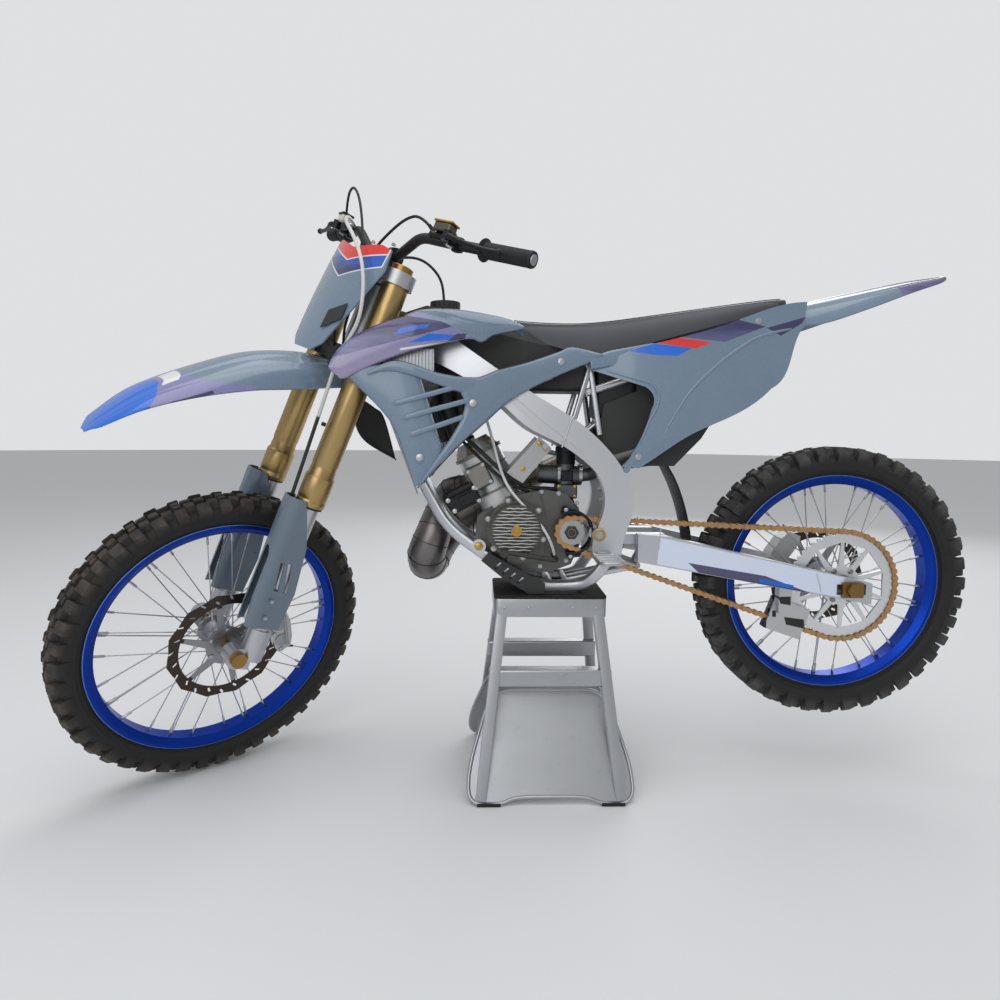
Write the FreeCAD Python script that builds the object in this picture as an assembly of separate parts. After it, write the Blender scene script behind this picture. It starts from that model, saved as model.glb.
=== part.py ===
import FreeCAD, Part
import math
import os

# A motocross bike on its paddock stand, in millimetres.
# +X points forward, +Y to the rider's left, +Z up. The origin is on the floor under the middle
# of the stand. The steering is built straight and upright, then leaned back and turned.

V = FreeCAD.Vector
AXIS_X = V(1, 0, 0)
AXIS_Y = V(0, 1, 0)
AXIS_Z = V(0, 0, 1)

# Chassis geometry
WHEELBASE = 1461.0
REAR_AXLE_BACK = 681.5        # rear axle behind the middle of the stand
REAR_AXLE_Z = 468.0
FRONT_AXLE_Z = 346.0
RAKE = 22.1                   # degrees from upright, nose down on the stand
AXLE_LEAD = 56.0              # front axle ahead of the steering axis
FORK_LEAD = 22.0              # fork legs ahead of the steering axis
FORK_Y = 103.0                # fork leg from the mid-plane
STEER_REST = 42.0             # degrees to the left, on the lock stop
PIVOT_BACK = 104.0            # swingarm pivot behind the middle of the stand
PIVOT_Z = 590.0
CRANK_X = 80.0
CRANK_Z = 597.0
OVERRUN = 2.0                 # how far a cutting tool stands past what it cuts
SEAT_GAP = 0.3                # clearance between pieces that lie on each other
MOVING_GAP = 6.0              # clearance between pieces that move past each other

# Wheels
FRONT_TYRE_R = 343.0
FRONT_TYRE_W = 84.0
FRONT_RIM_R = 281.0
FRONT_RIM_W = 52.0
REAR_TYRE_R = 321.0
REAR_TYRE_W = 100.0
REAR_RIM_R = 255.0
REAR_RIM_W = 58.0
RIM_DEPTH = 22.0
RIM_WALL = 3.0
TYRE_WALL = 9.0
KNOB_H = 13.0
HUB_R = 24.0
HUB_FLANGE_R = 36.0
HUB_FLANGE_T = 5.0
FRONT_HUB_HALF = 33.0
REAR_HUB_HALF = 40.0
SPOKES = 36
SPOKE_T = 3.6
SPOKE_LEAN = 44.0             # degrees that a spoke leans round the hub
HUB_WAIST_SHARE = 0.8
BOSS_WALL = 18.0              # wall of the bosses that carry the discs and the sprocket
REAR_AXLE_R = 12.2
TYRE_PITCHES = 28
FRONT_DISC_R = 130.0
FRONT_DISC_Y = 52.0
REAR_DISC_R = 120.0
REAR_DISC_Y = 58.0
DISC_T = 3.0
DISC_BAND = 26.0
DISC_SPIDER_R = 46.0
DISC_ARMS = 6
DISC_WAVES = 12
DISC_WAVE = 6.0               # how deep the waves in a disc's edge are
DISC_SLOT_LEAN = 35.0

# Chain drive
PITCH = 15.875
REAR_TEETH = 50
FRONT_TEETH = 13
CHAIN_Y = 66.0
CHAIN_W = 16.0
CHAIN_H = 13.0
SPROCKET_T = 5.0
SPROCKET_WINDOWS = 10
GROOVE_EXTRA_SIDES = 8
FRONT_SPROCKET_BACK = 48.0    # front sprocket behind the middle of the stand
FRONT_SPROCKET_Z = 589.0

# Fork and clamps, heights along the steering axis above the axle
FORK_OUTER_R = 29.0
FORK_TOP = 908.0
FORK_CAP_TOP = 928.0
FORK_CAP_R = 24.0
FORK_COLLAR_R = 32.5
FORK_COLLAR_LOW = 372.0
FORK_COLLAR_TOP = 442.0
FORK_INNER_R = 24.5
AXLE_LUG_R = 25.0
AXLE_LUG_TOP = 74.0
LOWER_CLAMP_Z = 692.0
LOWER_CLAMP_T = 36.0
UPPER_CLAMP_Z = 884.0
UPPER_CLAMP_T = 30.0
CLAMP_WALL = 7.0
STEM_R = 17.0
HEAD_R = 31.0
HEAD_GAP = 3.0
CLAMP_FRONT_X = FORK_LEAD + STEM_R
FRONT_AXLE_R = 10.0
FRONT_AXLE_HALF = 122.0
AXLE_NUT_R = 17.0
AXLE_NUT_T = 9.0

# Handlebar and controls
BAR_R = 11.0
BAR_CLAMP_R = 14.3
BAR_HALF = 405.0
BAR_RISE_Z = 1000.0
BAR_CLAMP_Z = 948.0
GRIP_R = 16.0
GRIP_L = 122.0

# Plastics
SHEET = 3.5                   # wall of the moulded plastics
SHROUD_L = 580.0
SHROUD_H = 375.0
SHROUD_BACK = 100.0           # rear end of the shroud behind the middle of the stand
SHROUD_LOW_Z = 695.0
SHROUD_HALF_W = 156.0
PANEL_L = 470.0
PANEL_H = 370.0
PANEL_BACK = 550.0
PANEL_LOW_Z = 735.0
PANEL_HALF_W = 124.0

# Frame
BEAM_L = 460.0
BEAM_H = 500.0
BEAM_BACK = 180.0
BEAM_LOW_Z = 545.0
BEAM_T = 26.0
BEAM_HALF_W = 106.0
CRADLE_R = 12.0
DOWN_TUBE_R = 19.0

# Stand
STAND_L = 256.0
STAND_W = 200.0
STAND_LIP = 42.0
STAND_WALL = 4.0
MAT_T = 6.0
STAND_BASE_L = 370.0
STAND_BASE_W = 380.0
CRADLE_LOW_Z = 464.0
STAND_TOP_Z = CRADLE_LOW_Z - CRADLE_R - SHEET - SEAT_GAP * 2 - MAT_T
FOOT_H = 8.0

REAR_AXLE = V(-REAR_AXLE_BACK, 0, REAR_AXLE_Z)
PIVOT = V(-PIVOT_BACK, 0, PIVOT_Z)
RAKE_SIN = math.sin(math.radians(RAKE))
RAKE_COS = math.cos(math.radians(RAKE))
STEER_UP = V(-RAKE_SIN, 0, RAKE_COS)
STEER_FORWARD = V(RAKE_COS, 0, RAKE_SIN)
FRONT_AXLE = V(WHEELBASE - REAR_AXLE_BACK, 0, FRONT_AXLE_Z)
STEER_POINT = FRONT_AXLE - STEER_FORWARD * AXLE_LEAD

nodes = {}


# Shape helpers

def block(x0, x1, y0, y1, z0, z1):
    return Part.makeBox(x1 - x0, y1 - y0, z1 - z0, V(x0, y0, z0))


def rod(start, end, radius):
    run = end - start
    return Part.makeCylinder(radius, run.Length, start, run)


def cone(start, end, r0, r1):
    run = end - start
    if abs(r0 - r1) < SEAT_GAP:
        return rod(start, end, r0)
    return Part.makeCone(r0, r1, run.Length, start, run)


def prism(corners, push):
    """A straight-sided solid from a flat outline, pushed out along a vector."""
    return Part.Face(Part.makePolygon(corners + corners[:1])).extrude(push)


def square_bar(start, end, size):
    """A square bar between two points."""
    run = end - start
    side = run.cross(AXIS_Y)
    side.normalize()
    other = run.cross(side)
    other.normalize()
    corners = []
    for first, second in ((1, 1), (-1, 1), (-1, -1), (1, -1)):
        corners.append(start + side * (size * first / 2) + other * (size * second / 2))
    return prism(corners, run)


def disc_ring(radius, inner, y0, y1):
    outer = Part.makeCylinder(radius, y1 - y0, V(0, y0, 0), AXIS_Y)
    hole = Part.makeCylinder(inner, y1 - y0 + OVERRUN + OVERRUN, V(0, y0 - OVERRUN, 0), AXIS_Y)
    return outer.cut(hole)


def fuse(shapes):
    first = shapes[0]
    if len(shapes) == 1:
        return first
    return first.multiFuse(shapes[1:]).removeSplitter()


def mirrored(shape):
    return shape.mirror(V(0, 0, 0), AXIS_Y)


def both_sides(shape):
    return Part.makeCompound([shape, mirrored(shape)])


def run_edge(points):
    """A straight edge through two points, or a smooth one through more."""
    if len(points) == 2:
        return Part.LineSegment(points[0], points[1]).toShape()
    curve = Part.BSplineCurve()
    curve.interpolate(points)
    return curve.toShape()


def outline_face(runs):
    """A flat face whose border is a chain of runs, each starting where the last one ends."""
    edges = []
    for index, run in enumerate(runs):
        following = runs[(index + 1) % len(runs)]
        edges.append(run_edge(run + [following[0]]))
    return Part.Face(Part.Wire(edges))


def side_slab(runs, y0, y1):
    """A slab with an outline in side view; runs hold (x, z) pairs."""
    placed = [[V(x, y0, z) for x, z in run] for run in runs]
    return outline_face(placed).extrude(V(0, y1 - y0, 0))


def plan_band(points, wall, z0, z1):
    """An upright wall that follows (x, y) points in plan; its inner face lies one wall nearer."""
    outer = [V(x, y, z0) for x, y in points]
    inner = [V(x, y - wall, z0) for x, y in reversed(points)]
    return outline_face_open([outer, inner]).extrude(V(0, 0, z1 - z0))


def outline_face_open(curves):
    """A face between two open curves whose ends are joined by straight edges."""
    first, second = curves
    edges = [run_edge(first), run_edge([first[-1], second[0]])]
    edges += [run_edge(second), run_edge([second[-1], first[0]])]
    return Part.Face(Part.Wire(edges))


def bent_wire(points, bend):
    """Straight runs joined by tangent arcs of the radius that is given, or less on short runs."""
    edges = []
    start = points[0]
    for before, corner, after in zip(points, points[1:], points[2:]):
        back = before - corner
        ahead = after - corner
        turn = math.pi - back.getAngle(ahead)
        if turn < math.radians(1):
            continue
        trim = min(bend * math.tan(turn / 2), min(back.Length, ahead.Length) * 0.45)
        back.normalize()
        ahead.normalize()
        enter = corner + back * trim
        leave = corner + ahead * trim
        bisector = back + ahead
        bisector.normalize()
        radius = trim / math.tan(turn / 2)
        centre = corner + bisector * (radius / math.cos(turn / 2))
        middle = centre - bisector * radius
        if (enter - start).Length > SEAT_GAP:
            edges.append(Part.LineSegment(start, enter).toShape())
        edges.append(Part.Arc(enter, middle, leave).toShape())
        start = leave
    edges.append(Part.LineSegment(start, points[-1]).toShape())
    return Part.Wire(edges)


def bent_tube(points, radius, bend):
    path = bent_wire(points, bend)
    first = points[1] - points[0]
    section = Part.Face(Part.Wire(Part.makeCircle(radius, points[0], first)))
    return path.makePipe(section)


def cone_pipe(points, radii):
    """A pipe welded up from cone sections, rounded where they meet."""
    pieces = []
    for index in range(len(points) - 1):
        pieces.append(cone(points[index], points[index + 1], radii[index], radii[index + 1]))
    for point, radius in zip(points[1:-1], radii[1:-1]):
        pieces.append(Part.makeSphere(radius * 1.01, point))
    return fuse(pieces)


def scaled(shares, x0, z0, length, height):
    return [(x0 + x * length, z0 + z * height) for x, z in shares]


def steered(shape):
    """From the straight upright steering frame to the bike's, turned to where it rests."""
    turned = shape.copy()
    turned.rotate(V(0, 0, 0), AXIS_Z, STEER_REST)
    turned.rotate(V(0, 0, 0), AXIS_Y, -RAKE)
    turned.translate(STEER_POINT)
    return turned


def raked(shape):
    """From the straight upright steering frame to the bike's, steering straight ahead."""
    leaned = shape.copy()
    leaned.rotate(V(0, 0, 0), AXIS_Y, -RAKE)
    leaned.translate(STEER_POINT)
    return leaned


def head_point(forward, y, up):
    """A point of the chassis given in the steering head's own upright frame."""
    return STEER_POINT + STEER_FORWARD * forward + STEER_UP * up + V(0, y, 0)


# Wheels, each built about its own axle

def revolved(profile):
    """A ring from a profile of (y, radius) points, turned about the Y axis."""
    corners = [V(0, y, radius) for y, radius in profile]
    face = Part.Face(Part.makePolygon(corners + corners[:1]))
    return face.revolve(V(0, 0, 0), AXIS_Y, 360)


# The tyre's wall from the rim's edge to the crown: shares of its half width and of its height
tyre_wall_shares = [(0.98, 0.50), (0.86, 0.86), (0.42, 1.0)]
tyre_inner_shares = [(0.72, 0.66)]
# Tread blocks: inner and outer edge, top, root, slant of the root and half length
shoulder_knob_shares = [(0.60, 1.0, 0.20, 1.6, 1.0, 0.40), (-0.60, -1.0, 0.20, 1.6, 1.0, 0.40)]
crown_knob_shares = [[(-0.34, 0.34, 1.0, 1.4, 0.0, 0.30)],
                     [(0.12, 0.54, 0.92, 1.4, 0.1, 0.30), (-0.12, -0.54, 0.92, 1.4, 0.1, 0.30)]]
wave_shares = [0.0, 0.6, 1.0, 0.6]
ROOT_SHARE = 0.42
tooth_shares = (-0.22, 0.22)
WINDOW_SHARE = 0.80
LINK_WAIST_SHARE = 0.34


def tyre(radius, width, rim_radius, rim_width):
    """A ring of flat-sided sectors, each a loft between two copies of the wall's section."""
    half = width / 2
    turn = math.pi / TYRE_PITCHES
    grow = 1 / math.cos(turn)
    height = radius - KNOB_H - rim_radius
    bead_y = rim_width / 2 - RIM_WALL - SEAT_GAP
    seat_r = rim_radius - TYRE_WALL + SEAT_GAP
    right = [(bead_y, seat_r), (bead_y, rim_radius + SEAT_GAP)]
    right += [(half * y, rim_radius + height * r) for y, r in tyre_wall_shares]
    inside = [(half * y, rim_radius + height * r) for y, r in tyre_inner_shares]
    inside += [(bead_y - TYRE_WALL, seat_r)]
    section = right + [(-y, r) for y, r in reversed(right)]
    section += [(-y, r) for y, r in reversed(inside)] + inside
    wires = []
    for angle in (-turn, turn):
        ring = [V(r * grow * math.cos(angle), y, r * grow * math.sin(angle)) for y, r in section]
        wires.append(Part.makePolygon(ring + ring[:1]))
    sector = Part.makeLoft(wires, True, True)
    carcass = polar(sector, TYRE_PITCHES)
    blocks = []
    for index in range(TYRE_PITCHES):
        for table in (shoulder_knob_shares, crown_knob_shares[index % 2]):
            for entry in table:
                knob = tread_knob(entry, radius, half)
                place = index if table is shoulder_knob_shares else index + 0.5
                knob.rotate(V(0, 0, 0), AXIS_Y, 360 * place / TYRE_PITCHES)
                blocks.append(knob)
    return carcass.multiFuse(blocks)


def tread_knob(entry, radius, half):
    """A block on the tread from (inner y, outer y, top, root, slant, width) shares, at angle zero."""
    inner, outer, top_share, root_share, slant, wide = entry
    pitch = math.pi * radius / TYRE_PITCHES
    tips = math.sqrt(radius * radius - pitch * pitch * wide * wide)
    low = radius - KNOB_H * root_share
    high = tips - KNOB_H * (1 - top_share)
    corners = [V(low, half * inner, 0), V(tips, half * inner, 0), V(high, half * outer, 0),
               V(low - KNOB_H * slant, half * outer, 0)]
    face = Part.Face(Part.makePolygon(corners + corners[:1]))
    face.translate(V(0, 0, -pitch * wide))
    return face.extrude(V(0, 0, pitch * wide * 2))


def polar(shape, count):
    """Copies of a shape all round the Y axis, joined."""
    copies = []
    for index in range(count):
        turned = shape.copy()
        turned.rotate(V(0, 0, 0), AXIS_Y, 360 * index / count)
        copies.append(turned)
    return copies[0].multiFuse(copies[1:]).removeSplitter()


def rim(radius, width):
    half = width / 2
    flange = RIM_WALL
    well = radius - RIM_DEPTH
    bead = radius - TYRE_WALL
    shoulder = half * 0.62
    outer = [(half, radius), (half, bead), (shoulder, well), (-shoulder, well), (-half, bead), (-half, radius)]
    inner = [(-half + flange, radius), (-half + flange, bead), (-shoulder + flange, well + flange),
             (shoulder - flange, well + flange), (half - flange, bead), (half - flange, radius)]
    return revolved(outer + inner)


def spoke(side, index, hub_half, rim_inner):
    step = 2 * math.pi / SPOKES
    base = index * step * 2 + (step if side < 0 else 0)
    lean = math.radians(SPOKE_LEAN) * (1 if index % 2 else -1)
    lift = SPOKE_T / 2 * (1 if index % 2 else -1)
    hole_r = HUB_FLANGE_R - SPOKE_T - SPOKE_T
    hub_y = side * (hub_half - HUB_FLANGE_T / 2 + lift)
    start = V(hole_r * math.cos(base), hub_y, hole_r * math.sin(base))
    end = V(rim_inner * math.cos(base + lean), side * SPOKE_T, rim_inner * math.sin(base + lean))
    return square_bar(start, end, SPOKE_T)


def hub(hub_half, bore_r, rim_radius, seats):
    """A hub with spoke flanges, its spokes and the bosses that carry a disc or a sprocket."""
    flange = HUB_FLANGE_T
    waist = HUB_R * HUB_WAIST_SHARE
    profile = [(-hub_half, bore_r), (-hub_half, HUB_FLANGE_R), (-hub_half + flange, HUB_FLANGE_R),
               (-hub_half + flange, HUB_R), (-hub_half / 2, waist), (hub_half / 2, waist),
               (hub_half - flange, HUB_R), (hub_half - flange, HUB_FLANGE_R),
               (hub_half, HUB_FLANGE_R), (hub_half, bore_r)]
    pieces = [revolved(profile)]
    for seat_y in seats:
        side = 1 if seat_y > 0 else -1
        y0, y1 = sorted((side * (hub_half - flange), seat_y))
        pieces.append(disc_ring(bore_r + BOSS_WALL, bore_r, y0, y1))
    rim_inner = rim_radius - RIM_DEPTH - SEAT_GAP
    for side in (1, -1):
        for index in range(SPOKES // 2):
            pieces.append(spoke(side, index, hub_half, rim_inner))
    return fuse(pieces)


def brake_disc(radius, centre_y, bore_r):
    """A wavy steel band with slanting slots on a six-armed carrier."""
    y0 = centre_y - DISC_T / 2
    wave = []
    for index in range(DISC_WAVES * 4):
        angle = math.pi * 2 * index / (DISC_WAVES * 4)
        dip = DISC_WAVE * wave_shares[index % 4]
        wave.append(V((radius - dip) * math.cos(angle), y0, (radius - dip) * math.sin(angle)))
    band = prism(wave, V(0, DISC_T, 0))
    band = band.cut(Part.makeCylinder(radius - DISC_BAND, DISC_T + OVERRUN * 2, V(0, y0 - OVERRUN, 0), AXIS_Y))
    cuts = []
    for index in range(DISC_WAVES * 2):
        reach = radius - DISC_BAND * (0.42 if index % 2 else 0.66)
        slot = block(reach - DISC_T * 2, reach + DISC_T * 2, y0 - OVERRUN, y0 + DISC_T + OVERRUN,
                     -DISC_T * 0.8, DISC_T * 0.8)
        slot.rotate(V(reach, 0, 0), AXIS_Y, DISC_SLOT_LEAN)
        slot.rotate(V(0, 0, 0), AXIS_Y, 180 * index / DISC_WAVES)
        cuts.append(slot)
    band = band.cut(Part.makeCompound(cuts))
    pieces = [disc_ring(DISC_SPIDER_R, bore_r, y0, y0 + DISC_T), band]
    for index in range(DISC_ARMS):
        reach = radius - DISC_BAND + DISC_T
        corners = [V(DISC_SPIDER_R - DISC_T, y0, -DISC_T * 4), V(reach, y0, -DISC_T), V(reach, y0, DISC_T * 2),
                   V(DISC_SPIDER_R - DISC_T, y0, DISC_T * 2)]
        arm = prism(corners, V(0, DISC_T, 0))
        arm.rotate(V(0, 0, 0), AXIS_Y, 360 * index / DISC_ARMS)
        pieces.append(arm)
    return fuse(pieces)


def pitch_radius(teeth):
    return PITCH / (2 * math.sin(math.pi / teeth))


def sprocket(teeth, bore_r, centre_y):
    pitch_r = pitch_radius(teeth)
    tip_r = pitch_r - DISC_T / 2
    root_r = pitch_r - PITCH * ROOT_SHARE
    corners = []
    for index in range(teeth * 2):
        for offset in tooth_shares:
            angle = (index + offset) * math.pi / teeth
            radius = tip_r if index % 2 else root_r
            corners.append(V(radius * math.cos(angle), centre_y - SPROCKET_T / 2, radius * math.sin(angle)))
    plate = prism(corners, V(0, SPROCKET_T, 0))
    return plate.cut(Part.makeCylinder(bore_r, SPROCKET_T * 2, V(0, centre_y - SPROCKET_T, 0), AXIS_Y))


def wheel(name, centre, radius, width, rim_radius, rim_width, hub_half, bore_r, disc_r, disc_y, place, seats):
    made = {
        name + "_tyre": tyre(radius, width, rim_radius, rim_width),
        name + "_rim": rim(rim_radius, rim_width),
        name + "_hub": hub(hub_half, bore_r, rim_radius, seats),
        name + "_disc": brake_disc(disc_r, disc_y, bore_r + BOSS_WALL - HUB_FLANGE_T),
    }
    made[name + "_hub"] = made[name + "_hub"].cut(made[name + "_rim"])
    for node, shape in made.items():
        shape.translate(centre)
        nodes[node] = place(shape)


def make_wheels():
    face = DISC_T / 2 + SEAT_GAP
    wheel("front", V(AXLE_LEAD, 0, 0), FRONT_TYRE_R, FRONT_TYRE_W, FRONT_RIM_R, FRONT_RIM_W,
          FRONT_HUB_HALF, FRONT_AXLE_R + SEAT_GAP, FRONT_DISC_R, FRONT_DISC_Y, steered, [FRONT_DISC_Y - face])
    plate = CHAIN_Y - SPROCKET_T / 2 - SEAT_GAP
    wheel("rear", REAR_AXLE, REAR_TYRE_R, REAR_TYRE_W, REAR_RIM_R, REAR_RIM_W, REAR_HUB_HALF,
          REAR_AXLE_R + SEAT_GAP, REAR_DISC_R, -REAR_DISC_Y, lambda shape: shape, [face - REAR_DISC_Y, plate])
    driven = sprocket(REAR_TEETH, REAR_AXLE_R + BOSS_WALL - HUB_FLANGE_T, CHAIN_Y)
    windows = []
    for index in range(SPROCKET_WINDOWS):
        inner = DISC_SPIDER_R
        outer = pitch_radius(REAR_TEETH) * WINDOW_SHARE
        corners = [V(radius * math.cos(angle), CHAIN_Y - SPROCKET_T, radius * math.sin(angle))
                   for radius, angle in ((inner, -0.22), (outer, -0.30), (outer, 0.26), (inner, 0.10))]
        window = prism(corners, V(0, SPROCKET_T * 2, 0))
        window.rotate(V(0, 0, 0), AXIS_Y, 360 * index / SPROCKET_WINDOWS)
        windows.append(window)
    driven = driven.cut(Part.makeCompound(windows))
    driven.translate(REAR_AXLE)
    nodes["rear_sprocket"] = driven


# Fork, clamps and what turns with them, in the upright steering frame

def fork_leg_point(up, y_side=1):
    return V(FORK_LEAD, y_side * FORK_Y, up)


def make_fork():
    outer = cone_steps([(FORK_COLLAR_LOW, FORK_INNER_R + CLAMP_WALL), (FORK_COLLAR_LOW + CLAMP_WALL, FORK_COLLAR_R),
                        (FORK_COLLAR_TOP, FORK_COLLAR_R), (FORK_COLLAR_TOP + CLAMP_WALL, FORK_OUTER_R),
                        (FORK_TOP, FORK_OUTER_R), (FORK_TOP, FORK_CAP_R), (FORK_CAP_TOP, FORK_CAP_R)])
    nodes["fork_outers"] = steered(both_sides(outer))
    inner = rod(fork_leg_point(0), fork_leg_point(FORK_COLLAR_LOW), FORK_INNER_R)
    foot = rod(fork_leg_point(0), fork_leg_point(AXLE_LUG_TOP), AXLE_LUG_R + SHEET)
    lug = rod(V(AXLE_LEAD, FORK_Y - AXLE_LUG_R + SHEET, 0), V(AXLE_LEAD, FORK_Y + AXLE_NUT_R, 0), AXLE_LUG_R)
    web = block(FORK_LEAD, AXLE_LEAD, FORK_Y - AXLE_LUG_R + SHEET, FORK_Y + AXLE_NUT_R - SHEET, -AXLE_LUG_R, AXLE_LUG_R)
    hole = rod(V(AXLE_LEAD, 0, 0), V(AXLE_LEAD, FORK_Y * 2, 0), FRONT_AXLE_R + SEAT_GAP)
    nut_seat = rod(V(AXLE_LEAD, FORK_Y + AXLE_NUT_R, 0), V(AXLE_LEAD, FORK_Y * 2, 0), AXLE_NUT_R + SEAT_GAP)
    lower = fuse([inner, foot, lug, web]).cut(hole).cut(nut_seat)
    nodes["fork_lowers"] = steered(both_sides(lower))


def cone_steps(steps):
    """A turned leg from (height, radius) steps, standing at the left fork leg."""
    corners = [V(0, 0, steps[0][0])] + [V(radius, 0, up) for up, radius in steps] + [V(0, 0, steps[-1][0])]
    leg = Part.Face(Part.makePolygon(corners + corners[:1])).revolve(V(0, 0, 0), AXIS_Z, 360)
    leg.translate(V(FORK_LEAD, FORK_Y, 0))
    return leg


def clamp(base, thickness, stem_r):
    """Two split rings round the fork legs on a waisted bridge."""
    top = base + thickness
    ring_r = FORK_OUTER_R + CLAMP_WALL
    back = -stem_r - CLAMP_WALL
    plan = [(CLAMP_FRONT_X, FORK_Y * 0.55), (FORK_LEAD + ring_r * 0.6, FORK_Y), (FORK_LEAD - ring_r * 0.6, FORK_Y),
            (back, FORK_Y * 0.35)]
    plan += [(x, -y) for x, y in reversed(plan)]
    bridge = prism([V(x, y, base) for x, y in plan], V(0, 0, thickness))
    boss = Part.makeCylinder(-back, thickness, V(0, 0, base))
    body = fuse([bridge, boss] + [rod(fork_leg_point(base, side), fork_leg_point(top, side), ring_r) for side in (1, -1)])
    for side in (1, -1):
        body = body.cut(rod(fork_leg_point(base - OVERRUN, side), fork_leg_point(top + OVERRUN, side), FORK_OUTER_R))
    return body


def make_clamps():
    lower = clamp(LOWER_CLAMP_Z, LOWER_CLAMP_T, STEM_R)
    stem = rod(V(0, 0, LOWER_CLAMP_Z + LOWER_CLAMP_T / 2), V(0, 0, UPPER_CLAMP_Z), STEM_R)
    nodes["lower_clamp"] = steered(fuse([lower, stem]))
    nodes["upper_clamp"] = steered(clamp(UPPER_CLAMP_Z, UPPER_CLAMP_T, STEM_R))


bar_shares = [(0.0, 0.0), (0.13, 0.0), (0.32, 0.95), (0.52, 1.0), (1.0, 1.13)]
bar_sweep_shares = [0.0, 0.0, 0.02, -0.04, -0.16]


def bar_points():
    left = []
    for (across, rise), sweep in zip(bar_shares, bar_sweep_shares):
        up = BAR_CLAMP_Z + (BAR_RISE_Z - BAR_CLAMP_Z) * rise
        left.append(V(STEM_R + BAR_HALF * sweep, BAR_HALF * across, up))
    right = [V(p.x, -p.y, p.z) for p in reversed(left[1:])]
    return right + left[1:]


def bar_shape():
    return bent_tube(bar_points(), BAR_R, BAR_R * 6)


def make_bars():
    bar = bar_shape()
    mounts = []
    for side in (1, -1):
        y = side * FORK_Y * 0.42
        mounts.append(rod(V(STEM_R, y - CLAMP_WALL, BAR_CLAMP_Z), V(STEM_R, y + CLAMP_WALL, BAR_CLAMP_Z),
                          BAR_CLAMP_R + CLAMP_WALL))
        mounts.append(block(STEM_R - BAR_CLAMP_R, STEM_R + BAR_CLAMP_R, y - CLAMP_WALL, y + CLAMP_WALL,
                            UPPER_CLAMP_Z + UPPER_CLAMP_T, BAR_CLAMP_Z))
    pad = rod(V(STEM_R, -FORK_Y / 2, BAR_CLAMP_Z), V(STEM_R, FORK_Y / 2, BAR_CLAMP_Z), BAR_CLAMP_R)
    nodes["handlebar"] = steered(fuse([bar, pad] + mounts))
    tip = bar_points()[-1]
    along = tip - bar_points()[-2]
    along.normalize()
    start = tip - along * (GRIP_L - SHEET)
    grip = rod(start, tip + along * SHEET, GRIP_R)
    flange = rod(start, start + along * SHEET, GRIP_R * 1.45)
    core = rod(start - along * OVERRUN, tip, BAR_R)
    grip = fuse([grip, flange]).cut(core)
    nodes["grips"] = steered(both_sides(grip))


def make_controls():
    tip = bar_points()[-1]
    along = tip - bar_points()[-2]
    along.normalize()
    perch = tip - along * (GRIP_L * 1.55)
    back = tip - along * (GRIP_L * 1.35)
    forward = V(GRIP_R, 0, 0)
    band = rod(perch, back, GRIP_R).cut(rod(perch - along * OVERRUN, back + along * OVERRUN, BAR_R))
    cup = block(perch.x + GRIP_R * 0.6, perch.x + GRIP_R * 2.4, perch.y - GRIP_L / 5, perch.y + GRIP_L / 4,
                perch.z - GRIP_R / 2, perch.z + GRIP_R * 1.3)
    pivot = V(perch.x, perch.y, perch.z) + forward * 2.2
    lever = bent_tube([pivot, pivot + V(GRIP_R, GRIP_L * 0.35, -GRIP_R * 0.3),
                       pivot + V(GRIP_R, GRIP_L * 1.2, -GRIP_R * 0.5)], CLAMP_WALL * 0.8, GRIP_R)
    left = fuse([band, cup, lever])
    left = left.cut(bar_shape())
    nodes["clutch_control"] = steered(left)
    throttle_start = tip - along * (GRIP_L * 1.42)
    throttle_end = tip - along * (GRIP_L + SEAT_GAP)
    tube_hole = rod(throttle_start - along * OVERRUN, throttle_end + along * OVERRUN, BAR_R)
    throttle = rod(throttle_start, throttle_end, GRIP_R * 1.5).cut(tube_hole)
    nodes["throttle_control"] = steered(mirrored(fuse([left, throttle])))


plate_outline_shares = [(-1.0, 0.80), (-0.94, 0.98), (-0.70, 1.0), (0.0, 0.93), (0.70, 1.0), (0.94, 0.98),
                        (1.0, 0.80), (0.78, 0.42), (0.52, 0.08), (0.30, 0.0), (-0.30, 0.0), (-0.52, 0.08),
                        (-0.78, 0.42)]
plate_intake_shares = [(0.44, 0.22), (0.66, 0.34), (0.62, 0.44), (0.36, 0.34)]
PLATE_HALF_W = 120.0
PLATE_H = 262.0
PLATE_LOW = 688.0
PLATE_LEAN_X = 34.0
PLATE_BOW = 26.0
PLATE_TOP_X = FORK_LEAD + FORK_OUTER_R + CLAMP_WALL + PLATE_BOW + OVERRUN


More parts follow.
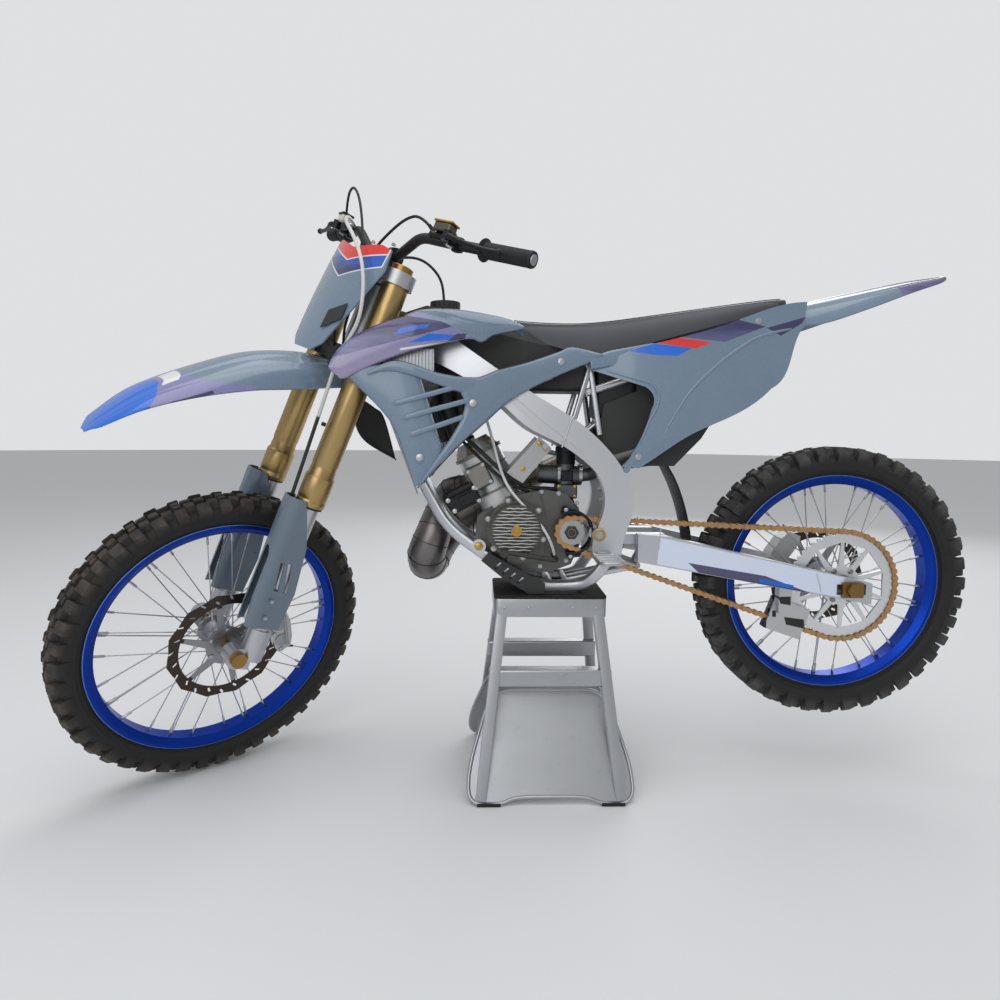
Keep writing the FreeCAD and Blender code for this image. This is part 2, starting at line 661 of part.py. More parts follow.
def make_number_plate():
    corners = [V(0, PLATE_HALF_W * y, PLATE_LOW + PLATE_H * z) for y, z in plate_outline_shares]
    outline = prism(corners, V(PLATE_HALF_W * 2, 0, 0))
    wires = []
    for up, lead in ((PLATE_LOW - SHEET, PLATE_LEAN_X), (PLATE_LOW + PLATE_H + SHEET, 0)):
        wires.append(plate_section(up, lead))
    sheet = Part.makeLoft(wires, True, True).common(outline)
    intake = [V(0, PLATE_HALF_W * y, PLATE_LOW + PLATE_H * z) for y, z in plate_intake_shares]
    sheet = sheet.cut(prism(intake, V(PLATE_HALF_W * 2, 0, 0)))
    tabs = []
    for side in (1, -1):
        y = side * FORK_Y * 0.4
        bow = PLATE_BOW * (y / PLATE_HALF_W) * (y / PLATE_HALF_W)
        lead = PLATE_LEAN_X * (PLATE_LOW + PLATE_H - UPPER_CLAMP_Z - CLAMP_WALL) / PLATE_H
        tabs.append(block(CLAMP_FRONT_X + SEAT_GAP, PLATE_TOP_X + lead - bow + SHEET / 2, y - CLAMP_WALL, y + CLAMP_WALL,
                          UPPER_CLAMP_Z + CLAMP_WALL, UPPER_CLAMP_Z + CLAMP_WALL + SHEET))
    nodes["number_plate"] = steered(fuse([sheet] + tabs))


def plate_section(up, lead):
    """The plate's bowed section at one height, as a closed strip one wall thick."""
    half = PLATE_HALF_W + SHEET
    edges = []
    for shift, sense in ((SHEET, 1), (0, -1)):
        x = PLATE_TOP_X + lead + shift
        edges.append(Part.Arc(V(x - PLATE_BOW, -half * sense, up), V(x, 0, up), V(x - PLATE_BOW, half * sense, up)).toShape())
    ends = [edge.Vertexes for edge in edges]
    first = Part.LineSegment(ends[0][1].Point, ends[1][0].Point).toShape()
    last = Part.LineSegment(ends[1][1].Point, ends[0][0].Point).toShape()
    return Part.Wire([edges[0], first, edges[1], last])


# Stations along the front fender: forward of the axis, crest height, half width, drop to the edge
arch_shares = [(0.0, 0.0), (0.45, 0.10), (0.78, 0.42), (1.0, 1.0)]
FENDER_LENGTH = 463.0
FENDER_CREST = 687.0
FENDER_HALF_W = 92.0
fender_shares = [(1.00, 0.565, 0.16, 0.02), (0.965, 0.615, 0.52, 0.10), (0.86, 0.715, 0.80, 0.24),
                 (0.70, 0.815, 0.95, 0.40), (0.50, 0.915, 1.0, 0.62), (0.30, 0.975, 0.92, 0.70),
                 (0.14, 0.998, 0.74, 0.60), (0.0, 0.998, 0.62, 0.40), (-0.13, 0.980, 0.56, 0.30)]


def arch(x, crest, half, drop, wall):
    """A closed crescent across the bike: a creased arch with a wall under it."""
    outer = [V(x, half * y, crest - drop * z) for y, z in arch_shares]
    inner = [V(x, max(half - wall, wall) * y, crest - wall - drop * z) for y, z in arch_shares]
    left = [V(x, -p.y, p.z) for p in reversed(outer[1:])]
    left_in = [V(x, -p.y, p.z) for p in inner[1:]]
    ring = left + outer + inner[::-1] + left_in
    return Part.makePolygon(ring + ring[:1])


def make_front_fender():
    wires = []
    for ahead, crest, half, drop in fender_shares:
        wires.append(arch(FENDER_LENGTH * ahead, FENDER_CREST * crest, FENDER_HALF_W * half,
                          FENDER_HALF_W * drop, SHEET))
    skin = Part.makeLoft(wires, True, True)
    pad = block(-STEM_R, FORK_LEAD + STEM_R, -STEM_R, STEM_R, FENDER_CREST - SHEET * 2, LOWER_CLAMP_Z - SEAT_GAP)
    nodes["front_fender"] = steered(fuse([skin, pad]))


GUARD_TOP = 384.0
GUARD_LOW = 82.0
GUARD_IN_R = AXLE_LUG_R + SEAT_GAP
guard_shares = [(-0.04, 0.0), (-0.12, 0.30), (0.06, 0.66), (0.38, 0.88), (0.58, 1.0), (0.98, 1.0), (1.0, 0.68),
                (0.92, 0.55), (0.92, 0.20), (0.88, 0.0)]
GUARD_L = 84.0
guard_slot_shares = [[(0.10, 0.30), (0.22, 0.30), (0.40, 0.52), (0.28, 0.52)],
                     [(0.38, 0.30), (0.50, 0.30), (0.62, 0.52), (0.50, 0.52)]]


def make_guards():
    """A U-shaped shield in front of each fork leg, cut to its outline, with two slots."""
    tall = GUARD_TOP - GUARD_LOW
    shell = u_shell(GUARD_IN_R + SHEET, GUARD_LOW - SHEET, tall + SHEET * 2)
    shell = shell.cut(u_shell(GUARD_IN_R, GUARD_LOW - SHEET * 2, tall + SHEET * 4))
    shape = [V(GUARD_L * x, FORK_Y - GUARD_L, GUARD_LOW + tall * z) for x, z in guard_shares]
    shell = shell.common(prism(shape, V(0, GUARD_L * 2, 0)))
    for slot_shares in guard_slot_shares:
        slot = [V(GUARD_L * x, FORK_Y, GUARD_LOW + tall * z) for x, z in slot_shares]
        shell = shell.cut(prism(slot, V(0, GUARD_L, 0)))
    nodes["fork_guards"] = steered(both_sides(largest(shell)))


def u_shell(radius, base, tall):
    """A solid with a U-shaped plan, its nose forward and its open end cut off behind the leg."""
    nose_x = GUARD_L - GUARD_IN_R - SHEET
    nose = Part.makeCylinder(radius, tall, V(nose_x, FORK_Y, base))
    return fuse([nose, block(-GUARD_L / 2, nose_x, FORK_Y - radius, FORK_Y + radius, base, base + tall)])


def make_front_axle():
    axle = rod(V(AXLE_LEAD, -FRONT_AXLE_HALF, 0), V(AXLE_LEAD, FRONT_AXLE_HALF, 0), FRONT_AXLE_R)
    nut = rod(V(AXLE_LEAD, FORK_Y + AXLE_NUT_R + SEAT_GAP, 0), V(AXLE_LEAD, FRONT_AXLE_HALF + AXLE_NUT_T, 0), AXLE_NUT_R)
    head = rod(V(AXLE_LEAD, -FRONT_AXLE_HALF - AXLE_NUT_T, 0), V(AXLE_LEAD, -FORK_Y - AXLE_NUT_R - SEAT_GAP, 0), AXLE_NUT_R)
    nodes["front_axle"] = steered(fuse([axle, nut, head]))


CALLIPER_L = 105.0
CALLIPER_H = 44.0
CALLIPER_HALF_T = 26.0
CALLIPER_IN_T = 18.0
FRONT_CALLIPER_TURN = 208.0   # degrees round the axle
REAR_CALLIPER_TURN = -35.0
calliper_shares = [(-0.4, -0.36), (-0.2, -0.5), (0.45, -0.44), (0.6, -0.2), (0.6, 0.2), (0.45, 0.44), (-0.2, 0.5),
                   (-0.4, 0.36)]


def calliper(disc_r, disc_y, y0, y1, angle):
    """A two-piece calliper over the disc's edge, with a slot for the disc, about the axle."""
    reach = disc_r - DISC_BAND / 2
    corners = [V(reach + CALLIPER_H * x, y0, CALLIPER_L * z) for x, z in calliper_shares]
    body = prism(corners, V(0, y1 - y0, 0))
    gap = DISC_T / 2 + MOVING_GAP / 2
    slot = disc_ring(disc_r + MOVING_GAP, DISC_T, disc_y - gap, disc_y + gap)
    body = body.cut(slot)
    body.rotate(V(0, 0, 0), AXIS_Y, angle)
    return body


def make_front_calliper():
    outer_y = FRONT_DISC_Y + CALLIPER_HALF_T
    shape = calliper(FRONT_DISC_R, FRONT_DISC_Y, FRONT_DISC_Y - CALLIPER_IN_T, outer_y, FRONT_CALLIPER_TURN)
    shape.translate(V(AXLE_LEAD, 0, 0))
    bracket = block(-FORK_OUTER_R, FORK_LEAD, FRONT_DISC_Y + MOVING_GAP, outer_y, AXLE_LUG_TOP / 2, AXLE_LUG_TOP)
    nodes["front_calliper"] = steered(fuse([shape, bracket])).cut(nodes["fork_lowers"])


# Frame

beam_upper_shares = [(1.28, 1.09), (1.0, 1.02), (0.85, 0.93), (0.66, 0.81), (0.44, 0.68), (0.31, 0.61),
                     (0.15, 0.49), (0.06, 0.39), (0.01, 0.30), (0.00, 0.20), (0.03, 0.10), (0.05, 0.0)]
beam_lower_shares = [(0.19, 0.0), (0.18, 0.10), (0.15, 0.17), (0.14, 0.27), (0.18, 0.36), (0.26, 0.43),
                     (0.36, 0.49), (0.51, 0.56), (0.65, 0.67), (0.83, 0.78), (1.0, 0.86), (1.32, 0.93)]
beam_rib_shares = [(0.20, 0.40), (0.30, 0.49), (0.46, 0.60), (0.60, 0.71), (0.62, 0.69), (0.48, 0.57),
                   (0.33, 0.46), (0.22, 0.37)]
beam_plan_shares = [(1.34, 0.20), (1.15, 0.46), (0.92, 0.84), (0.62, 1.0), (0.25, 1.0), (-0.05, 1.0)]


def make_frame():
    upper = scaled(beam_upper_shares, -BEAM_BACK, BEAM_LOW_Z, BEAM_L, BEAM_H)
    lower = scaled(beam_lower_shares, -BEAM_BACK, BEAM_LOW_Z, BEAM_L, BEAM_H)
    slab = side_slab([upper[:-1], upper[-1:], lower[:-1], lower[-1:]], 0, BEAM_HALF_W + OVERRUN)
    plan = scaled(beam_plan_shares, -BEAM_BACK, 0, BEAM_L, BEAM_HALF_W)
    band = plan_band(plan, BEAM_T, BEAM_LOW_Z - BEAM_H, BEAM_LOW_Z + BEAM_H * 2)
    beam = slab.common(band)
    rib = scaled(beam_rib_shares, -BEAM_BACK, BEAM_LOW_Z, BEAM_L, BEAM_H)
    groove = prism([V(x, BEAM_HALF_W - SHEET, z) for x, z in rib], V(0, SHEET * 2, 0))
    beam = beam.cut(groove)
    head_low = LOWER_CLAMP_Z + LOWER_CLAMP_T + HEAD_GAP
    head_top = UPPER_CLAMP_Z - HEAD_GAP
    head = raked(Part.makeCylinder(HEAD_R, head_top - head_low, V(0, 0, head_low)))
    bore = raked(Part.makeCylinder(STEM_R + SEAT_GAP, BEAM_H, V(0, 0, head_low - HEAD_GAP)))
    tower = V(SHOCK_TOP_X + BEAM_T * 2, 0, SHOCK_TOP_Z - BEAM_T * 1.5)
    across = AXIS_Y * (BEAM_HALF_W - BEAM_T / 2)
    cross = rod(tower - across, tower + across, CRADLE_R)
    clevis = []
    for side in (1, -1):
        ear = V(0, side * (SHOCK_R + CRADLE_R / 2), 0)
        clevis.append(rod(tower + ear, V(SHOCK_TOP_X, 0, SHOCK_TOP_Z) + ear, CRADLE_R / 2))
    shape = fuse([head, beam, mirrored(beam), cross] + clevis).cut(bore)
    bolt = V(0, BEAM_HALF_W * 1.2, 0)
    nodes["frame_beams"] = shape.cut(rod(PIVOT - bolt, PIVOT + bolt, PIVOT_BOLT_R + SEAT_GAP))


PIVOT_BOLT_R = 9.0
CRADLE_Y = 66.0
SPLIT_X = 292.0
SPLIT_Z = 676.0
ENGINE_MOUNT_X = 163.0
ENGINE_MOUNT_Z = 557.0


stay_shares = [(0.098, 1.192), (0.0, 1.154), (0.24, 1.026), (0.35, 1.070)]


def make_head_stays():
    """Two plates that hang the cylinder head from the frame's beams."""
    inner_y = BEAM_HALF_W - BEAM_T
    stay_y = CYLINDER_R + CLAMP_WALL
    corners = [V(SPLIT_X * x, stay_y, SPLIT_Z * z) for x, z in stay_shares]
    plate = prism(corners, V(0, SHEET, 0))
    top = V(SPLIT_X * 0.055, stay_y, SPLIT_Z * 1.162)
    boss = rod(top, V(top.x, inner_y + OVERRUN, top.z), CLAMP_WALL)
    low = V(SPLIT_X * 0.31, 0, SPLIT_Z * 1.055)
    bolt = rod(low, V(low.x, stay_y + SHEET * 2, low.z), CLAMP_WALL)
    stay = fuse([plate, boss, bolt])
    for other in ("frame_beams", "cylinder", "engine_cases"):
        stay = stay.cut(nodes[other])
    stay = largest(stay)
    nodes["head_stays"] = Part.makeCompound([stay, mirrored(stay)])


def make_cradle():
    top = head_point(-HEAD_R * 0.8, 0, (LOWER_CLAMP_Z + LOWER_CLAMP_T + UPPER_CLAMP_Z) / 2)
    split = V(SPLIT_X, 0, SPLIT_Z)
    down = rod(top, split, DOWN_TUBE_R)
    rail = [V(SPLIT_X + DOWN_TUBE_R * 0.2, CRADLE_R * 0.7, SPLIT_Z + DOWN_TUBE_R),
            V(SPLIT_X * 0.80, CRADLE_Y * 0.62, SPLIT_Z * 0.88), V(SPLIT_X * 0.42, CRADLE_Y, CRADLE_LOW_Z * 1.12),
            V(SPLIT_X * 0.13, CRADLE_Y, CRADLE_LOW_Z), V(-PIVOT_BACK * 0.70, CRADLE_Y, CRADLE_LOW_Z),
            V(-PIVOT_BACK, CRADLE_Y * 1.40, CRADLE_LOW_Z * 1.07),
            V(-PIVOT_BACK * 1.20, CRADLE_Y * 1.40, BEAM_LOW_Z + CRADLE_R)]
    rails = bent_tube(rail, CRADLE_R, CRADLE_R * 5)
    cross = rod(V(0, -CRADLE_Y, CRADLE_LOW_Z), V(0, CRADLE_Y, CRADLE_LOW_Z), CRADLE_R)
    mount = V(ENGINE_MOUNT_X, CRADLE_Y * 0.9, ENGINE_MOUNT_Z)
    bolt = rod(mount - AXIS_Y * (CRADLE_Y * 1.8), mount, CRADLE_R * 0.8)
    shape = fuse([down, rails, mirrored(rails), cross, bolt])
    nodes["cradle"] = largest(shape.cut(nodes["frame_beams"]).cut(nodes["engine_cases"]))


SUBFRAME_R = 9.0
SUBFRAME_Y = 52.0
SUBFRAME_L = 577.5
subframe_top_shares = [(0.131, 1.2, 0.72), (0.327, 1.0, 0.80), (1.0, 1.0, 1.06)]
subframe_low_shares = [(0.281, 1.5, 0.38), (0.468, 1.5, 0.60), (0.933, 1.0, 1.03)]


def make_subframe():
    rails = []
    for table in (subframe_top_shares, subframe_low_shares):
        route = [V(-SUBFRAME_L * x, SUBFRAME_Y * y, BEAM_LOW_Z + BEAM_H * z) for x, y, z in table]
        rails.append(bent_tube(route, SUBFRAME_R, SUBFRAME_R * 4))
    side = fuse(rails)
    end_x = -SUBFRAME_L + SUBFRAME_R * 2
    end = V(end_x, SUBFRAME_Y, subframe_top_z(end_x))
    cross = rod(end, V(end.x, -end.y, end.z), SUBFRAME_R)
    nodes["subframe"] = fuse([side, mirrored(side), cross]).cut(nodes["frame_beams"])


def rail_z(table, x):
    """The height of a subframe rail at a place along the bike."""
    places = [(-SUBFRAME_L * share[0], BEAM_LOW_Z + BEAM_H * share[2]) for share in table]
    (x0, z0), (x1, z1) = places[-2:] if x < places[1][0] else places[:2]
    return z0 + (z1 - z0) * (x - x0) / (x1 - x0)


def subframe_top_z(x):
    return rail_z(subframe_top_shares, x)


def subframe_low_z(x):
    return rail_z(subframe_low_shares, x)


# Engine

CASE_HALF_W = 46.0
IGNITION_R = 58.0
IGNITION_OUT = 26.0
CLUTCH_R = 72.0
CYLINDER_LEAN = 27.0
CYLINDER_R = 52.0
CYLINDER_BASE = 88.0
CYLINDER_TOP = 190.0
HEAD_TOP = 222.0
CASE_L = 248.0
CASE_H = 195.0
CASE_BACK = 76.0
CASE_LOW_Z = 492.0
COVER_T = 34.0
COVER_RIBS = 9
VALVE_L = 46.0
VALVE_H = 50.0
VALVE_OUT = 16.0
HOSE_R = 9.0
SPIGOT_L = 26.0
rear_cover_shares = [(0.36, 0.16), (0.34, 0.60), (0.42, 0.98), (0.72, 0.90), (0.70, 0.10)]
case_shares = [(0.10, 0.10), (0.02, 0.34), (0.02, 0.72), (0.16, 0.95), (0.42, 1.0), (0.72, 0.92), (0.98, 0.66),
               (1.0, 0.40), (0.84, 0.16), (0.60, 0.03), (0.30, 0.0)]


def make_engine():
    crank = V(CRANK_X, 0, CRANK_Z)
    points = scaled(case_shares, -CASE_BACK, CASE_LOW_Z, CASE_L, CASE_H)
    cases = prism([V(x, -CASE_HALF_W, z) for x, z in points], V(0, CASE_HALF_W * 2, 0))
    cover_base = crank + V(0, CASE_HALF_W - OVERRUN, 0)
    ignition = Part.makeCylinder(IGNITION_R, COVER_T + IGNITION_OUT, cover_base, AXIS_Y)
    collar = Part.makeCylinder(IGNITION_R + CLAMP_WALL, COVER_T, cover_base, AXIS_Y)
    ribs = []
    for index in range(COVER_RIBS):
        x = CRANK_X + IGNITION_R * (2 * (index + 0.5) / COVER_RIBS - 1)
        ribs.append(block(x - SHEET * 0.4, x + SHEET * 0.4, CASE_HALF_W + COVER_T + IGNITION_OUT - OVERRUN * 2,
                          CASE_HALF_W + COVER_T + IGNITION_OUT, CRANK_Z - IGNITION_R, CRANK_Z + IGNITION_R))
    ignition = ignition.cut(Part.makeCompound(ribs))
    badge = Part.makeCylinder(IGNITION_R * 0.30, COVER_T + IGNITION_OUT, cover_base, AXIS_Y)
    rear_cover = prism([V(x, CASE_HALF_W - OVERRUN, z) for x, z in scaled(rear_cover_shares, -CASE_BACK, CASE_LOW_Z,
                                                                            CASE_L, CASE_H)], V(0, COVER_T * 0.5, 0))
    clutch_centre = V(-PIVOT_BACK * 0.05, 0, CRANK_Z + SHEET)
    clutch = Part.makeCylinder(CLUTCH_R, COVER_T + OVERRUN, clutch_centre - V(0, CASE_HALF_W + COVER_T, 0), AXIS_Y)
    boss = Part.makeCylinder(CLUTCH_R * 0.7, COVER_T * 1.3, clutch_centre - V(0, CASE_HALF_W + COVER_T * 1.3, 0), AXIS_Y)
    primary = Part.makeCylinder(CYLINDER_R, COVER_T * 0.7 + OVERRUN, crank - V(0, CASE_HALF_W + COVER_T * 0.7, 0), AXIS_Y)
    nodes["engine_cases"] = fuse([cases, ignition, collar, badge, rear_cover, clutch, boss, primary])
    barrel = rod(crank + cylinder_way() * (CYLINDER_BASE * 0.7), crank + cylinder_way() * CYLINDER_TOP, CYLINDER_R)
    head = cone(crank + cylinder_way() * CYLINDER_TOP, crank + cylinder_way() * HEAD_TOP, CYLINDER_R * 1.08,
                CYLINDER_R * 0.72)
    spigot = rod(crank + cylinder_way() * CYLINDER_TOP, crank + cylinder_way() * (HEAD_TOP + SPIGOT_L), HOSE_R)
    valve = valve_block(crank)
    nodes["cylinder"] = fuse([barrel, head, spigot, valve]).cut(nodes["engine_cases"])


def cylinder_way():
    lean = math.radians(CYLINDER_LEAN)
    return V(math.sin(lean), 0, math.cos(lean))


def valve_block(crank):
    """The exhaust valve's box on the left of the barrel."""
    box = block(-VALVE_L / 2, VALVE_L / 2, CYLINDER_R * 0.6, CYLINDER_R + VALVE_OUT, -VALVE_H / 2, VALVE_H / 2)
    box.rotate(V(0, 0, 0), AXIS_Y, CYLINDER_LEAN)
    box.translate(crank + cylinder_way() * (CYLINDER_BASE * 1.5) + V(VALVE_L * 0.5, 0, 0))
    return box


CARB_R = 25.0
CARB_X = -40.0
CARB_Z = 712.0


def make_carburettor():
    front = V(CARB_X + CARB_R * 2.6, 0, CARB_Z + CARB_R * 0.3)
    rear = V(CARB_X - CARB_R * 1.5, 0, CARB_Z + CARB_R * 0.1)
    body = rod(rear, front, CARB_R * 0.9)
    bowl = rod(V(CARB_X, 0, CARB_Z - CARB_R * 1.9), V(CARB_X, 0, CARB_Z + CARB_R * 2.2), CARB_R * 0.85)
    boot = bent_tube([rear + V(CARB_R * 0.4, 0, 0), rear + V(-CARB_R * 0.8, CARB_R * 0.5, CARB_R * 0.2),
                      V(-PIVOT_BACK * 1.3, CARB_R * 2.08, CARB_Z + CARB_R * 1.6),
                      V(-PIVOT_BACK * 1.93, CARB_R * 2.08, CARB_Z + CARB_R * 2.4)], CARB_R * 0.62, CARB_R)
    shape = fuse([body, bowl, boot])
    nodes["carburettor"] = shape.cut(nodes["engine_cases"]).cut(nodes["cylinder"])


PIPE_R = 20.0
PIPE_BELLY_R = 52.0
WELD_RISE = 0.8
pipe_shares = [(0.671, 0.455, 1.024), (0.808, 1.000, 1.000), (0.884, 1.333, 0.929),
               (0.938, 1.121, 0.843), (1.000, 1.212, 0.760), (0.986, 1.848, 0.722),
               (0.911, 2.303, 0.787), (0.747, 2.394, 0.873), (0.514, 2.424, 0.938),
               (0.257, 2.424, 0.997), (0.000, 2.394, 1.056), (-0.274, 2.303, 1.129),
               (-0.514, 2.136, 1.201)]
pipe_radius_shares = [0.38, 0.40, 0.48, 0.65, 0.83, 0.90, 0.92, 0.94, 0.94, 0.88, 0.73, 0.50, 0.34,
                      0.32, 0.31]
SILENCER_R = 38.0
SILENCER_L = 330.0
SILENCER_Y = -130.0
SILENCER_RISE = 0.34          # rise of the silencer for each unit of its run


def silencer_start():
    return V(-PIVOT_BACK * 2, SILENCER_Y, SPLIT_Z * 1.27)


def silencer_way():
    way = V(-SILENCER_L, 0, SILENCER_L * SILENCER_RISE)
    way.normalize()
    return way


def make_exhaust():
    port = V(CRANK_X, 0, CRANK_Z) + cylinder_way() * (CYLINDER_BASE * 1.35)
    port = port + V(CYLINDER_R * 0.9, 0, -CYLINDER_R * 0.4)
    points = [port]
    for x, y, z in pipe_shares:
        points.append(V(SPLIT_X * x, -CRADLE_Y * y, SPLIT_Z * z))
    points.append(silencer_start())
    radii = [PIPE_BELLY_R * share for share in pipe_radius_shares]
    runs = []
    for start, end, first, last in zip(points, points[1:], radii, radii[1:]):
        runs.append(cone(start, end, first, last))
    for point, radius in zip(points[1:-1], radii[1:-1]):
        runs.append(Part.makeSphere(radius + WELD_RISE, point))
    pipe = fuse(runs)
    nodes["exhaust_pipe"] = pipe.cut(nodes["cylinder"]).cut(nodes["cradle"])
    start = points[-1]
    way = silencer_way()
    can = rod(start + way * PIPE_R, start + way * SILENCER_L, SILENCER_R)
    caps = [cone(start, start + way * PIPE_R, PIPE_R * 0.9, SILENCER_R),
            cone(start + way * SILENCER_L, start + way * (SILENCER_L + PIPE_R), SILENCER_R, PIPE_R)]
    grip = start + way * (SILENCER_L * 0.30)
    strap = rod(grip - way * CLAMP_WALL, grip + way * CLAMP_WALL, SILENCER_R + SHEET / 2)
    hanger = rod(grip, V(grip.x, -SUBFRAME_Y * 1.5, subframe_low_z(grip.x)), SUBFRAME_R * 0.7)
    can = fuse([can] + caps + [strap, hanger])
    nodes["silencer"] = largest(can.cut(pipe).cut(nodes["subframe"]))


RADIATOR_H = 200.0
RADIATOR_W = 78.0
RADIATOR_T = 34.0
RADIATOR_BACK = 153.0
RADIATOR_LOW = 505.0
RADIATOR_IN = 58.0
RADIATOR_FINS = 14


def make_radiators():
    core = block(-RADIATOR_BACK - RADIATOR_T, -RADIATOR_BACK, RADIATOR_IN, RADIATOR_IN + RADIATOR_W,
                 RADIATOR_LOW, RADIATOR_LOW + RADIATOR_H)
    fins = []
    for index in range(RADIATOR_FINS):
        z = RADIATOR_LOW + RADIATOR_H * (index + 0.5) / RADIATOR_FINS
        fins.append(block(-RADIATOR_BACK - SHEET, -RADIATOR_BACK + OVERRUN, RADIATOR_IN + SHEET,
                          RADIATOR_IN + RADIATOR_W - SHEET, z - SHEET / 2, z + SHEET / 2))
    core = core.cut(Part.makeCompound(fins))
    tanks = []
    for z in (RADIATOR_LOW - RADIATOR_T, RADIATOR_LOW + RADIATOR_H):
        tanks.append(block(-RADIATOR_BACK - RADIATOR_T - SHEET, -RADIATOR_BACK + SHEET, RADIATOR_IN,
                           RADIATOR_IN + RADIATOR_W, z, z + RADIATOR_T))
    middle = RADIATOR_LOW + RADIATOR_H * 0.46
    lug = block(-RADIATOR_BACK - RADIATOR_T, -RADIATOR_BACK - RADIATOR_T / 3, DOWN_TUBE_R / 2, RADIATOR_IN + SHEET,
                middle - SHEET, middle + SHEET)
    shape = fuse([core, lug] + tanks)
    nodes["radiators"] = both_sides_cut(raked(shape), nodes["cradle"])


def both_sides_cut(shape, other):
    """A left and a right copy, each kept to its largest solid after a cut."""
    return Part.makeCompound([largest(shape.cut(other)), largest(mirrored(shape).cut(other))])


# Bodywork

shroud_runs_shares = [[(0.29, 0.93), (0.37, 0.96), (0.53, 1.00), (0.68, 0.99)],
                       [(0.68, 0.99), (0.80, 0.91), (0.92, 0.83), (0.97, 0.74), (0.99, 0.63)],
                       [(0.99, 0.63), (0.84, 0.45), (0.76, 0.31), (0.71, 0.08)],
                       [(0.71, 0.08), (0.68, 0.0), (0.65, 0.04), (0.55, 0.15)],
                       [(0.55, 0.15), (0.47, 0.35), (0.38, 0.49), (0.28, 0.56)],
                       [(0.28, 0.56), (0.09, 0.68), (0.00, 0.77)],
                       [(0.00, 0.77), (0.07, 0.83), (0.12, 0.81)],
                       [(0.12, 0.81), (0.39, 0.68), (0.52, 0.62), (0.64, 0.66)],
                       [(0.64, 0.66), (0.66, 0.72), (0.60, 0.79), (0.45, 0.83)]]
shroud_slot_shares = [[(0.66, 0.50), (0.90, 0.66), (0.915, 0.635), (0.66, 0.455)],
                      [(0.63, 0.40), (0.83, 0.53), (0.845, 0.50), (0.625, 0.355)],
                      [(0.60, 0.30), (0.765, 0.40), (0.775, 0.37), (0.60, 0.26)],
                      [(0.60, 0.20), (0.70, 0.26), (0.705, 0.23), (0.615, 0.165)]]
SHROUD_BOSS_X = 272.0
SHROUD_BOSS_Z = 938.0
BEAM_BOSS_X = 55.0
BEAM_BOSS_Z = 907.0
shroud_plan_shares = [(1.02, 0.99), (0.80, 1.00), (0.55, 0.93), (0.30, 0.78), (0.0, 0.68)]


def curved_panel(runs_shares, plan_shares, back, low_z, length, height, half_w):
    runs = [scaled(run, -back, low_z, length, height)[:-1] for run in runs_shares]
    slab = side_slab(runs, 0, half_w * 1.2)
    plan = scaled(plan_shares, -back, 0, length, half_w)
    band = plan_band(plan, SHEET, low_z - height, low_z + height * 2)
    return slab.common(band)


def make_shrouds():
    panel = curved_panel(shroud_runs_shares, shroud_plan_shares, SHROUD_BACK, SHROUD_LOW_Z, SHROUD_L, SHROUD_H,
                         SHROUD_HALF_W)
    slots = []
    for slot_shares in shroud_slot_shares:
        places = scaled(slot_shares, -SHROUD_BACK, SHROUD_LOW_Z, SHROUD_L, SHROUD_H)
        slots.append(prism([V(x, SHROUD_HALF_W / 2, z) for x, z in places], V(0, SHROUD_HALF_W, 0)))
    panel = panel.cut(Part.makeCompound(slots))
    radiator_y = RADIATOR_IN + RADIATOR_W + SEAT_GAP
    boss = rod(V(SHROUD_BOSS_X, radiator_y, SHROUD_BOSS_Z), V(SHROUD_BOSS_X, SHROUD_HALF_W, SHROUD_BOSS_Z), CLAMP_WALL)
    beam_boss = rod(V(BEAM_BOSS_X, BEAM_HALF_W + SEAT_GAP, BEAM_BOSS_Z), V(BEAM_BOSS_X, SHROUD_HALF_W, BEAM_BOSS_Z),
                    CLAMP_WALL)
    inside = curved_fill(shroud_plan_shares, SHROUD_BACK, SHROUD_LOW_Z, SHROUD_L, SHROUD_H, SHROUD_HALF_W)
    panel = fuse([panel, boss.common(inside), beam_boss.common(inside)])
    nodes["shrouds"] = both_sides(panel.cut(nodes["frame_beams"]))


def curved_fill(plan_shares, back, low_z, length, height, half_w):
    """All that lies inside a curved panel's outer face, to end its bosses there."""
    plan = scaled(plan_shares, -back, 0, length, half_w)
    outer = [V(x, y - SHEET / 2, low_z - height) for x, y in plan]
    edges = [run_edge(outer), run_edge([outer[-1], V(outer[-1].x, 0, outer[-1].z)])]
    edges += [run_edge([V(outer[-1].x, 0, outer[-1].z), V(outer[0].x, 0, outer[0].z)])]
    edges += [run_edge([V(outer[0].x, 0, outer[0].z), outer[0]])]
    return Part.Face(Part.Wire(edges)).extrude(V(0, 0, height * 3))


panel_runs_shares = [[(1.00, 0.59), (0.75, 0.49)], [(0.75, 0.49), (0.71, 0.42), (0.72, 0.36)], [(0.72, 0.36), (0.80, 0.10), (0.84, 0.02)],
                [(0.84, 0.02), (0.77, 0.01)], [(0.77, 0.01), (0.68, 0.09), (0.54, 0.21), (0.37, 0.31), (0.16, 0.49)],
                [(0.16, 0.49), (0.10, 0.56), (0.07, 0.66), (0.01, 0.86)], [(0.01, 0.86), (0.0, 1.0)],
                [(0.0, 1.0), (0.11, 0.98), (0.38, 0.86), (0.62, 0.77), (0.80, 0.72)],
                [(0.80, 0.72), (1.02, 0.66)]]
PANEL_BOSS_X = -162.0
PANEL_TOP_BOSS_X = -438.0
panel_plan_shares = [(1.04, 0.70), (0.80, 0.90), (0.50, 1.0), (0.20, 0.94), (-0.05, 0.80)]


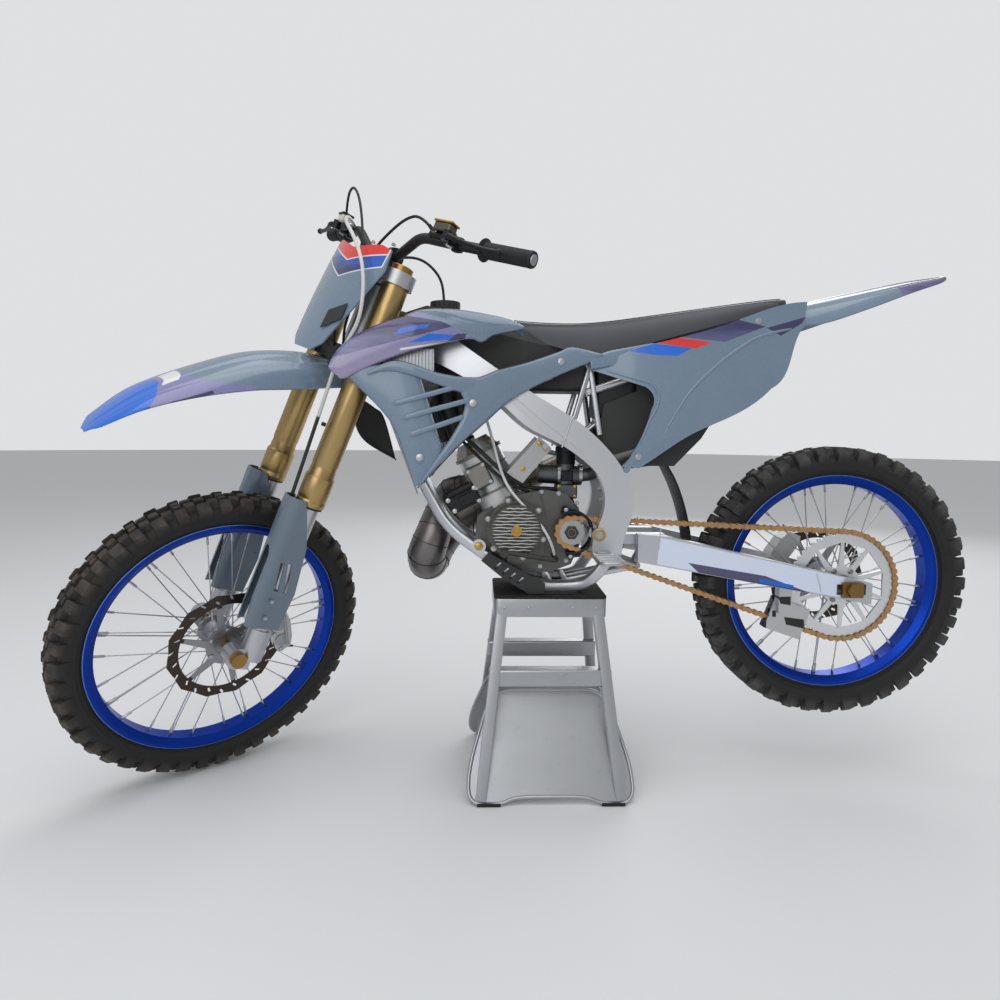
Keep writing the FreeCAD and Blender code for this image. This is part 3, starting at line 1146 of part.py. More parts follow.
def make_side_panels():
    panel = curved_panel(panel_runs_shares, panel_plan_shares, PANEL_BACK, PANEL_LOW_Z, PANEL_L, PANEL_H, PANEL_HALF_W)
    inside = curved_fill(panel_plan_shares, PANEL_BACK, PANEL_LOW_Z, PANEL_L, PANEL_H, PANEL_HALF_W)
    low_boss = rod(V(PANEL_BOSS_X, SUBFRAME_Y * 1.5, subframe_low_z(PANEL_BOSS_X)),
                   V(PANEL_BOSS_X, PANEL_HALF_W, subframe_low_z(PANEL_BOSS_X)), CLAMP_WALL)
    top_boss = rod(V(PANEL_TOP_BOSS_X, SUBFRAME_Y, subframe_top_z(PANEL_TOP_BOSS_X)),
                   V(PANEL_TOP_BOSS_X, PANEL_HALF_W, subframe_top_z(PANEL_TOP_BOSS_X)), CLAMP_WALL)
    panel = fuse([panel, low_boss.common(inside), top_boss.common(inside)])
    start = silencer_start()
    way = silencer_way()
    window = rod(start - way * (SILENCER_L / 2), start + way * (SILENCER_L * 1.5), SILENCER_R + MOVING_GAP)
    right = largest(mirrored(panel).cut(window).cut(nodes["subframe"]))
    pair = Part.makeCompound([largest(panel.cut(nodes["subframe"])), right])
    nodes["side_panels"] = pair.cut(nodes["frame_beams"])


TAIL_X = -910.0
TAIL_Z = 1187.0
TAIL_FRONT_X = -500.0
TAIL_HALF_W = 92.0
TAIL_DROP = 88.0
tail_shares = [(0.0, 0.0, 0.92, 0.45), (0.22, 0.26, 1.0, 0.62), (0.48, 0.54, 0.92, 0.50), (0.76, 0.82, 0.66, 0.30),
               (0.94, 0.95, 0.42, 0.16), (1.0, 1.0, 0.26, 0.10)]


def make_rear_fender():
    wires = []
    for along, rise, half, drop in tail_shares:
        x = TAIL_FRONT_X + (TAIL_X - TAIL_FRONT_X) * along
        crest = TAIL_Z - TAIL_DROP * (1 - rise)
        wires.append(arch(x, crest, TAIL_HALF_W * half, TAIL_HALF_W * drop, SHEET))
    skin = Part.makeLoft(wires, True, True)
    post_x = -PANEL_BACK
    bosses = []
    for side in (1, -1):
        foot = V(post_x, side * SUBFRAME_Y, subframe_top_z(post_x))
        bosses.append(rod(foot, foot + AXIS_Z * (SUBFRAME_R * 2.4), SUBFRAME_R * 0.8))
    nodes["rear_fender"] = largest(fuse([skin] + bosses).cut(nodes["subframe"]).cut(nodes["seat"]))


SEAT_FRONT_X = 112.0
SEAT_L = 640.0
SEAT_TOP_Z = 1068.0
SEAT_RISE = 56.0
SEAT_HALF_W = 74.0
SEAT_DEPTH = 76.0
seat_section_shares = [(0.0, 1.0), (0.45, 0.985), (0.72, 0.93), (0.90, 0.70), (1.0, 0.0)]
seat_shares = [(0.0, 0.02, 0.62, 0.25), (0.10, -0.09, 0.78, 0.55), (0.24, -0.12, 0.90, 0.85), (0.36, -0.02, 1.0, 1.0),
               (0.55, 0.28, 1.0, 0.80), (0.75, 0.62, 0.94, 0.58), (0.92, 0.90, 0.82, 0.38), (1.0, 1.0, 0.62, 0.22)]


def make_seat():
    wires = []
    for along, rise, half, depth in seat_shares:
        x = SEAT_FRONT_X - SEAT_L * along
        top = SEAT_TOP_Z + SEAT_RISE * rise
        low = top - SEAT_DEPTH * depth
        right = [V(x, SEAT_HALF_W * half * y, low + (top - low) * z) for y, z in seat_section_shares]
        ring = right + [V(x, -p.y, p.z) for p in reversed(right[1:])]
        wires.append(Part.makePolygon(ring + ring[:1]))
    nodes["seat"] = Part.makeLoft(wires, True, True)


TANK_L = 400.0
TANK_FRONT_X = 340.0
TANK_TOP_Z = 1096.0
TANK_H = 205.0
TANK_HALF_W = 74.0
tank_shares = [(0.0, 0.92, 0.42, 0.45), (0.14, 1.0, 0.62, 0.22), (0.40, 0.90, 0.95, 0.12), (0.70, 0.72, 1.0, 0.08),
               (0.90, 0.64, 0.72, 0.14), (1.0, 0.60, 0.55, 0.25)]
tank_section_shares = [(0.78, 0.0), (1.0, 0.18), (1.0, 0.82), (0.78, 1.0)]
CAP_R = 34.0
CAP_H = 22.0
CAP_SHARE = 0.24


def make_tank():
    wires = []
    for along, top_share, half, low_share in tank_shares:
        x = TANK_FRONT_X - TANK_L * along
        top = TANK_TOP_Z - TANK_H * (1 - top_share)
        low = TANK_TOP_Z - TANK_H * (1 - low_share)
        right = [V(x, TANK_HALF_W * half * y, low + (top - low) * z) for y, z in tank_section_shares]
        ring = right + [V(x, -p.y, p.z) for p in reversed(right)]
        wires.append(Part.makePolygon(ring + ring[:1]))
    body = Part.makeLoft(wires, True, True)
    cap_base = V(TANK_FRONT_X - TANK_L * CAP_SHARE, 0, TANK_TOP_Z - CAP_H * 1.4)
    cap = Part.makeCylinder(CAP_R, CAP_H * 2, cap_base)
    body = fuse([body, cap])
    for other in ("frame_beams", "seat", "cylinder", "cradle"):
        body = body.cut(nodes[other])
    nodes["fuel_tank"] = largest(body)


def largest(shape):
    """The biggest solid of what a cut leaves."""
    return max(shape.Solids, key=lambda solid: solid.Volume)


AIRBOX_L = 215.0
AIRBOX_H = 210.0
AIRBOX_BACK = 190.0
AIRBOX_LOW_Z = 742.0
AIRBOX_HALF_W = 62.0
MUDFLAP_W = 90.0
MUDFLAP_T = 4.0
airbox_shares = [(1.0, 0.18), (1.0, 0.95), (0.10, 1.0), (0.0, 0.80), (0.30, 0.30), (0.58, 0.0), (0.88, 0.0)]
airbox_wing_shares = [(0.0, 0.80), (-0.34, 0.66), (-0.42, 0.20), (-0.24, -0.06), (0.16, 0.0), (0.3, 0.3), (0.1, 1.0)]
mudflap_shares = [(0.42, 0.0), (0.34, -0.36), (0.30, -0.62), (0.36, -0.64), (0.44, -0.36), (0.52, 0.0)]


def make_airbox():
    points = scaled(airbox_shares, -AIRBOX_BACK - AIRBOX_L, AIRBOX_LOW_Z, AIRBOX_L, AIRBOX_H)
    body = prism([V(x, -AIRBOX_HALF_W, z) for x, z in points], V(0, AIRBOX_HALF_W * 2, 0))
    flap_points = scaled(mudflap_shares, -AIRBOX_BACK - AIRBOX_L, AIRBOX_LOW_Z, AIRBOX_L, AIRBOX_H)
    flap = prism([V(x, -MUDFLAP_W / 2, z) for x, z in flap_points], V(0, MUDFLAP_W, 0))
    wings = []
    for x, z in airbox_wing_shares:
        wings.append(V(-AIRBOX_BACK - AIRBOX_L * x, AIRBOX_HALF_W - MUDFLAP_T, AIRBOX_LOW_Z + AIRBOX_H * z))
    wing = prism(wings, V(0, MUDFLAP_T, 0))
    shape = fuse([body, flap, wing, mirrored(wing)])
    for other in ("subframe", "seat", "carburettor", "frame_beams", "exhaust_pipe"):
        shape = shape.cut(nodes[other])
    nodes["airbox"] = largest(shape)


# Rear suspension

SHOCK_R = 25.0
SHOCK_TOP_X = -118.0
SHOCK_TOP_Z = 846.0
SHOCK_LOW_X = -168.0
SHOCK_LOW_Z = 520.0
LINK_R = 11.0
LINK_ANCHOR_X = -42.0
COILS = 7
COIL_R = 6.0


def make_shock():
    """A shock with its coils as rings, a rocker, pull arms to the cradle and a link to the swingarm."""
    top = V(SHOCK_TOP_X, 0, SHOCK_TOP_Z)
    low = V(SHOCK_LOW_X, 0, SHOCK_LOW_Z)
    down = low - top
    down.normalize()
    spring_top = SHOCK_R * 3.4
    spring_low = (low - top).Length - SHOCK_R * 1.6
    steps = [(0, SHOCK_R * 0.9), (spring_top, SHOCK_R * 0.9)]
    pitch = (spring_low - spring_top) / COILS
    for index in range(COILS):
        start = spring_top + pitch * index
        steps += [(start, SHOCK_R - COIL_R), (start + pitch * 0.18, SHOCK_R), (start + pitch * 0.62, SHOCK_R),
                  (start + pitch * 0.80, SHOCK_R - COIL_R)]
    steps += [(spring_low, SHOCK_R - COIL_R), (spring_low, LINK_R), (spring_low + SHOCK_R * 1.6, LINK_R)]
    outline = [V(0, 0, 0)] + [V(radius, 0, along) for along, radius in steps] + [V(0, 0, steps[-1][0])]
    body = Part.Face(Part.makePolygon(outline + outline[:1])).revolve(V(0, 0, 0), AXIS_Z, 360)
    body.Placement = FreeCAD.Placement(top, FreeCAD.Rotation(AXIS_Z, down))
    eye = rod(V(top.x, -SHOCK_R, top.z), V(top.x, SHOCK_R, top.z), LINK_R)
    reservoir_top = top + V(-SHOCK_R * 0.6, -SHOCK_R * 1.5, -SHOCK_R * 0.5)
    reservoir = rod(reservoir_top, reservoir_top + down * (SHOCK_R * 3), SHOCK_R * 0.7)
    nodes["shock"] = fuse([body, eye, reservoir]).cut(nodes["frame_beams"])
    nodes["carburettor"] = largest(nodes["carburettor"].cut(nodes["shock"]))
    rocker = V(low.x - SHOCK_R * 1.6, 0, low.z - SHOCK_R * 0.6)
    anchor = V(LINK_ANCHOR_X, 0, CRADLE_LOW_Z + CRADLE_R / 2)
    arms = [rod(anchor - AXIS_Y * CRADLE_Y, anchor + AXIS_Y * CRADLE_Y, LINK_R * 0.7)]
    for side in (1, -1):
        ear = V(0, side * SHOCK_R * 0.9, 0)
        arms.append(rod(anchor + ear, rocker + ear, LINK_R * 0.8))
        arms.append(rod(rocker + ear, low + ear, LINK_R * 0.8))
    for point in (rocker, low):
        arms.append(rod(point - AXIS_Y * SHOCK_R, point + AXIS_Y * SHOCK_R, LINK_R))
    arms.append(rod(rocker, V(rocker.x - SHOCK_R, 0, PIVOT_Z - SHOCK_R * 1.4), LINK_R))
    shape = fuse(arms).cut(nodes["shock"]).cut(nodes["cradle"])
    nodes["linkage"] = largest(shape.cut(nodes["swingarm"]))


ARM_FRONT_X = -192.0
ARM_OUT_Y = 112.0
ARM_T = 26.0
ARM_FRONT_H = 62.0
ARM_REAR_H = 48.0
BRIDGE_X = -262.0
BRIDGE_L = 58.0


def make_swingarm():
    drop = (PIVOT_Z - REAR_AXLE_Z) / (REAR_AXLE_BACK - PIVOT_BACK)
    front_z = PIVOT_Z - (-PIVOT_BACK - ARM_FRONT_X) * drop - ARM_FRONT_H * 0.18
    rear_x = -REAR_AXLE_BACK - ARM_REAR_H
    rear_z = REAR_AXLE_Z - ARM_REAR_H * drop
    inner_y = ARM_OUT_Y - ARM_T
    corners = [V(ARM_FRONT_X, inner_y, front_z - ARM_FRONT_H / 2), V(ARM_FRONT_X, inner_y, front_z + ARM_FRONT_H / 2),
               V(BRIDGE_X, inner_y, front_z + ARM_FRONT_H * 0.42),
               V(rear_x, inner_y, rear_z + ARM_REAR_H / 2), V(rear_x, inner_y, rear_z - ARM_REAR_H / 2)]
    arm = Part.Face(Part.makePolygon(corners + corners[:1])).extrude(V(0, ARM_T, 0))
    bridge = block(BRIDGE_X - BRIDGE_L / 2, BRIDGE_X + BRIDGE_L / 2, -inner_y - OVERRUN, inner_y + OVERRUN,
                   front_z - ARM_FRONT_H * 0.52, front_z + ARM_FRONT_H * 0.16)
    reach = block(BRIDGE_X, -PIVOT_BACK, CRADLE_Y * 0.62, CRADLE_Y * 1.14, PIVOT_Z - ARM_FRONT_H * 0.42,
                  PIVOT_Z - ARM_FRONT_H * 0.05)
    boss = rod(V(PIVOT.x, CRADLE_Y * 0.62, PIVOT_Z), V(PIVOT.x, CRADLE_Y * 1.14, PIVOT_Z), ARM_FRONT_H * 0.28)
    half = fuse([arm, reach, boss])
    shape = fuse([half, mirrored(half), bridge])
    shape = shape.cut(rod(V(PIVOT.x, -ARM_OUT_Y * 1.2, PIVOT_Z), V(PIVOT.x, ARM_OUT_Y * 1.2, PIVOT_Z), PIVOT_BOLT_R + SEAT_GAP))
    slot = block(-REAR_AXLE_BACK - ARM_REAR_H * 0.7, -REAR_AXLE_BACK + ARM_REAR_H * 0.7, -ARM_OUT_Y * 1.2,
                 ARM_OUT_Y * 1.2, REAR_AXLE_Z - REAR_AXLE_R, REAR_AXLE_Z + REAR_AXLE_R)
    nodes["swingarm"] = shape.cut(slot)
    bolt = rod(V(PIVOT.x, -BEAM_HALF_W - PIVOT_BOLT_R, PIVOT_Z), V(PIVOT.x, BEAM_HALF_W + PIVOT_BOLT_R, PIVOT_Z), PIVOT_BOLT_R)
    heads = [rod(V(PIVOT.x, side * BEAM_HALF_W, PIVOT_Z), V(PIVOT.x, side * (BEAM_HALF_W + PIVOT_BOLT_R), PIVOT_Z), PIVOT_BOLT_R * 1.7)
             for side in (1, -1)]
    nodes["pivot_bolt"] = fuse([bolt] + heads)


def make_rear_axle():
    half = ARM_OUT_Y + AXLE_NUT_T
    pieces = [rod(REAR_AXLE + V(0, -half, 0), REAR_AXLE + V(0, half, 0), REAR_AXLE_R)]
    for side in (1, -1):
        y0, y1 = sorted((side * (ARM_OUT_Y + SEAT_GAP), side * (ARM_OUT_Y + AXLE_NUT_T)))
        pieces.append(block(REAR_AXLE.x - ARM_REAR_H * 0.5, REAR_AXLE.x + ARM_REAR_H * 0.5, y0, y1,
                            REAR_AXLE_Z - ARM_REAR_H * 0.36, REAR_AXLE_Z + ARM_REAR_H * 0.36))
        start = REAR_AXLE + V(0, side * half, 0)
        pieces.append(hex_nut(start, V(0, side * AXLE_NUT_T, 0), AXLE_NUT_R))
    nodes["rear_axle"] = fuse(pieces)


def hex_nut(centre, push, radius):
    corners = []
    for index in range(6):
        angle = math.pi * index / 3
        corners.append(centre + V(radius * math.cos(angle), 0, radius * math.sin(angle)))
    return prism(corners, push)


# Chain

def chain_way():
    """The pitch line round both sprockets: two straights and two arcs, with the loop's length."""
    front = V(-FRONT_SPROCKET_BACK, 0, FRONT_SPROCKET_Z)
    gap = front - REAR_AXLE
    heading = math.atan2(gap.z, gap.x)
    rear_r = pitch_radius(REAR_TEETH)
    front_r = pitch_radius(FRONT_TEETH)
    spread = math.acos((rear_r - front_r) / gap.Length)
    straight = gap.Length * math.sin(spread)
    front_arc = front_r * 2 * spread
    rear_arc = rear_r * 2 * (math.pi - spread)
    return front, heading, spread, straight, front_arc, rear_arc, front_r, rear_r


def chain_point(travel, offset):
    """The point this far along the pitch line from the rear sprocket's top, and this far outside it."""
    front, heading, spread, straight, front_arc, rear_arc, front_r, rear_r = chain_way()
    if travel < straight:
        angle = heading + spread
        radius = rear_r + offset
        along = V(math.sin(angle), 0, -math.cos(angle)) * travel
        return REAR_AXLE + V(math.cos(angle), 0, math.sin(angle)) * radius + along
    travel -= straight
    if travel < front_arc:
        angle = heading + spread - travel / front_r
        return front + V(math.cos(angle), 0, math.sin(angle)) * (front_r + offset)
    travel -= front_arc
    if travel < straight:
        angle = heading - spread
        along = V(math.sin(angle), 0, -math.cos(angle)) * travel
        return front + V(math.cos(angle), 0, math.sin(angle)) * (front_r + offset) + along
    travel -= straight
    angle = heading - spread - travel / rear_r
    return REAR_AXLE + V(math.cos(angle), 0, math.sin(angle)) * (rear_r + offset)


def make_chain():
    """A loop of links, its outer edge pinched between the pins, with grooves for the teeth."""
    front, heading, spread, straight, front_arc, rear_arc, front_r, rear_r = chain_way()
    length = straight * 2 + front_arc + rear_arc
    links = round(length / PITCH)
    shift = AXIS_Y * (CHAIN_Y - CHAIN_W / 2)
    outer = []
    inner = []
    for index in range(links):
        outer.append(chain_point(length * index / links, CHAIN_H / 2) + shift)
        outer.append(chain_point(length * (index + 0.5) / links, CHAIN_H * LINK_WAIST_SHARE) + shift)
        inner.append(chain_point(length * index / links, -CHAIN_H / 2) + shift)
    band = prism(outer, V(0, CHAIN_W, 0)).cut(prism([p - AXIS_Y * OVERRUN for p in inner],
                                                    V(0, CHAIN_W + OVERRUN * 2, 0)))
    for centre, teeth in ((REAR_AXLE, REAR_TEETH), (front, FRONT_TEETH)):
        sides = teeth // 2 + GROOVE_EXTRA_SIDES
        radius = (pitch_radius(teeth) + OVERRUN / 2) / math.cos(math.pi / sides)
        ring = []
        for index in range(sides):
            angle = 2 * math.pi * index / sides
            ring.append(centre + V(radius * math.cos(angle), CHAIN_Y - SPROCKET_T * 0.9, radius * math.sin(angle)))
        band = band.cut(prism(ring, V(0, SPROCKET_T * 1.8, 0)))
    nodes["chain"] = band
    small = sprocket(FRONT_TEETH, PIVOT_BOLT_R - OVERRUN, CHAIN_Y)
    half_t = V(0, SPROCKET_T * 0.9 - SEAT_GAP, 0)
    middle = V(0, CHAIN_Y, 0)
    small = fuse([small, rod(middle - half_t, middle + half_t, pitch_radius(FRONT_TEETH) - CHAIN_H * 0.3)])
    shaft = rod(V(0, CASE_HALF_W, 0), V(0, CHAIN_Y + SPROCKET_T * 2, 0), PIVOT_BOLT_R)
    small = fuse([small, shaft])
    small.translate(front)
    nodes["front_sprocket"] = small.cut(nodes["engine_cases"])


GUIDE_L = 88.0
GUIDE_H = 50.0


def make_chain_guide():
    shape = block(-GUIDE_L / 2, GUIDE_L / 2, CHAIN_Y - CHAIN_W * 0.85, CHAIN_Y + CHAIN_W * 0.85, -GUIDE_H / 2, GUIDE_H)
    inner = block(-GUIDE_L, GUIDE_L, CHAIN_Y - CHAIN_W * 0.6, CHAIN_Y + CHAIN_W * 0.6, -CHAIN_H / 2 - SHEET, GUIDE_H * 1.2)
    shape = shape.cut(inner)
    front, heading, spread, straight, front_arc, rear_arc, front_r, rear_r = chain_way()
    shape.rotate(V(0, 0, 0), AXIS_Y, math.degrees(spread - heading) - 90)
    middle = chain_point(straight + front_arc + straight - GUIDE_L * 1.1, 0)
    shape.translate(middle)
    hanger = block(middle.x - SHEET, middle.x + GUIDE_L * 0.3, CHAIN_Y + CHAIN_W * 0.6, ARM_OUT_Y - ARM_T / 2,
                   middle.z + GUIDE_H * 0.6, middle.z + GUIDE_H * 2.1)
    nodes["chain_guide"] = largest(fuse([shape, hanger]).cut(nodes["swingarm"]))


# Controls, brakes and guards on the chassis

PEG_X = -112.0
PEG_Z = 548.0
PEG_OUT_Y = 232.0
PEG_IN_Y = 118.0
PEG_TEETH = 5


def make_foot_controls():
    reach = CRADLE_R * 2.1
    peg = block(PEG_X - reach, PEG_X + reach, PEG_IN_Y + CRADLE_R, PEG_OUT_Y, PEG_Z - CRADLE_R / 2, PEG_Z + CRADLE_R / 2)
    teeth = []
    for index in range(PEG_TEETH):
        y = PEG_IN_Y + CRADLE_R * 2 + (PEG_OUT_Y - PEG_IN_Y - CRADLE_R * 2) * (index + 0.5) / PEG_TEETH
        teeth.append(block(PEG_X - reach * 0.6, PEG_X + reach * 0.6, y - SHEET, y + SHEET, PEG_Z - CRADLE_R, PEG_Z + CRADLE_R))
    peg = peg.cut(Part.makeCompound(teeth))
    hinge = block(PEG_X - CRADLE_R * 1.2, PEG_X + CRADLE_R * 1.2, BEAM_HALF_W * 0.97, PEG_IN_Y + CRADLE_R,
                  PEG_Z - CRADLE_R * 1.6, PEG_Z + CRADLE_R * 0.6)
    nodes["footpegs"] = both_sides(fuse([peg, hinge])).cut(nodes["frame_beams"]).cut(nodes["cradle"])
    toe_y = CASE_HALF_W + COVER_T + IGNITION_OUT + CRADLE_R
    shaft = V(-FRONT_SPROCKET_BACK * 0.2, CASE_HALF_W, CRANK_Z - IGNITION_R * 1.1)
    toe = V(CRANK_X * 1.35, toe_y, CRANK_Z - IGNITION_R * 0.75)
    shift = bent_tube([shaft, V(shaft.x, toe_y, shaft.z), toe + V(0, CRADLE_R, 0)], CRADLE_R * 0.45, CRADLE_R)
    tip = rod(toe, toe + V(0, CRADLE_R * 3, 0), CRADLE_R * 0.7)
    nodes["gear_lever"] = fuse([shift, tip]).cut(nodes["engine_cases"])
    pedal_y = -BEAM_HALF_W - CRADLE_R * 2.5
    pedal = bent_tube([V(PEG_X, -CRADLE_Y * 1.4, PEG_Z - CRADLE_R * 3), V(PEG_X * 0.7, pedal_y, PEG_Z - CRADLE_R * 4),
                       V(CRANK_X * 0.9, pedal_y, PEG_Z - CRADLE_R * 3.4)], CRADLE_R * 0.55, CRADLE_R)
    pad = block(CRANK_X * 0.9 - CRADLE_R, CRANK_X * 0.9 + CRADLE_R, pedal_y - CRADLE_R, pedal_y + CRADLE_R,
                PEG_Z - CRADLE_R * 3.4 - SHEET, PEG_Z - CRADLE_R * 2.8)
    nodes["brake_pedal"] = largest(fuse([pedal, pad]).cut(nodes["frame_beams"]).cut(nodes["cradle"]))


def make_rear_calliper():
    outer_y = SEAT_GAP + ARM_T - ARM_OUT_Y
    shape = calliper(REAR_DISC_R, -REAR_DISC_Y, outer_y, CALLIPER_IN_T - REAR_DISC_Y, REAR_CALLIPER_TURN)
    shape.translate(REAR_AXLE)
    nodes["rear_calliper"] = shape


cheek_shares = [(0.538, 1.131), (0.483, 1.170), (0.154, 1.058), (0.04, 1.02), (0.04, 0.968), (0.168, 0.968), (0.36, 1.04)]
cheek_slot_shares = [(0.410, 1.107), (0.349, 1.080), (0.295, 1.056), (0.233, 1.034)]


def make_skid_plate():
    low = CRADLE_LOW_Z - CRADLE_R
    rise = (CRADLE_LOW_Z * 0.12) / (SPLIT_X * 0.29)
    run = CRADLE_R * 7.5
    knee = SPLIT_X * 0.13 + SHEET
    points = [(knee + run, low + run * rise), (knee, low), (-PIVOT_BACK * 0.6, low)]
    plate = [V(x, -CRADLE_Y - CRADLE_R, z - SEAT_GAP) for x, z in points]
    under = [V(x + SHEET * 0.4, -CRADLE_Y - CRADLE_R, z - SHEET) for x, z in reversed(points)]
    face = Part.Face(Part.makePolygon(plate + under + plate[:1]))
    sole = face.extrude(V(0, (CRADLE_Y + CRADLE_R) * 2, 0))
    cheek_y = CRADLE_Y + CRADLE_R - SHEET
    corners = [V(SPLIT_X * x, cheek_y, CRADLE_LOW_Z * z) for x, z in cheek_shares]
    cheek = prism(corners, V(0, SHEET * 2 + SEAT_GAP, 0))
    long = CRADLE_R * 0.7
    for x, z in cheek_slot_shares:
        middle = V(SPLIT_X * x, cheek_y - OVERRUN, CRADLE_LOW_Z * z)
        slot = [middle + V(-long, 0, long * 0.6), middle + V(-long * 0.6, 0, long), middle + V(long, 0, -long * 0.6),
                middle + V(long * 0.6, 0, -long)]
        cheek = cheek.cut(prism(slot, V(0, SHEET * 4, 0)))
    nodes["skid_plate"] = fuse([sole, cheek, mirrored(cheek)]).cut(nodes["cradle"])


# Hoses and cables, held all along their routes

BRAKE_HOSE_R = 3.5
CABLE_R = 3.0
ENGINE_HOSE_R = 4.5
brake_hose_route = [(34, -150, 1006), (70, -120, 1020), (112, -70, 1006), (124, -12, 962), (126, 8, 890), (130, 18, 810),
                    (134, 34, 748), (130, 54, 700), (120, 74, 664), (84, 98, 622), (64, 102, 570), (62, 103, 460), (62, 103, 330),
                    (62, 103, 210), (62, 101, 130), (56, 80, 78), (30, 66, 76), (0, 66, 84), (-26, 66, 84)]
throttle_cable_route = [(24, -224, 1030), (44, -214, 1070), (62, -170, 1088), (66, -116, 1062), (62, -70, 1010),
                        (60, -26, 950), (58, -22, 880), (58, -22, 800), (52, -22, 748), (34, -22, 712)]
clutch_cable_route = [(34, 176, 1010), (56, 150, 1030), (60, 104, 1020), (62, 60, 980), (60, 24, 940), (58, 22, 860),
                      (58, 22, 790), (52, 22, 748), (34, 22, 712)]
clutch_hose_route = [(150, 50, 850), (134, 62, 800), (118, 76, 735), (98, 92, 690), (62, 98, 650), (26, 104, 612),
                     (0, 100, 570), (-8, 84, 540)]
coolant_hose_route = [(196, 6, 828), (214, 22, 858), (250, 44, 886), (296, 64, 902)]
breather_route = [(247, 0, 1100), (247, 0, 1146), (262, 0, 1166), (288, 4, 1170)]


def hose(route, radius):
    points = [V(x, y, z) for x, y, z in route]
    runs = [(b - a).Length for a, b in zip(points, points[1:])]
    return bent_tube(points, radius, max(runs))


def make_hoses():
    clear = {}
    for name, parts in (("front_brake_hose", [hose(brake_hose_route, BRAKE_HOSE_R)]),
                        ("control_cables", [hose(throttle_cable_route, CABLE_R), hose(clutch_cable_route, CABLE_R)])):
        kept = []
        for tube in parts:
            tube = steered(tube)
            for other in ("clutch_control", "throttle_control", "handlebar", "front_calliper", "upper_clamp", "lower_clamp",
                          "fork_guards"):
                tube = tube.cut(nodes[other])
            kept.append(largest(tube))
        clear[name] = Part.makeCompound(kept)
    kept = []
    for route, radius in ((clutch_hose_route, ENGINE_HOSE_R), (coolant_hose_route, HOSE_R), (breather_route, CABLE_R)):
        tube = hose(route, radius)
        for other in ("engine_cases", "cylinder", "radiators", "fuel_tank", "frame_beams", "cradle"):
            tube = tube.cut(nodes[other])
        kept.append(largest(tube))
    clear["engine_hoses"] = Part.makeCompound(kept)
    nodes.update(clear)


# Paddock stand

def make_stand():
    half_l = STAND_L / 2
    half_w = STAND_W / 2
    wall = STAND_WALL
    top = block(-half_l, half_l, -half_w, half_w, STAND_TOP_Z - STAND_LIP, STAND_TOP_Z)
    hollow = block(-half_l + wall, half_l - wall, -half_w + wall, half_w - wall, STAND_TOP_Z - STAND_LIP - OVERRUN,
                   STAND_TOP_Z - wall)
    pieces = [top.cut(hollow)]
    base_top = STAND_TOP_Z / 2
    for sx in (1, -1):
        for sy in (1, -1):
            head = V(sx * (half_l - wall * 5), sy * (half_w - wall * 4), STAND_TOP_Z - STAND_LIP / 2)
            foot = V(sx * STAND_BASE_L * 0.42, sy * (STAND_BASE_W * 0.5 - wall * 4), FOOT_H)
            pieces.append(square_bar(head, foot, wall * 6))
            x0, x1 = sorted((sx * STAND_BASE_L * 0.30, sx * STAND_BASE_L * 0.44))
            y0, y1 = sorted((sy * (STAND_BASE_W / 2 - wall * 7), sy * STAND_BASE_W / 2))
            pieces.append(block(x0, x1, y0, y1, 0, FOOT_H))
    for sy in (1, -1):
        pieces.append(stand_panel(sy, base_top))
        y0, y1 = sorted((sy * half_w * 0.92, sy * half_w * 1.26))
        step = block(-half_l * 1.08, half_l * 1.08, y0, y1, base_top + wall * 6, base_top + wall * 16)
        inside = block(-half_l * 1.08 + wall, half_l * 1.08 - wall, y0 + wall, y1 - wall, base_top + wall * 7,
                       base_top + wall * 15)
        pieces.append(step.cut(inside))
    nodes["stand"] = fuse(pieces)
    nodes["stand_mat"] = block(-half_l, half_l, -half_w, half_w, STAND_TOP_Z, STAND_TOP_Z + MAT_T)


panel_foot_shares = [(-0.36, 1.0), (-0.50, 0.30), (-0.50, 0.12), (-0.46, 0.0), (-0.30, 0.0), (-0.22, 0.06), (0.22, 0.06),
                     (0.30, 0.0), (0.46, 0.0), (0.50, 0.12), (0.50, 0.30), (0.36, 1.0)]


def stand_panel(side, height):
    top_y = STAND_W * 0.36
    foot_y = STAND_BASE_W * 0.5
    corners = []
    for across, up in panel_foot_shares:
        y = side * (foot_y + (top_y - foot_y) * up)
        corners.append(V(STAND_BASE_L * across, y, height * up))
    face = Part.Face(Part.makePolygon(corners + corners[:1]))
    return face.extrude(V(0, -side * STAND_WALL, 0))


def build():
    make_wheels()
    make_fork()
    make_clamps()
    make_bars()
    make_controls()
    make_number_plate()
    make_front_fender()
    make_guards()
    make_front_axle()
    make_front_calliper()
    make_frame()
    make_engine()
    make_head_stays()
    make_cradle()
    make_subframe()
    make_carburettor()
    make_exhaust()
    make_radiators()
    make_shrouds()
    make_side_panels()
    make_seat()
    make_rear_fender()
    make_tank()
    make_airbox()
    make_swingarm()
    make_shock()
    make_rear_axle()
    make_chain()
    make_chain_guide()
    make_foot_controls()
    make_rear_calliper()
    make_skid_plate()
    make_hoses()
    make_stand()


build()
os.makedirs("parts", exist_ok=True)
for node, shape in nodes.items():
    shape.exportStep("parts/" + node + ".step")
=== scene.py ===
"""A motocross bike on a paddock stand: the looks that go over its solid model.

All lengths are metres. The row's frame has +X forward, +Y to the rider's left and +Z up.
Pieces on the steering are worked out in the fork's own frame, (forward, left, up the axis),
with its zero at the front axle's height, and pieces on a wheel in (x, along the axle, z)
round the wheel's middle.
"""

import math

import bpy
import numpy as np
from mathutils import Matrix


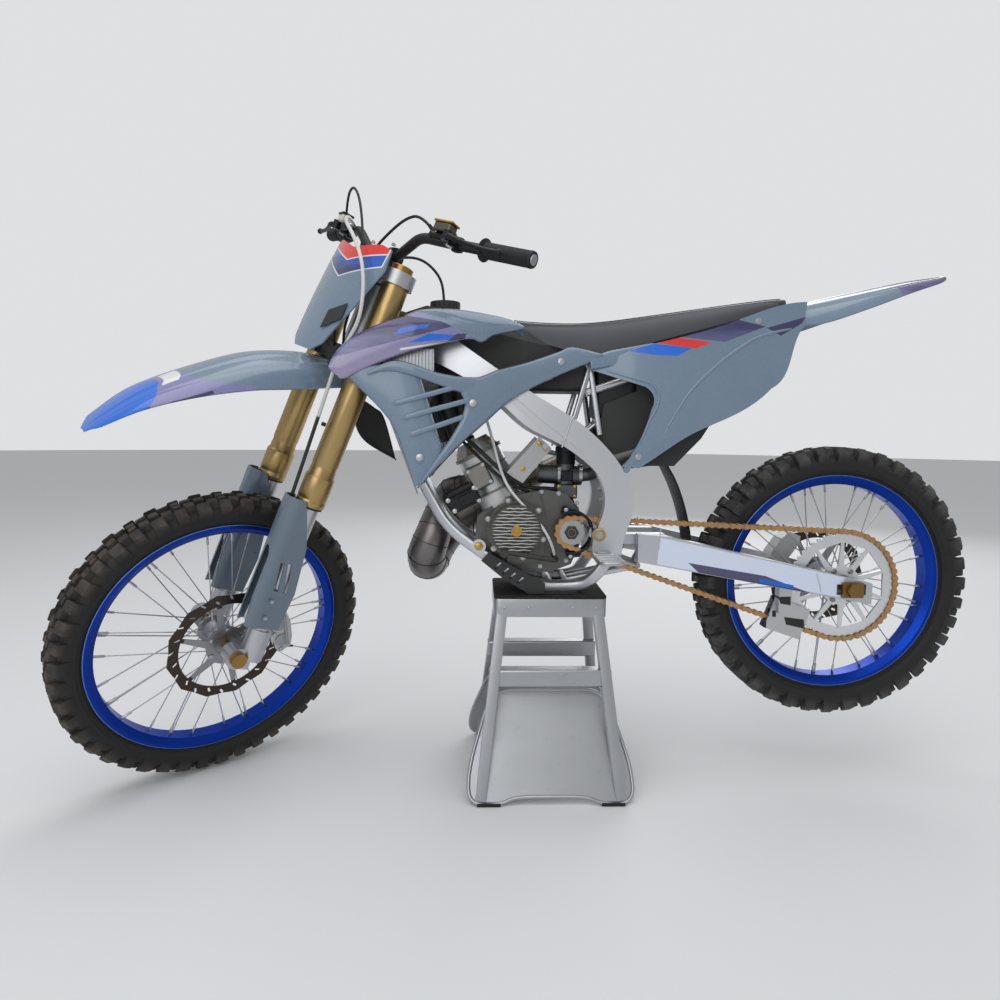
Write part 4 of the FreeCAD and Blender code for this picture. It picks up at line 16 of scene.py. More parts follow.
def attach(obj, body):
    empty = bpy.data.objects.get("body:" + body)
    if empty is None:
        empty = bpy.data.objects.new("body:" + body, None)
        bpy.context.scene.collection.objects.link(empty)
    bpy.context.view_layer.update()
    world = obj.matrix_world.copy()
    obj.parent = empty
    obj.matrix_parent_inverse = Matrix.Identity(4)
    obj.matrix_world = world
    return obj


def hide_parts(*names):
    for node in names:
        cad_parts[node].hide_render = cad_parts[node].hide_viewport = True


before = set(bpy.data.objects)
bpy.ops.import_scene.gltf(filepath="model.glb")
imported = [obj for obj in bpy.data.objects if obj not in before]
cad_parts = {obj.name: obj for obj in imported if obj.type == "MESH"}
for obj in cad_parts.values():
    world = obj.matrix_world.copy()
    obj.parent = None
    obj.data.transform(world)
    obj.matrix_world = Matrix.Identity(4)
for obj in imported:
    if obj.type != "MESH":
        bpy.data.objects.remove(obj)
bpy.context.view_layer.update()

TAU = 2 * math.pi
SIDES = ((1, "left"), (-1, "right"))
BOX_FACES = [(3, 2, 1, 0), (4, 5, 6, 7), (0, 1, 5, 4), (1, 2, 6, 5), (2, 3, 7, 6), (3, 0, 4, 7)]

# Where the moving groups stand at rest
STEER_POINT = np.array([0.727614, 0.0, 0.324931])
RAKE = math.radians(22.1)
STEER_REST = math.radians(42.0)
STEER_UP = np.array([-math.sin(RAKE), 0.0, math.cos(RAKE)])
FORK_STRAIGHT = np.array([math.cos(RAKE), 0.0, math.sin(RAKE)])
SIDE = np.array([0.0, 1.0, 0.0])
FORK_AHEAD = FORK_STRAIGHT * math.cos(STEER_REST) + SIDE * math.sin(STEER_REST)
FORK_LEFT = SIDE * math.cos(STEER_REST) - FORK_STRAIGHT * math.sin(STEER_REST)
AXLE_LEAD = 0.056
FORK_LEAD = 0.022
FORK_Y = 0.103
FRONT_AXLE = STEER_POINT + FORK_AHEAD * AXLE_LEAD
REAR_AXLE = np.array([-0.6815, 0.0, 0.468])
FORK_FRAME = (STEER_POINT, np.stack([FORK_AHEAD, FORK_LEFT, STEER_UP]))
FRONT_WHEEL_FRAME = (FRONT_AXLE, FORK_FRAME[1])
REAR_WHEEL_FRAME = (REAR_AXLE, np.eye(3))
BIKE_FRAME = (np.zeros(3), np.eye(3))


# Shapes from arrays

def placed(points, place):
    """Points given in a group's own frame, as points of the row: origin + sum of share times axis."""
    origin, axes = place
    return origin + np.asarray(points, float) @ axes


def sheet_faces(rows, cols, closed_rows=False, closed_cols=False):
    """The quads of a grid of points, numbered row by row, with either way round closed if asked."""
    i = np.arange(rows if closed_rows else rows - 1)
    j = np.arange(cols if closed_cols else cols - 1)
    a, b = np.meshgrid(i, j, indexing="ij")
    c, d = (a + 1) % rows, (b + 1) % cols
    return np.stack([a * cols + b, a * cols + d, c * cols + d, c * cols + b], -1).reshape(-1, 4)


def capped(points, faces, rings):
    """Adds a flat end to each ring of point numbers."""
    return points, list(map(tuple, faces)) + [tuple(ring) for ring in rings]


def tube_mesh(centres, radii, sides=16, closed=False, square=2.0):
    """A tube: each point is centre + radius * reach * (cos t * left + sin t * up), carried along the centres
    with the frame turned as little as possible from one centre to the next. The reach is
    (|cos t|^square + |sin t|^square)^(-1/square), so 2 gives a round tube and 6 a rounded square bar."""
    centres = np.asarray(centres, float)
    radii = np.broadcast_to(np.asarray(radii, float), (len(centres),))
    if closed:
        ahead = np.roll(centres, -1, 0) - np.roll(centres, 1, 0)
    else:
        ahead = np.gradient(centres, axis=0)
    ahead /= np.linalg.norm(ahead, axis=1)[:, None]
    first = np.cross(ahead[0], [0.0, 0.0, 1.0])
    if np.linalg.norm(first) < 0.05:
        first = np.cross(ahead[0], [0.0, 1.0, 0.0])
    left = [first / np.linalg.norm(first)]
    for way in ahead[1:]:
        side = left[-1] - way * (left[-1] @ way)
        left.append(side / np.linalg.norm(side))
    left = np.array(left)
    up = np.cross(ahead, left)
    t = np.arange(sides) * TAU / sides
    ring = np.cos(t)[None, :, None] * left[:, None] + np.sin(t)[None, :, None] * up[:, None]
    reach = (np.abs(np.cos(t)) ** square + np.abs(np.sin(t)) ** square) ** (-1.0 / square)
    points = (centres[:, None] + ring * (radii[:, None] * reach)[..., None]).reshape(-1, 3)
    faces = sheet_faces(len(centres), sides, closed, True)[:, ::-1]
    if closed:
        return points, list(map(tuple, faces))
    last = (len(centres) - 1) * sides
    return capped(points, faces, [range(sides), range(last + sides - 1, last - 1, -1)])


def turned_mesh(profile, sides=48):
    """A turned piece: each (radius, along) of the profile swept round the Y axis,
    x = radius cos t, y = along, z = radius sin t. The profile is a closed loop."""
    profile = np.asarray(profile, float)
    t = np.arange(sides) * TAU / sides
    r, y = profile[:, 0][None], profile[:, 1][None]
    points = np.stack([r * np.cos(t)[:, None], y + 0 * t[:, None], r * np.sin(t)[:, None]], -1)
    return points.reshape(-1, 3), list(map(tuple, sheet_faces(sides, len(profile), True, True)))


def joined(parts):
    """Several meshes as one, their faces renumbered."""
    points, faces, base = [], [], 0
    for some, quads in parts:
        points.append(np.asarray(some, float))
        faces += [tuple(int(n) + base for n in quad) for quad in quads]
        base += len(some)
    return np.concatenate(points), faces


def moved(mesh, by):
    """The mesh shifted by one step."""
    return mesh[0] + by, mesh[1]


def flipped(mesh):
    """The mesh with every face wound the other way."""
    return mesh[0], [face[::-1] for face in mesh[1]]


def mirrored(mesh):
    """The mesh carried to the other side of its group."""
    return mesh[0] * [1, -1, 1], [face[::-1] for face in mesh[1]]


def both_sides(mesh):
    """The mesh and its mirror image as one."""
    return joined([mesh, mirrored(mesh)])


def repeated(mesh, places):
    """Copies of one small mesh, worked out as one array. places holds (origin, 3x3 axes) pairs."""
    points, faces = mesh
    origins = np.array([place[0] for place in places], float)
    axes = np.array([place[1] for place in places], float)
    copies = origins[:, None] + np.einsum("pi,nij->npj", np.asarray(points, float), axes)
    shifts = np.arange(len(places)) * len(points)
    return copies.reshape(-1, 3), [tuple(n + shift for n in face) for shift in shifts for face in faces]


def axes_along(way, hint=(0.0, 0.0, 1.0)):
    """Three square axes as rows: two across and the last along the way."""
    way = np.asarray(way, float)
    way = way / np.linalg.norm(way)
    across = np.cross(np.asarray(hint, float), way)
    if np.linalg.norm(across) < 1e-3:
        across = np.cross([1.0, 0.0, 0.0], way)
    across /= np.linalg.norm(across)
    return np.stack([across, np.cross(way, across), way])


def box_mesh(x0, x1, y0, y1, z0, z1, taper=1.0):
    """A box whose top may be drawn in by a share."""
    mx, my = (x0 + x1) / 2, (y0 + y1) / 2
    low = [(x, y, z0) for x, y in ((x0, y0), (x1, y0), (x1, y1), (x0, y1))]
    high = [(mx + (x - mx) * taper, my + (y - my) * taper, z1) for x, y, z in low]
    return np.array(low + high), BOX_FACES


def plate_mesh(outline, z0, z1):
    """A flat plate: an outline of (x, y) pairs carried from z0 to z1."""
    outline = np.asarray(outline, float)
    n = len(outline)
    area = np.sum(outline[:, 0] * np.roll(outline[:, 1], -1) - np.roll(outline[:, 0], -1) * outline[:, 1])
    if area < 0:
        outline = outline[::-1]
    points = np.concatenate([np.c_[outline, np.full(n, z0)], np.c_[outline, np.full(n, z1)]])
    sides = [(i, (i + 1) % n, n + (i + 1) % n, n + i) for i in range(n)]
    return points, sides + [tuple(range(n - 1, -1, -1)), tuple(range(n, 2 * n))]


def smooth_line(knots, count, closed=False):
    """A Catmull-Rom curve through the knots, read at evenly spaced steps of its parameter."""
    knots = np.asarray(knots, float)
    n = len(knots)
    s = np.linspace(0, n if closed else n - 1, count, endpoint=not closed)
    k = np.minimum(s.astype(int), n - 1 if closed else n - 2)
    f = (s - k)[:, None]
    a, b, c, d = (knots[(k + step) % n if closed else np.clip(k + step, 0, n - 1)] for step in (-1, 0, 1, 2))
    bend, twist = 2 * a - 5 * b + 4 * c - d, 3 * b - a - 3 * c + d
    return 0.5 * (2 * b + (c - a) * f + bend * f ** 2 + twist * f ** 3)


def filleted(knots, bend, steps=8, closed=False):
    """A line with its corners rounded: each corner is a parabola between the two points that lie one bend
    before and after it, or nearer where the sides are short."""
    knots = np.asarray(knots, float)
    before, after = np.roll(knots, 1, 0), np.roll(knots, -1, 0)
    back, on = before - knots, after - knots
    long_back, long_on = (np.linalg.norm(way, axis=1)[:, None] for way in (back, on))
    first = knots + back / long_back * np.minimum(bend, long_back * 0.48)
    last = knots + on / long_on * np.minimum(bend, long_on * 0.48)
    f = np.linspace(0, 1, steps)[None, :, None]
    arcs = first[:, None] * (1 - f) ** 2 + 2 * knots[:, None] * f * (1 - f) + last[:, None] * f ** 2
    if closed:
        return arcs.reshape(-1, knots.shape[1])
    return np.concatenate([knots[:1], arcs[1:-1].reshape(-1, knots.shape[1]), knots[-1:]])


def even_line(points, count):
    """The same line with its points spread evenly by length."""
    points = np.asarray(points, float)
    travel = np.r_[0, np.cumsum(np.linalg.norm(np.diff(points, axis=0), axis=1))]
    at = np.linspace(0, travel[-1], count)
    return np.stack([np.interp(at, travel, points[:, axis]) for axis in range(points.shape[1])], -1)


def piece(name, mesh, body, paint, place=BIKE_FRAME, replaces=(), smooth=35.0, bevel=0.0, steps=2,
          thick=0.0):
    """Puts a mesh into the scene as a piece that rides on a body. Edges sharper than smooth degrees stay
    sharp, bevel rounds them in so many steps, and thick gives a sheet its wall."""
    points, faces = mesh
    points = placed(points, place)
    data = bpy.data.meshes.new(name)
    data.from_pydata(points.tolist(), [], [tuple(map(int, face)) for face in faces])
    data.validate()
    made = bpy.data.objects.new(name, data)
    bpy.context.collection.objects.link(made)
    data.materials.append(paint.material)
    if smooth:
        data.polygons.foreach_set("use_smooth", np.ones(len(data.polygons), bool))
        data.set_sharp_from_angle(angle=math.radians(smooth))
    if thick:
        wall = made.modifiers.new("wall", "SOLIDIFY")
        wall.thickness = thick
        wall.offset = -1
    if bevel:
        edge = made.modifiers.new("edge", "BEVEL")
        edge.width = bevel
        edge.segments = steps
        edge.limit_method = "ANGLE"
        edge.angle_limit = math.radians(30)
        edge.harden_normals = False
    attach(made, body)
    if replaces:
        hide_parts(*replaces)
    return made


# Camera: the place, the turns and the lens were worked out from the wheels in the photograph

CAMERA = np.array([0.1665, 1.619, 0.812])
YAW, PITCH, ROLL = (math.radians(a) for a in (-1.87, 5.52, 0.61))
ahead = np.array([math.sin(YAW) * math.cos(PITCH), -math.cos(YAW) * math.cos(PITCH), -math.sin(PITCH)])
right = np.cross(ahead, [0.0, 0.0, 1.0])
right /= np.linalg.norm(right)
above = np.cross(right, ahead)
right, above = (math.cos(ROLL) * right + math.sin(ROLL) * above,
                math.cos(ROLL) * above - math.sin(ROLL) * right)
LENS_SHARE = 0.6884
camera_data = bpy.data.cameras.new("view")
camera_data.sensor_fit = "HORIZONTAL"
camera_data.sensor_width = 36.0
camera_data.lens = camera_data.sensor_width * LENS_SHARE
camera = bpy.data.objects.new("view", camera_data)
bpy.context.collection.objects.link(camera)
turn = Matrix(np.stack([right, above, -ahead], axis=1).tolist()).to_4x4()
camera.matrix_world = Matrix.Translation(CAMERA.tolist()) @ turn
bpy.context.scene.camera = camera
bpy.context.scene.view_settings.view_transform = "Standard"


# Shader maths

def rgb(red, green, blue):
    """A screen colour from 0 to 255 as the linear colour that a shader takes."""
    share = np.array([red, green, blue]) / 255.0
    linear = np.where(share <= 0.04045, share / 12.92, ((share + 0.055) / 1.055) ** 2.4)
    return (*linear.tolist(), 1.0)


# How far to each side of a print's outline its colour fades
PRINT_EDGE = 0.0006


class Mix:
    """A number, colour or vector that varies over a surface. Operators on it add Math nodes."""

    def __init__(self, paint, socket):
        self.paint, self.socket = paint, socket

    def maths(self, operation, *values):
        return self.paint.node("Math", {"operation": operation}, values)

    def __add__(self, other): return self.maths("ADD", self, other)
    def __sub__(self, other): return self.maths("SUBTRACT", self, other)
    def __rsub__(self, other): return self.maths("SUBTRACT", other, self)
    def __mul__(self, other): return self.maths("MULTIPLY", self, other)
    def __truediv__(self, other): return self.maths("DIVIDE", self, other)
    def __abs__(self): return self.maths("ABSOLUTE", self)
    __radd__, __rmul__ = __add__, __mul__

    def least(self, other): return self.maths("MINIMUM", self, other)
    def most(self, other): return self.maths("MAXIMUM", self, other)
    def wave(self): return self.maths("SINE", self)

    def rise(self, low, high):
        """0 below low, 1 above high and a smooth step between."""
        return self.paint.node("MapRange", {"interpolation_type": "SMOOTHSTEP"},
                               {"Value": self, "From Min": low, "From Max": high})

    def dot(self, way):
        return self.paint.node("VectorMath", {"operation": "DOT_PRODUCT"}, (self, tuple(way)), "Value")

    def minus(self, point):
        return self.paint.node("VectorMath", {"operation": "SUBTRACT"}, (self, tuple(point)))

    def times(self, shares):
        return self.paint.node("VectorMath", {"operation": "MULTIPLY"}, (self, tuple(shares)))


class Paint:
    """One material: a Principled shader, and the nodes that are asked for one by one."""

    def __init__(self, name, colour, rough, metal=0.0, coat=0.0):
        self.material = bpy.data.materials.new(name)
        self.material.use_nodes = True
        self.tree = self.material.node_tree
        self.shader = next(n for n in self.tree.nodes if n.type == "BSDF_PRINCIPLED")
        for socket, value in {"Base Color": colour, "Roughness": rough, "Metallic": metal,
                              "Coat Weight": coat, "Coat Roughness": 0.1}.items():
            self.shader.inputs[socket].default_value = value
        self.at = self.node("TexCoord", {}, (), "Object")

    def node(self, kind, settings=None, values=(), out=0):
        """Any node: its settings first, then its sockets' values or links."""
        made = self.tree.nodes.new("ShaderNode" + kind)
        for key, value in (settings or {}).items():
            setattr(made, key, value)
        for key, value in (values.items() if isinstance(values, dict) else enumerate(values)):
            if isinstance(value, Mix):
                self.tree.links.new(value.socket, made.inputs[key])
            else:
                made.inputs[key].default_value = value
        return Mix(self, made.outputs[out])

    def noise(self, scale, detail=3.0, rough=0.55, stretch=None):
        """Soft cloud from 0 to 1, drawn out along an axis whose stretch is under 1."""
        at = self.at.times(stretch) if stretch else self.at
        return self.node("TexNoise", {}, {"Vector": at, "Scale": scale, "Detail": detail, "Roughness": rough})

    def cells(self, scale):
        """Pebbles: the distance to the nearest cell's middle."""
        return self.node("TexVoronoi", {"feature": "F1"}, {"Vector": self.at, "Scale": scale}, "Distance")

    def blend(self, low, high, share):
        """A colour between two colours."""
        return self.node("Mix", {"data_type": "RGBA"}, {0: share, 6: low, 7: high}, 2)

    def set(self, **sockets):
        """Links what varies to the shader's own sockets."""
        for key, value in sockets.items():
            self.tree.links.new(value.socket, self.shader.inputs[key.replace("_", " ").title()])
        return self

    def relief(self, height, depth, strength):
        """Fine relief: a height from 0 to 1, depth metres deep."""
        bump = self.node("Bump", {}, {"Strength": strength, "Distance": depth, "Height": height})
        return self.set(normal=bump)

    def radius(self, centre, axle):
        """How far a point lies from an axle's line."""
        across = self.node("VectorMath", {"operation": "CROSS_PRODUCT"}, (self.at.minus(centre), tuple(axle)))
        return self.node("VectorMath", {"operation": "LENGTH"}, (across,), "Value")

    def within(self, across, up, corners):
        """1 inside a convex outline of (across, up) corners, with a soft edge."""
        inside = None
        area = sum(x0 * z1 - x1 * z0 for (x0, z0), (x1, z1) in zip(corners, corners[1:] + corners[:1]))
        corners = corners if area > 0 else corners[::-1]
        for (x0, z0), (x1, z1) in zip(corners, corners[1:] + corners[:1]):
            length = math.hypot(x1 - x0, z1 - z0)
            nx, nz = -(z1 - z0) / length, (x1 - x0) / length
            depth = across * nx + up * nz - (x0 * nx + z0 * nz)
            inside = depth if inside is None else inside.least(depth)
        return inside.rise(-PRINT_EDGE, PRINT_EDGE)


# Floor and light

floor = bpy.data.objects.new("ground", bpy.data.meshes.new("ground"))
t = np.arange(96) * TAU / 96
floor.data.from_pydata(np.c_[30 * np.cos(t), 30 * np.sin(t), np.full(96, -0.0004)].tolist(), [],
                       [tuple(range(96))])
bpy.context.collection.objects.link(floor)
ground = Paint("pale_ground", rgb(226, 227, 229), 0.75)
floor.data.materials.append(ground.material)

world = bpy.data.worlds.new("studio")
bpy.context.scene.world = world
world.use_nodes = True
sky = world.node_tree
background = next(n for n in sky.nodes if n.type == "BACKGROUND")
path = sky.nodes.new("ShaderNodeLightPath")
seen = sky.nodes.new("ShaderNodeMath")
seen.operation = "MULTIPLY_ADD"
sky.links.new(path.outputs["Is Camera Ray"], seen.inputs[0])
seen.inputs[1].default_value = 0.26
seen.inputs[2].default_value = 0.50
sky.links.new(seen.outputs[0], background.inputs["Strength"])
background.inputs["Color"].default_value = (0.97, 0.985, 1.0, 1)


def lamp(name, size, place, aim, watts):
    """A square soft box that faces its aim point."""
    data = bpy.data.lights.new(name, "AREA")
    data.shape, data.size, data.energy = "SQUARE", size, watts
    made = bpy.data.objects.new(name, data)
    bpy.context.collection.objects.link(made)
    way = np.array(aim, float) - np.array(place, float)
    axes = axes_along(-way)
    made.matrix_world = Matrix.Translation(place) @ Matrix(axes.T.tolist()).to_4x4()


lamp("over", 4.0, (0.3, 0.6, 4.2), (0.0, 0.0, 0.5), 72)
lamp("near", 3.0, (1.6, 4.2, 2.4), (0.0, 0.0, 0.6), 50)
lamp("far", 3.0, (-1.8, -4.0, 2.6), (0.0, 0.0, 0.6), 50)


# Finishes

def moulded(name, colour, rough, coat, fine=900.0):
    """Moulded plastic: a little cloud in its colour, and a faint orange-peel skin."""
    p = Paint(name, colour, rough, coat=coat)
    cloud = p.noise(7.0, 4.0)
    p.tone = p.blend(tuple(c * 0.90 for c in colour[:3]) + (1,),
                     tuple(min(1, c * 1.08) for c in colour[:3]) + (1,), cloud)
    p.set(base_color=p.tone, roughness=p.noise(30.0, 5.0) * 0.16 + (rough - 0.07))
    return p.relief(p.noise(fine, 2.0), 0.00015, 0.5)


def metal(name, colour, rough, scratch=(1, 1, 1), dirt_and_shade=0.12, depth=0.0002, metallic=1.0, grime=(52, 46, 40)):
    """Bare metal: scratches drawn out along one axis, cloudy polish, and a little grime. Where the grime is
    heavy, on the cast engine parts, it is partly real and partly painted shade that gives them depth.
    """
    p = Paint(name, colour, rough, metallic)
    lines = p.noise(260.0, 4.0, 0.7, stretch=scratch)
    cloud = p.noise(11.0, 4.0)
    spots = p.noise(38.0, 5.0, 0.7).rise(0.60, 0.82) * dirt_and_shade
    dark = tuple(c * 0.82 for c in colour[:3]) + (1,)
    p.tone = p.blend(p.blend(colour, dark, cloud), rgb(*grime), spots)
    p.set(base_color=p.tone, roughness=lines * 0.22 + (cloud * 0.16 + (rough - 0.18)))
    return p.relief(lines, depth, 0.6)


SLATE = rgb(112, 132, 152)
INK = rgb(52, 48, 92)
HAZE = rgb(128, 124, 172)
SKY_BLUE = rgb(20, 104, 214)
FLAG_RED = rgb(222, 48, 40)
PALE = rgb(226, 228, 232)

tyre_rubber = Paint("tyre_rubber", rgb(24, 24, 25), 0.78)
tyre_rubber.relief(tyre_rubber.noise(480.0, 4.0), 0.0004, 0.6)


def worn_rubber(name, centre, axle, tread_floor, dusty):
    """Tyre rubber: black wall, and blocks scuffed to grey from the tread's floor outwards."""
    p = Paint(name, rgb(24, 24, 25), 0.74)
    dust = p.noise(24.0, 5.0, 0.65)
    worn = p.radius(centre, axle).rise(tread_floor - 0.016, tread_floor + 0.010)
    scuffed = p.blend(rgb(38, 38, 38), dusty, dust.rise(0.30, 0.78))
    p.set(base_color=p.blend(p.blend(rgb(15, 15, 16), rgb(30, 29, 28), dust), scuffed, worn),
          roughness=dust * 0.25 + 0.58)
    return p.relief(p.noise(480.0, 4.0), 0.0004, 0.6)


front_tyre_rubber = worn_rubber("front_tyre_rubber", FRONT_AXLE, FORK_LEFT, 0.322, rgb(84, 76, 68))
rear_tyre_rubber = worn_rubber("rear_tyre_rubber", REAR_AXLE, SIDE, 0.297, rgb(84, 82, 80))


def anodised_rim(name, centre, axle, edge):
    """Blue anodised rim, bare and pale along its lips."""
    p = metal(name, rgb(8, 58, 168), 0.30, dirt_and_shade=0.14, metallic=0.85)
    lip = p.radius(centre, axle).rise(edge - 0.0022, edge - 0.0008)
    p.set(base_color=p.blend(p.tone, rgb(150, 176, 214), lip * 0.55))
    return p


front_rim_blue = anodised_rim("front_rim_blue", FRONT_AXLE, FORK_LEFT, 0.281)
rear_rim_blue = anodised_rim("rear_rim_blue", REAR_AXLE, SIDE, 0.255)


def disc_finish(name, centre, axle, band):
    """Black carrier arms inside, a ground steel band outside with fine circular wear."""
    p = Paint(name, rgb(70, 70, 72), 0.35, 0.9)
    r = p.radius(centre, axle)
    wear = p.node("TexNoise", {"noise_dimensions": "1D"}, {"W": r, "Scale": 2400.0, "Detail": 2.0})
    swept = r.rise(band - 0.001, band + 0.001)
    p.set(base_color=p.blend(rgb(150, 152, 155), p.blend(rgb(44, 38, 33), rgb(88, 79, 70), wear), swept),
          roughness=wear * 0.25 + 0.25)
    return p.relief(wear, 0.0002, 0.4)


disc_finish("front_disc_steel", FRONT_AXLE, FORK_LEFT, 0.098)
disc_finish("rear_disc_steel", REAR_AXLE, SIDE, 0.090)

hub_alloy = metal("hub_alloy", rgb(176, 178, 182), 0.38)
metal("sprocket_alloy", rgb(214, 215, 218), 0.42, depth=0.0001)
spoke_steel = metal("spoke_steel", rgb(196, 197, 200), 0.30, dirt_and_shade=0.05)
# Heavy grime spots on these cast parts: partly real grime, partly painted shade for depth.
cast_alloy = metal("cast_alloy", rgb(138, 136, 132), 0.46, dirt_and_shade=0.75, depth=0.0005)
cast_alloy.relief(cast_alloy.noise(620.0, 4.0, 0.7), 0.0005, 0.8)
frame_alloy = metal("frame_alloy", rgb(212, 214, 218), 0.42, (0.35, 1, 1.0), 0.10, 0.00015)
machined = metal("machined", rgb(196, 198, 202), 0.32, dirt_and_shade=0.08)
metal("clamp_black", rgb(28, 28, 30), 0.42, metallic=0.6)
metal("clamp_silver", rgb(142, 144, 148), 0.40)
fork_gold = metal("fork_gold", rgb(186, 158, 108), 0.36, (1, 1, 0.15), 0.10)
gold_anodised = metal("gold_anodised", rgb(170, 134, 78), 0.36)
metal("aged_brass", rgb(146, 116, 70), 0.44, dirt_and_shade=0.7)
# Heavy grime spots on the engine cases: partly real grime, partly painted shade for depth.
metal("case_alloy", rgb(108, 107, 105), 0.46, dirt_and_shade=0.8, depth=0.0005)
metal("bar_black", rgb(24, 24, 26), 0.46, metallic=0.5)
moulded("control_black", rgb(26, 26, 28), 0.42, 0.15)
black_plastic = moulded("black_plastic", rgb(26, 26, 27), 0.55, 0.0)
rubber_black = moulded("rubber_black", rgb(24, 24, 24), 0.72, 0.0, 500.0)
steel = metal("steel", rgb(150, 150, 152), 0.38, dirt_and_shade=0.25)
coil_white = moulded("coil_white", rgb(206, 205, 200), 0.35, 0.3)
dark_steel = metal("dark_steel", rgb(84, 82, 80), 0.46, dirt_and_shade=0.4)
chain_tan = metal("chain_tan", rgb(192, 152, 108), 0.42, dirt_and_shade=0.45, metallic=0.85, grime=(70, 48, 28))
stand_alloy = metal("stand_alloy", rgb(182, 184, 187), 0.36, (0.2, 1, 1), 0.30, 0.0003)
hose_white = moulded("hose_white", rgb(206, 207, 205), 0.40, 0.1)
hose_black = moulded("hose_black", rgb(20, 20, 21), 0.55, 0.0)
slate = moulded("slate", SLATE, 0.26, 0.7)
moulded("guard_slate", rgb(102, 118, 132), 0.30, 0.45)

pipe_steel = metal("pipe_steel", rgb(150, 146, 140), 0.34, dirt_and_shade=0.4, grime=(60, 50, 40))
heat = pipe_steel.at.dot((1.0, 0.0, 0.0)).rise(-0.2, 0.30)
heat_tint = pipe_steel.blend(rgb(150, 140, 126), rgb(122, 119, 118), heat)
soot = pipe_steel.noise(16.0, 5.0, 0.7).rise(0.5, 0.8) * 0.6
pipe_steel.set(base_color=pipe_steel.blend(heat_tint, rgb(72, 60, 48), soot))

finned = metal("finned_alloy", rgb(66, 66, 68), 0.5)
fins = (finned.at.dot((0.0, 0.0, 1.0)) * 2400.0).wave() * 0.5 + 0.5
zigzag = (finned.at.dot((0.0, 1.0, 0.0)) * 3400.0).wave() * 0.5 + 0.5
finned.relief(fins * 0.7 + zigzag * 0.3, 0.002, 1.0)
# The fin pattern also sets the colour: near black in the grooves between the fins is painted shade, pale grey
# on the fins.
finned.set(base_color=finned.blend(rgb(52, 53, 55), rgb(168, 170, 172), fins * 0.7 + zigzag * 0.3))

cover_vinyl = Paint("cover_vinyl", rgb(84, 87, 91), 0.62)
grain = cover_vinyl.cells(520.0)
cover_vinyl.set(base_color=cover_vinyl.blend(rgb(58, 60, 63), rgb(84, 87, 90), cover_vinyl.noise(9.0, 4.0)),
                roughness=grain * 0.2 + 0.52)
cover_vinyl.relief(grain, 0.0006, 0.8)

mat_rubber = moulded("mat_rubber", rgb(22, 22, 23), 0.8, 0.0)
studs = (mat_rubber.at.dot((1.0, 0, 0)) * 420.0).wave() * (mat_rubber.at.dot((0, 1.0, 0)) * 420.0).wave()
mat_rubber.relief(studs.rise(0.1, 0.6), 0.0012, 1.0)
metal("silencer_alloy", rgb(168, 170, 174), 0.36, (1, 0.2, 0.2), 0.12)


def dress(node, material):
    """Gives a CAD node its own material."""
    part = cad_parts.get(node)
    if part is not None:
        part.data.materials.clear()
        part.data.materials.append(material)


FINISH = {
    "tyre_rubber": "front_tyre rear_tyre", "front_rim_blue": "front_rim", "rear_rim_blue": "rear_rim",
    "hub_alloy": "front_hub rear_hub", "front_disc_steel": "front_disc", "rear_disc_steel": "rear_disc",
    "sprocket_alloy": "rear_sprocket", "fork_gold": "fork_outers", "machined": "fork_lowers",
    "gold_anodised": "front_axle", "clamp_black": "lower_clamp", "clamp_silver": "upper_clamp",
    "bar_black": "handlebar", "rubber_black": "grips", "control_black": "clutch_control throttle_control",
    "slate": "number_plate front_fender shrouds side_panels rear_fender", "guard_slate": "fork_guards",
    "aged_brass": "rear_axle", "case_alloy": "engine_cases",
    "cast_alloy": "front_calliper rear_calliper cylinder carburettor",
    "frame_alloy": "frame_beams cradle subframe linkage swingarm", "pipe_steel": "exhaust_pipe",
    "stand_alloy": "stand", "finned_alloy": "radiators", "cover_vinyl": "seat",
    "black_plastic": "fuel_tank airbox chain_guide skid_plate",
    "steel": "pivot_bolt front_sprocket head_stays", "dark_steel": "footpegs gear_lever brake_pedal shock",
    "chain_tan": "chain", "mat_rubber": "stand_mat", "hose_white": "front_brake_hose engine_hoses",
    "hose_black": "control_cables", "silencer_alloy": "silencer",
}
for finish, nodes in FINISH.items():
    for node in nodes.split():
        dress(node, bpy.data.materials[finish])


# Wheels

def tread_block(inner, outer, top, root, drop, half_z, radius, depth):
    """One tread block as (radius, y, round) corners: top face drawn in, outer wall leaning out and down."""
    low = radius - depth * root
    high = radius - depth * (1 - top)
    grow = 1.14
    y_mid = (inner + outer) / 2
    foot = outer * 0.86 if drop > 0.5 else y_mid + (outer - y_mid) * grow
    base = [(low, y_mid + (inner - y_mid) * grow), (low - depth * drop, foot)]
    face = [(radius, inner), (high, outer)]
    cut = depth * 0.16
    edge = [(r - cut, y_mid + (y - y_mid) * 1.06) for r, y in face]
    points = []
    for (r0, y0), (r1, y1), wide in ((base[0], base[1], grow), (edge[0], edge[1], 1.05),
                                     (face[0], face[1], 0.86)):
        points += [(r0, y0, -half_z * wide), (r1, y1, -half_z * wide), (r1, y1, half_z * wide),
                   (r0, y0, half_z * wide)]
    sides = [(ring * 4 + i, ring * 4 + (i + 1) % 4, ring * 4 + 4 + (i + 1) % 4, ring * 4 + 4 + i)
             for ring in range(2) for i in range(4)]
    return np.array(points), sides + [(3, 2, 1, 0), (8, 9, 10, 11)]


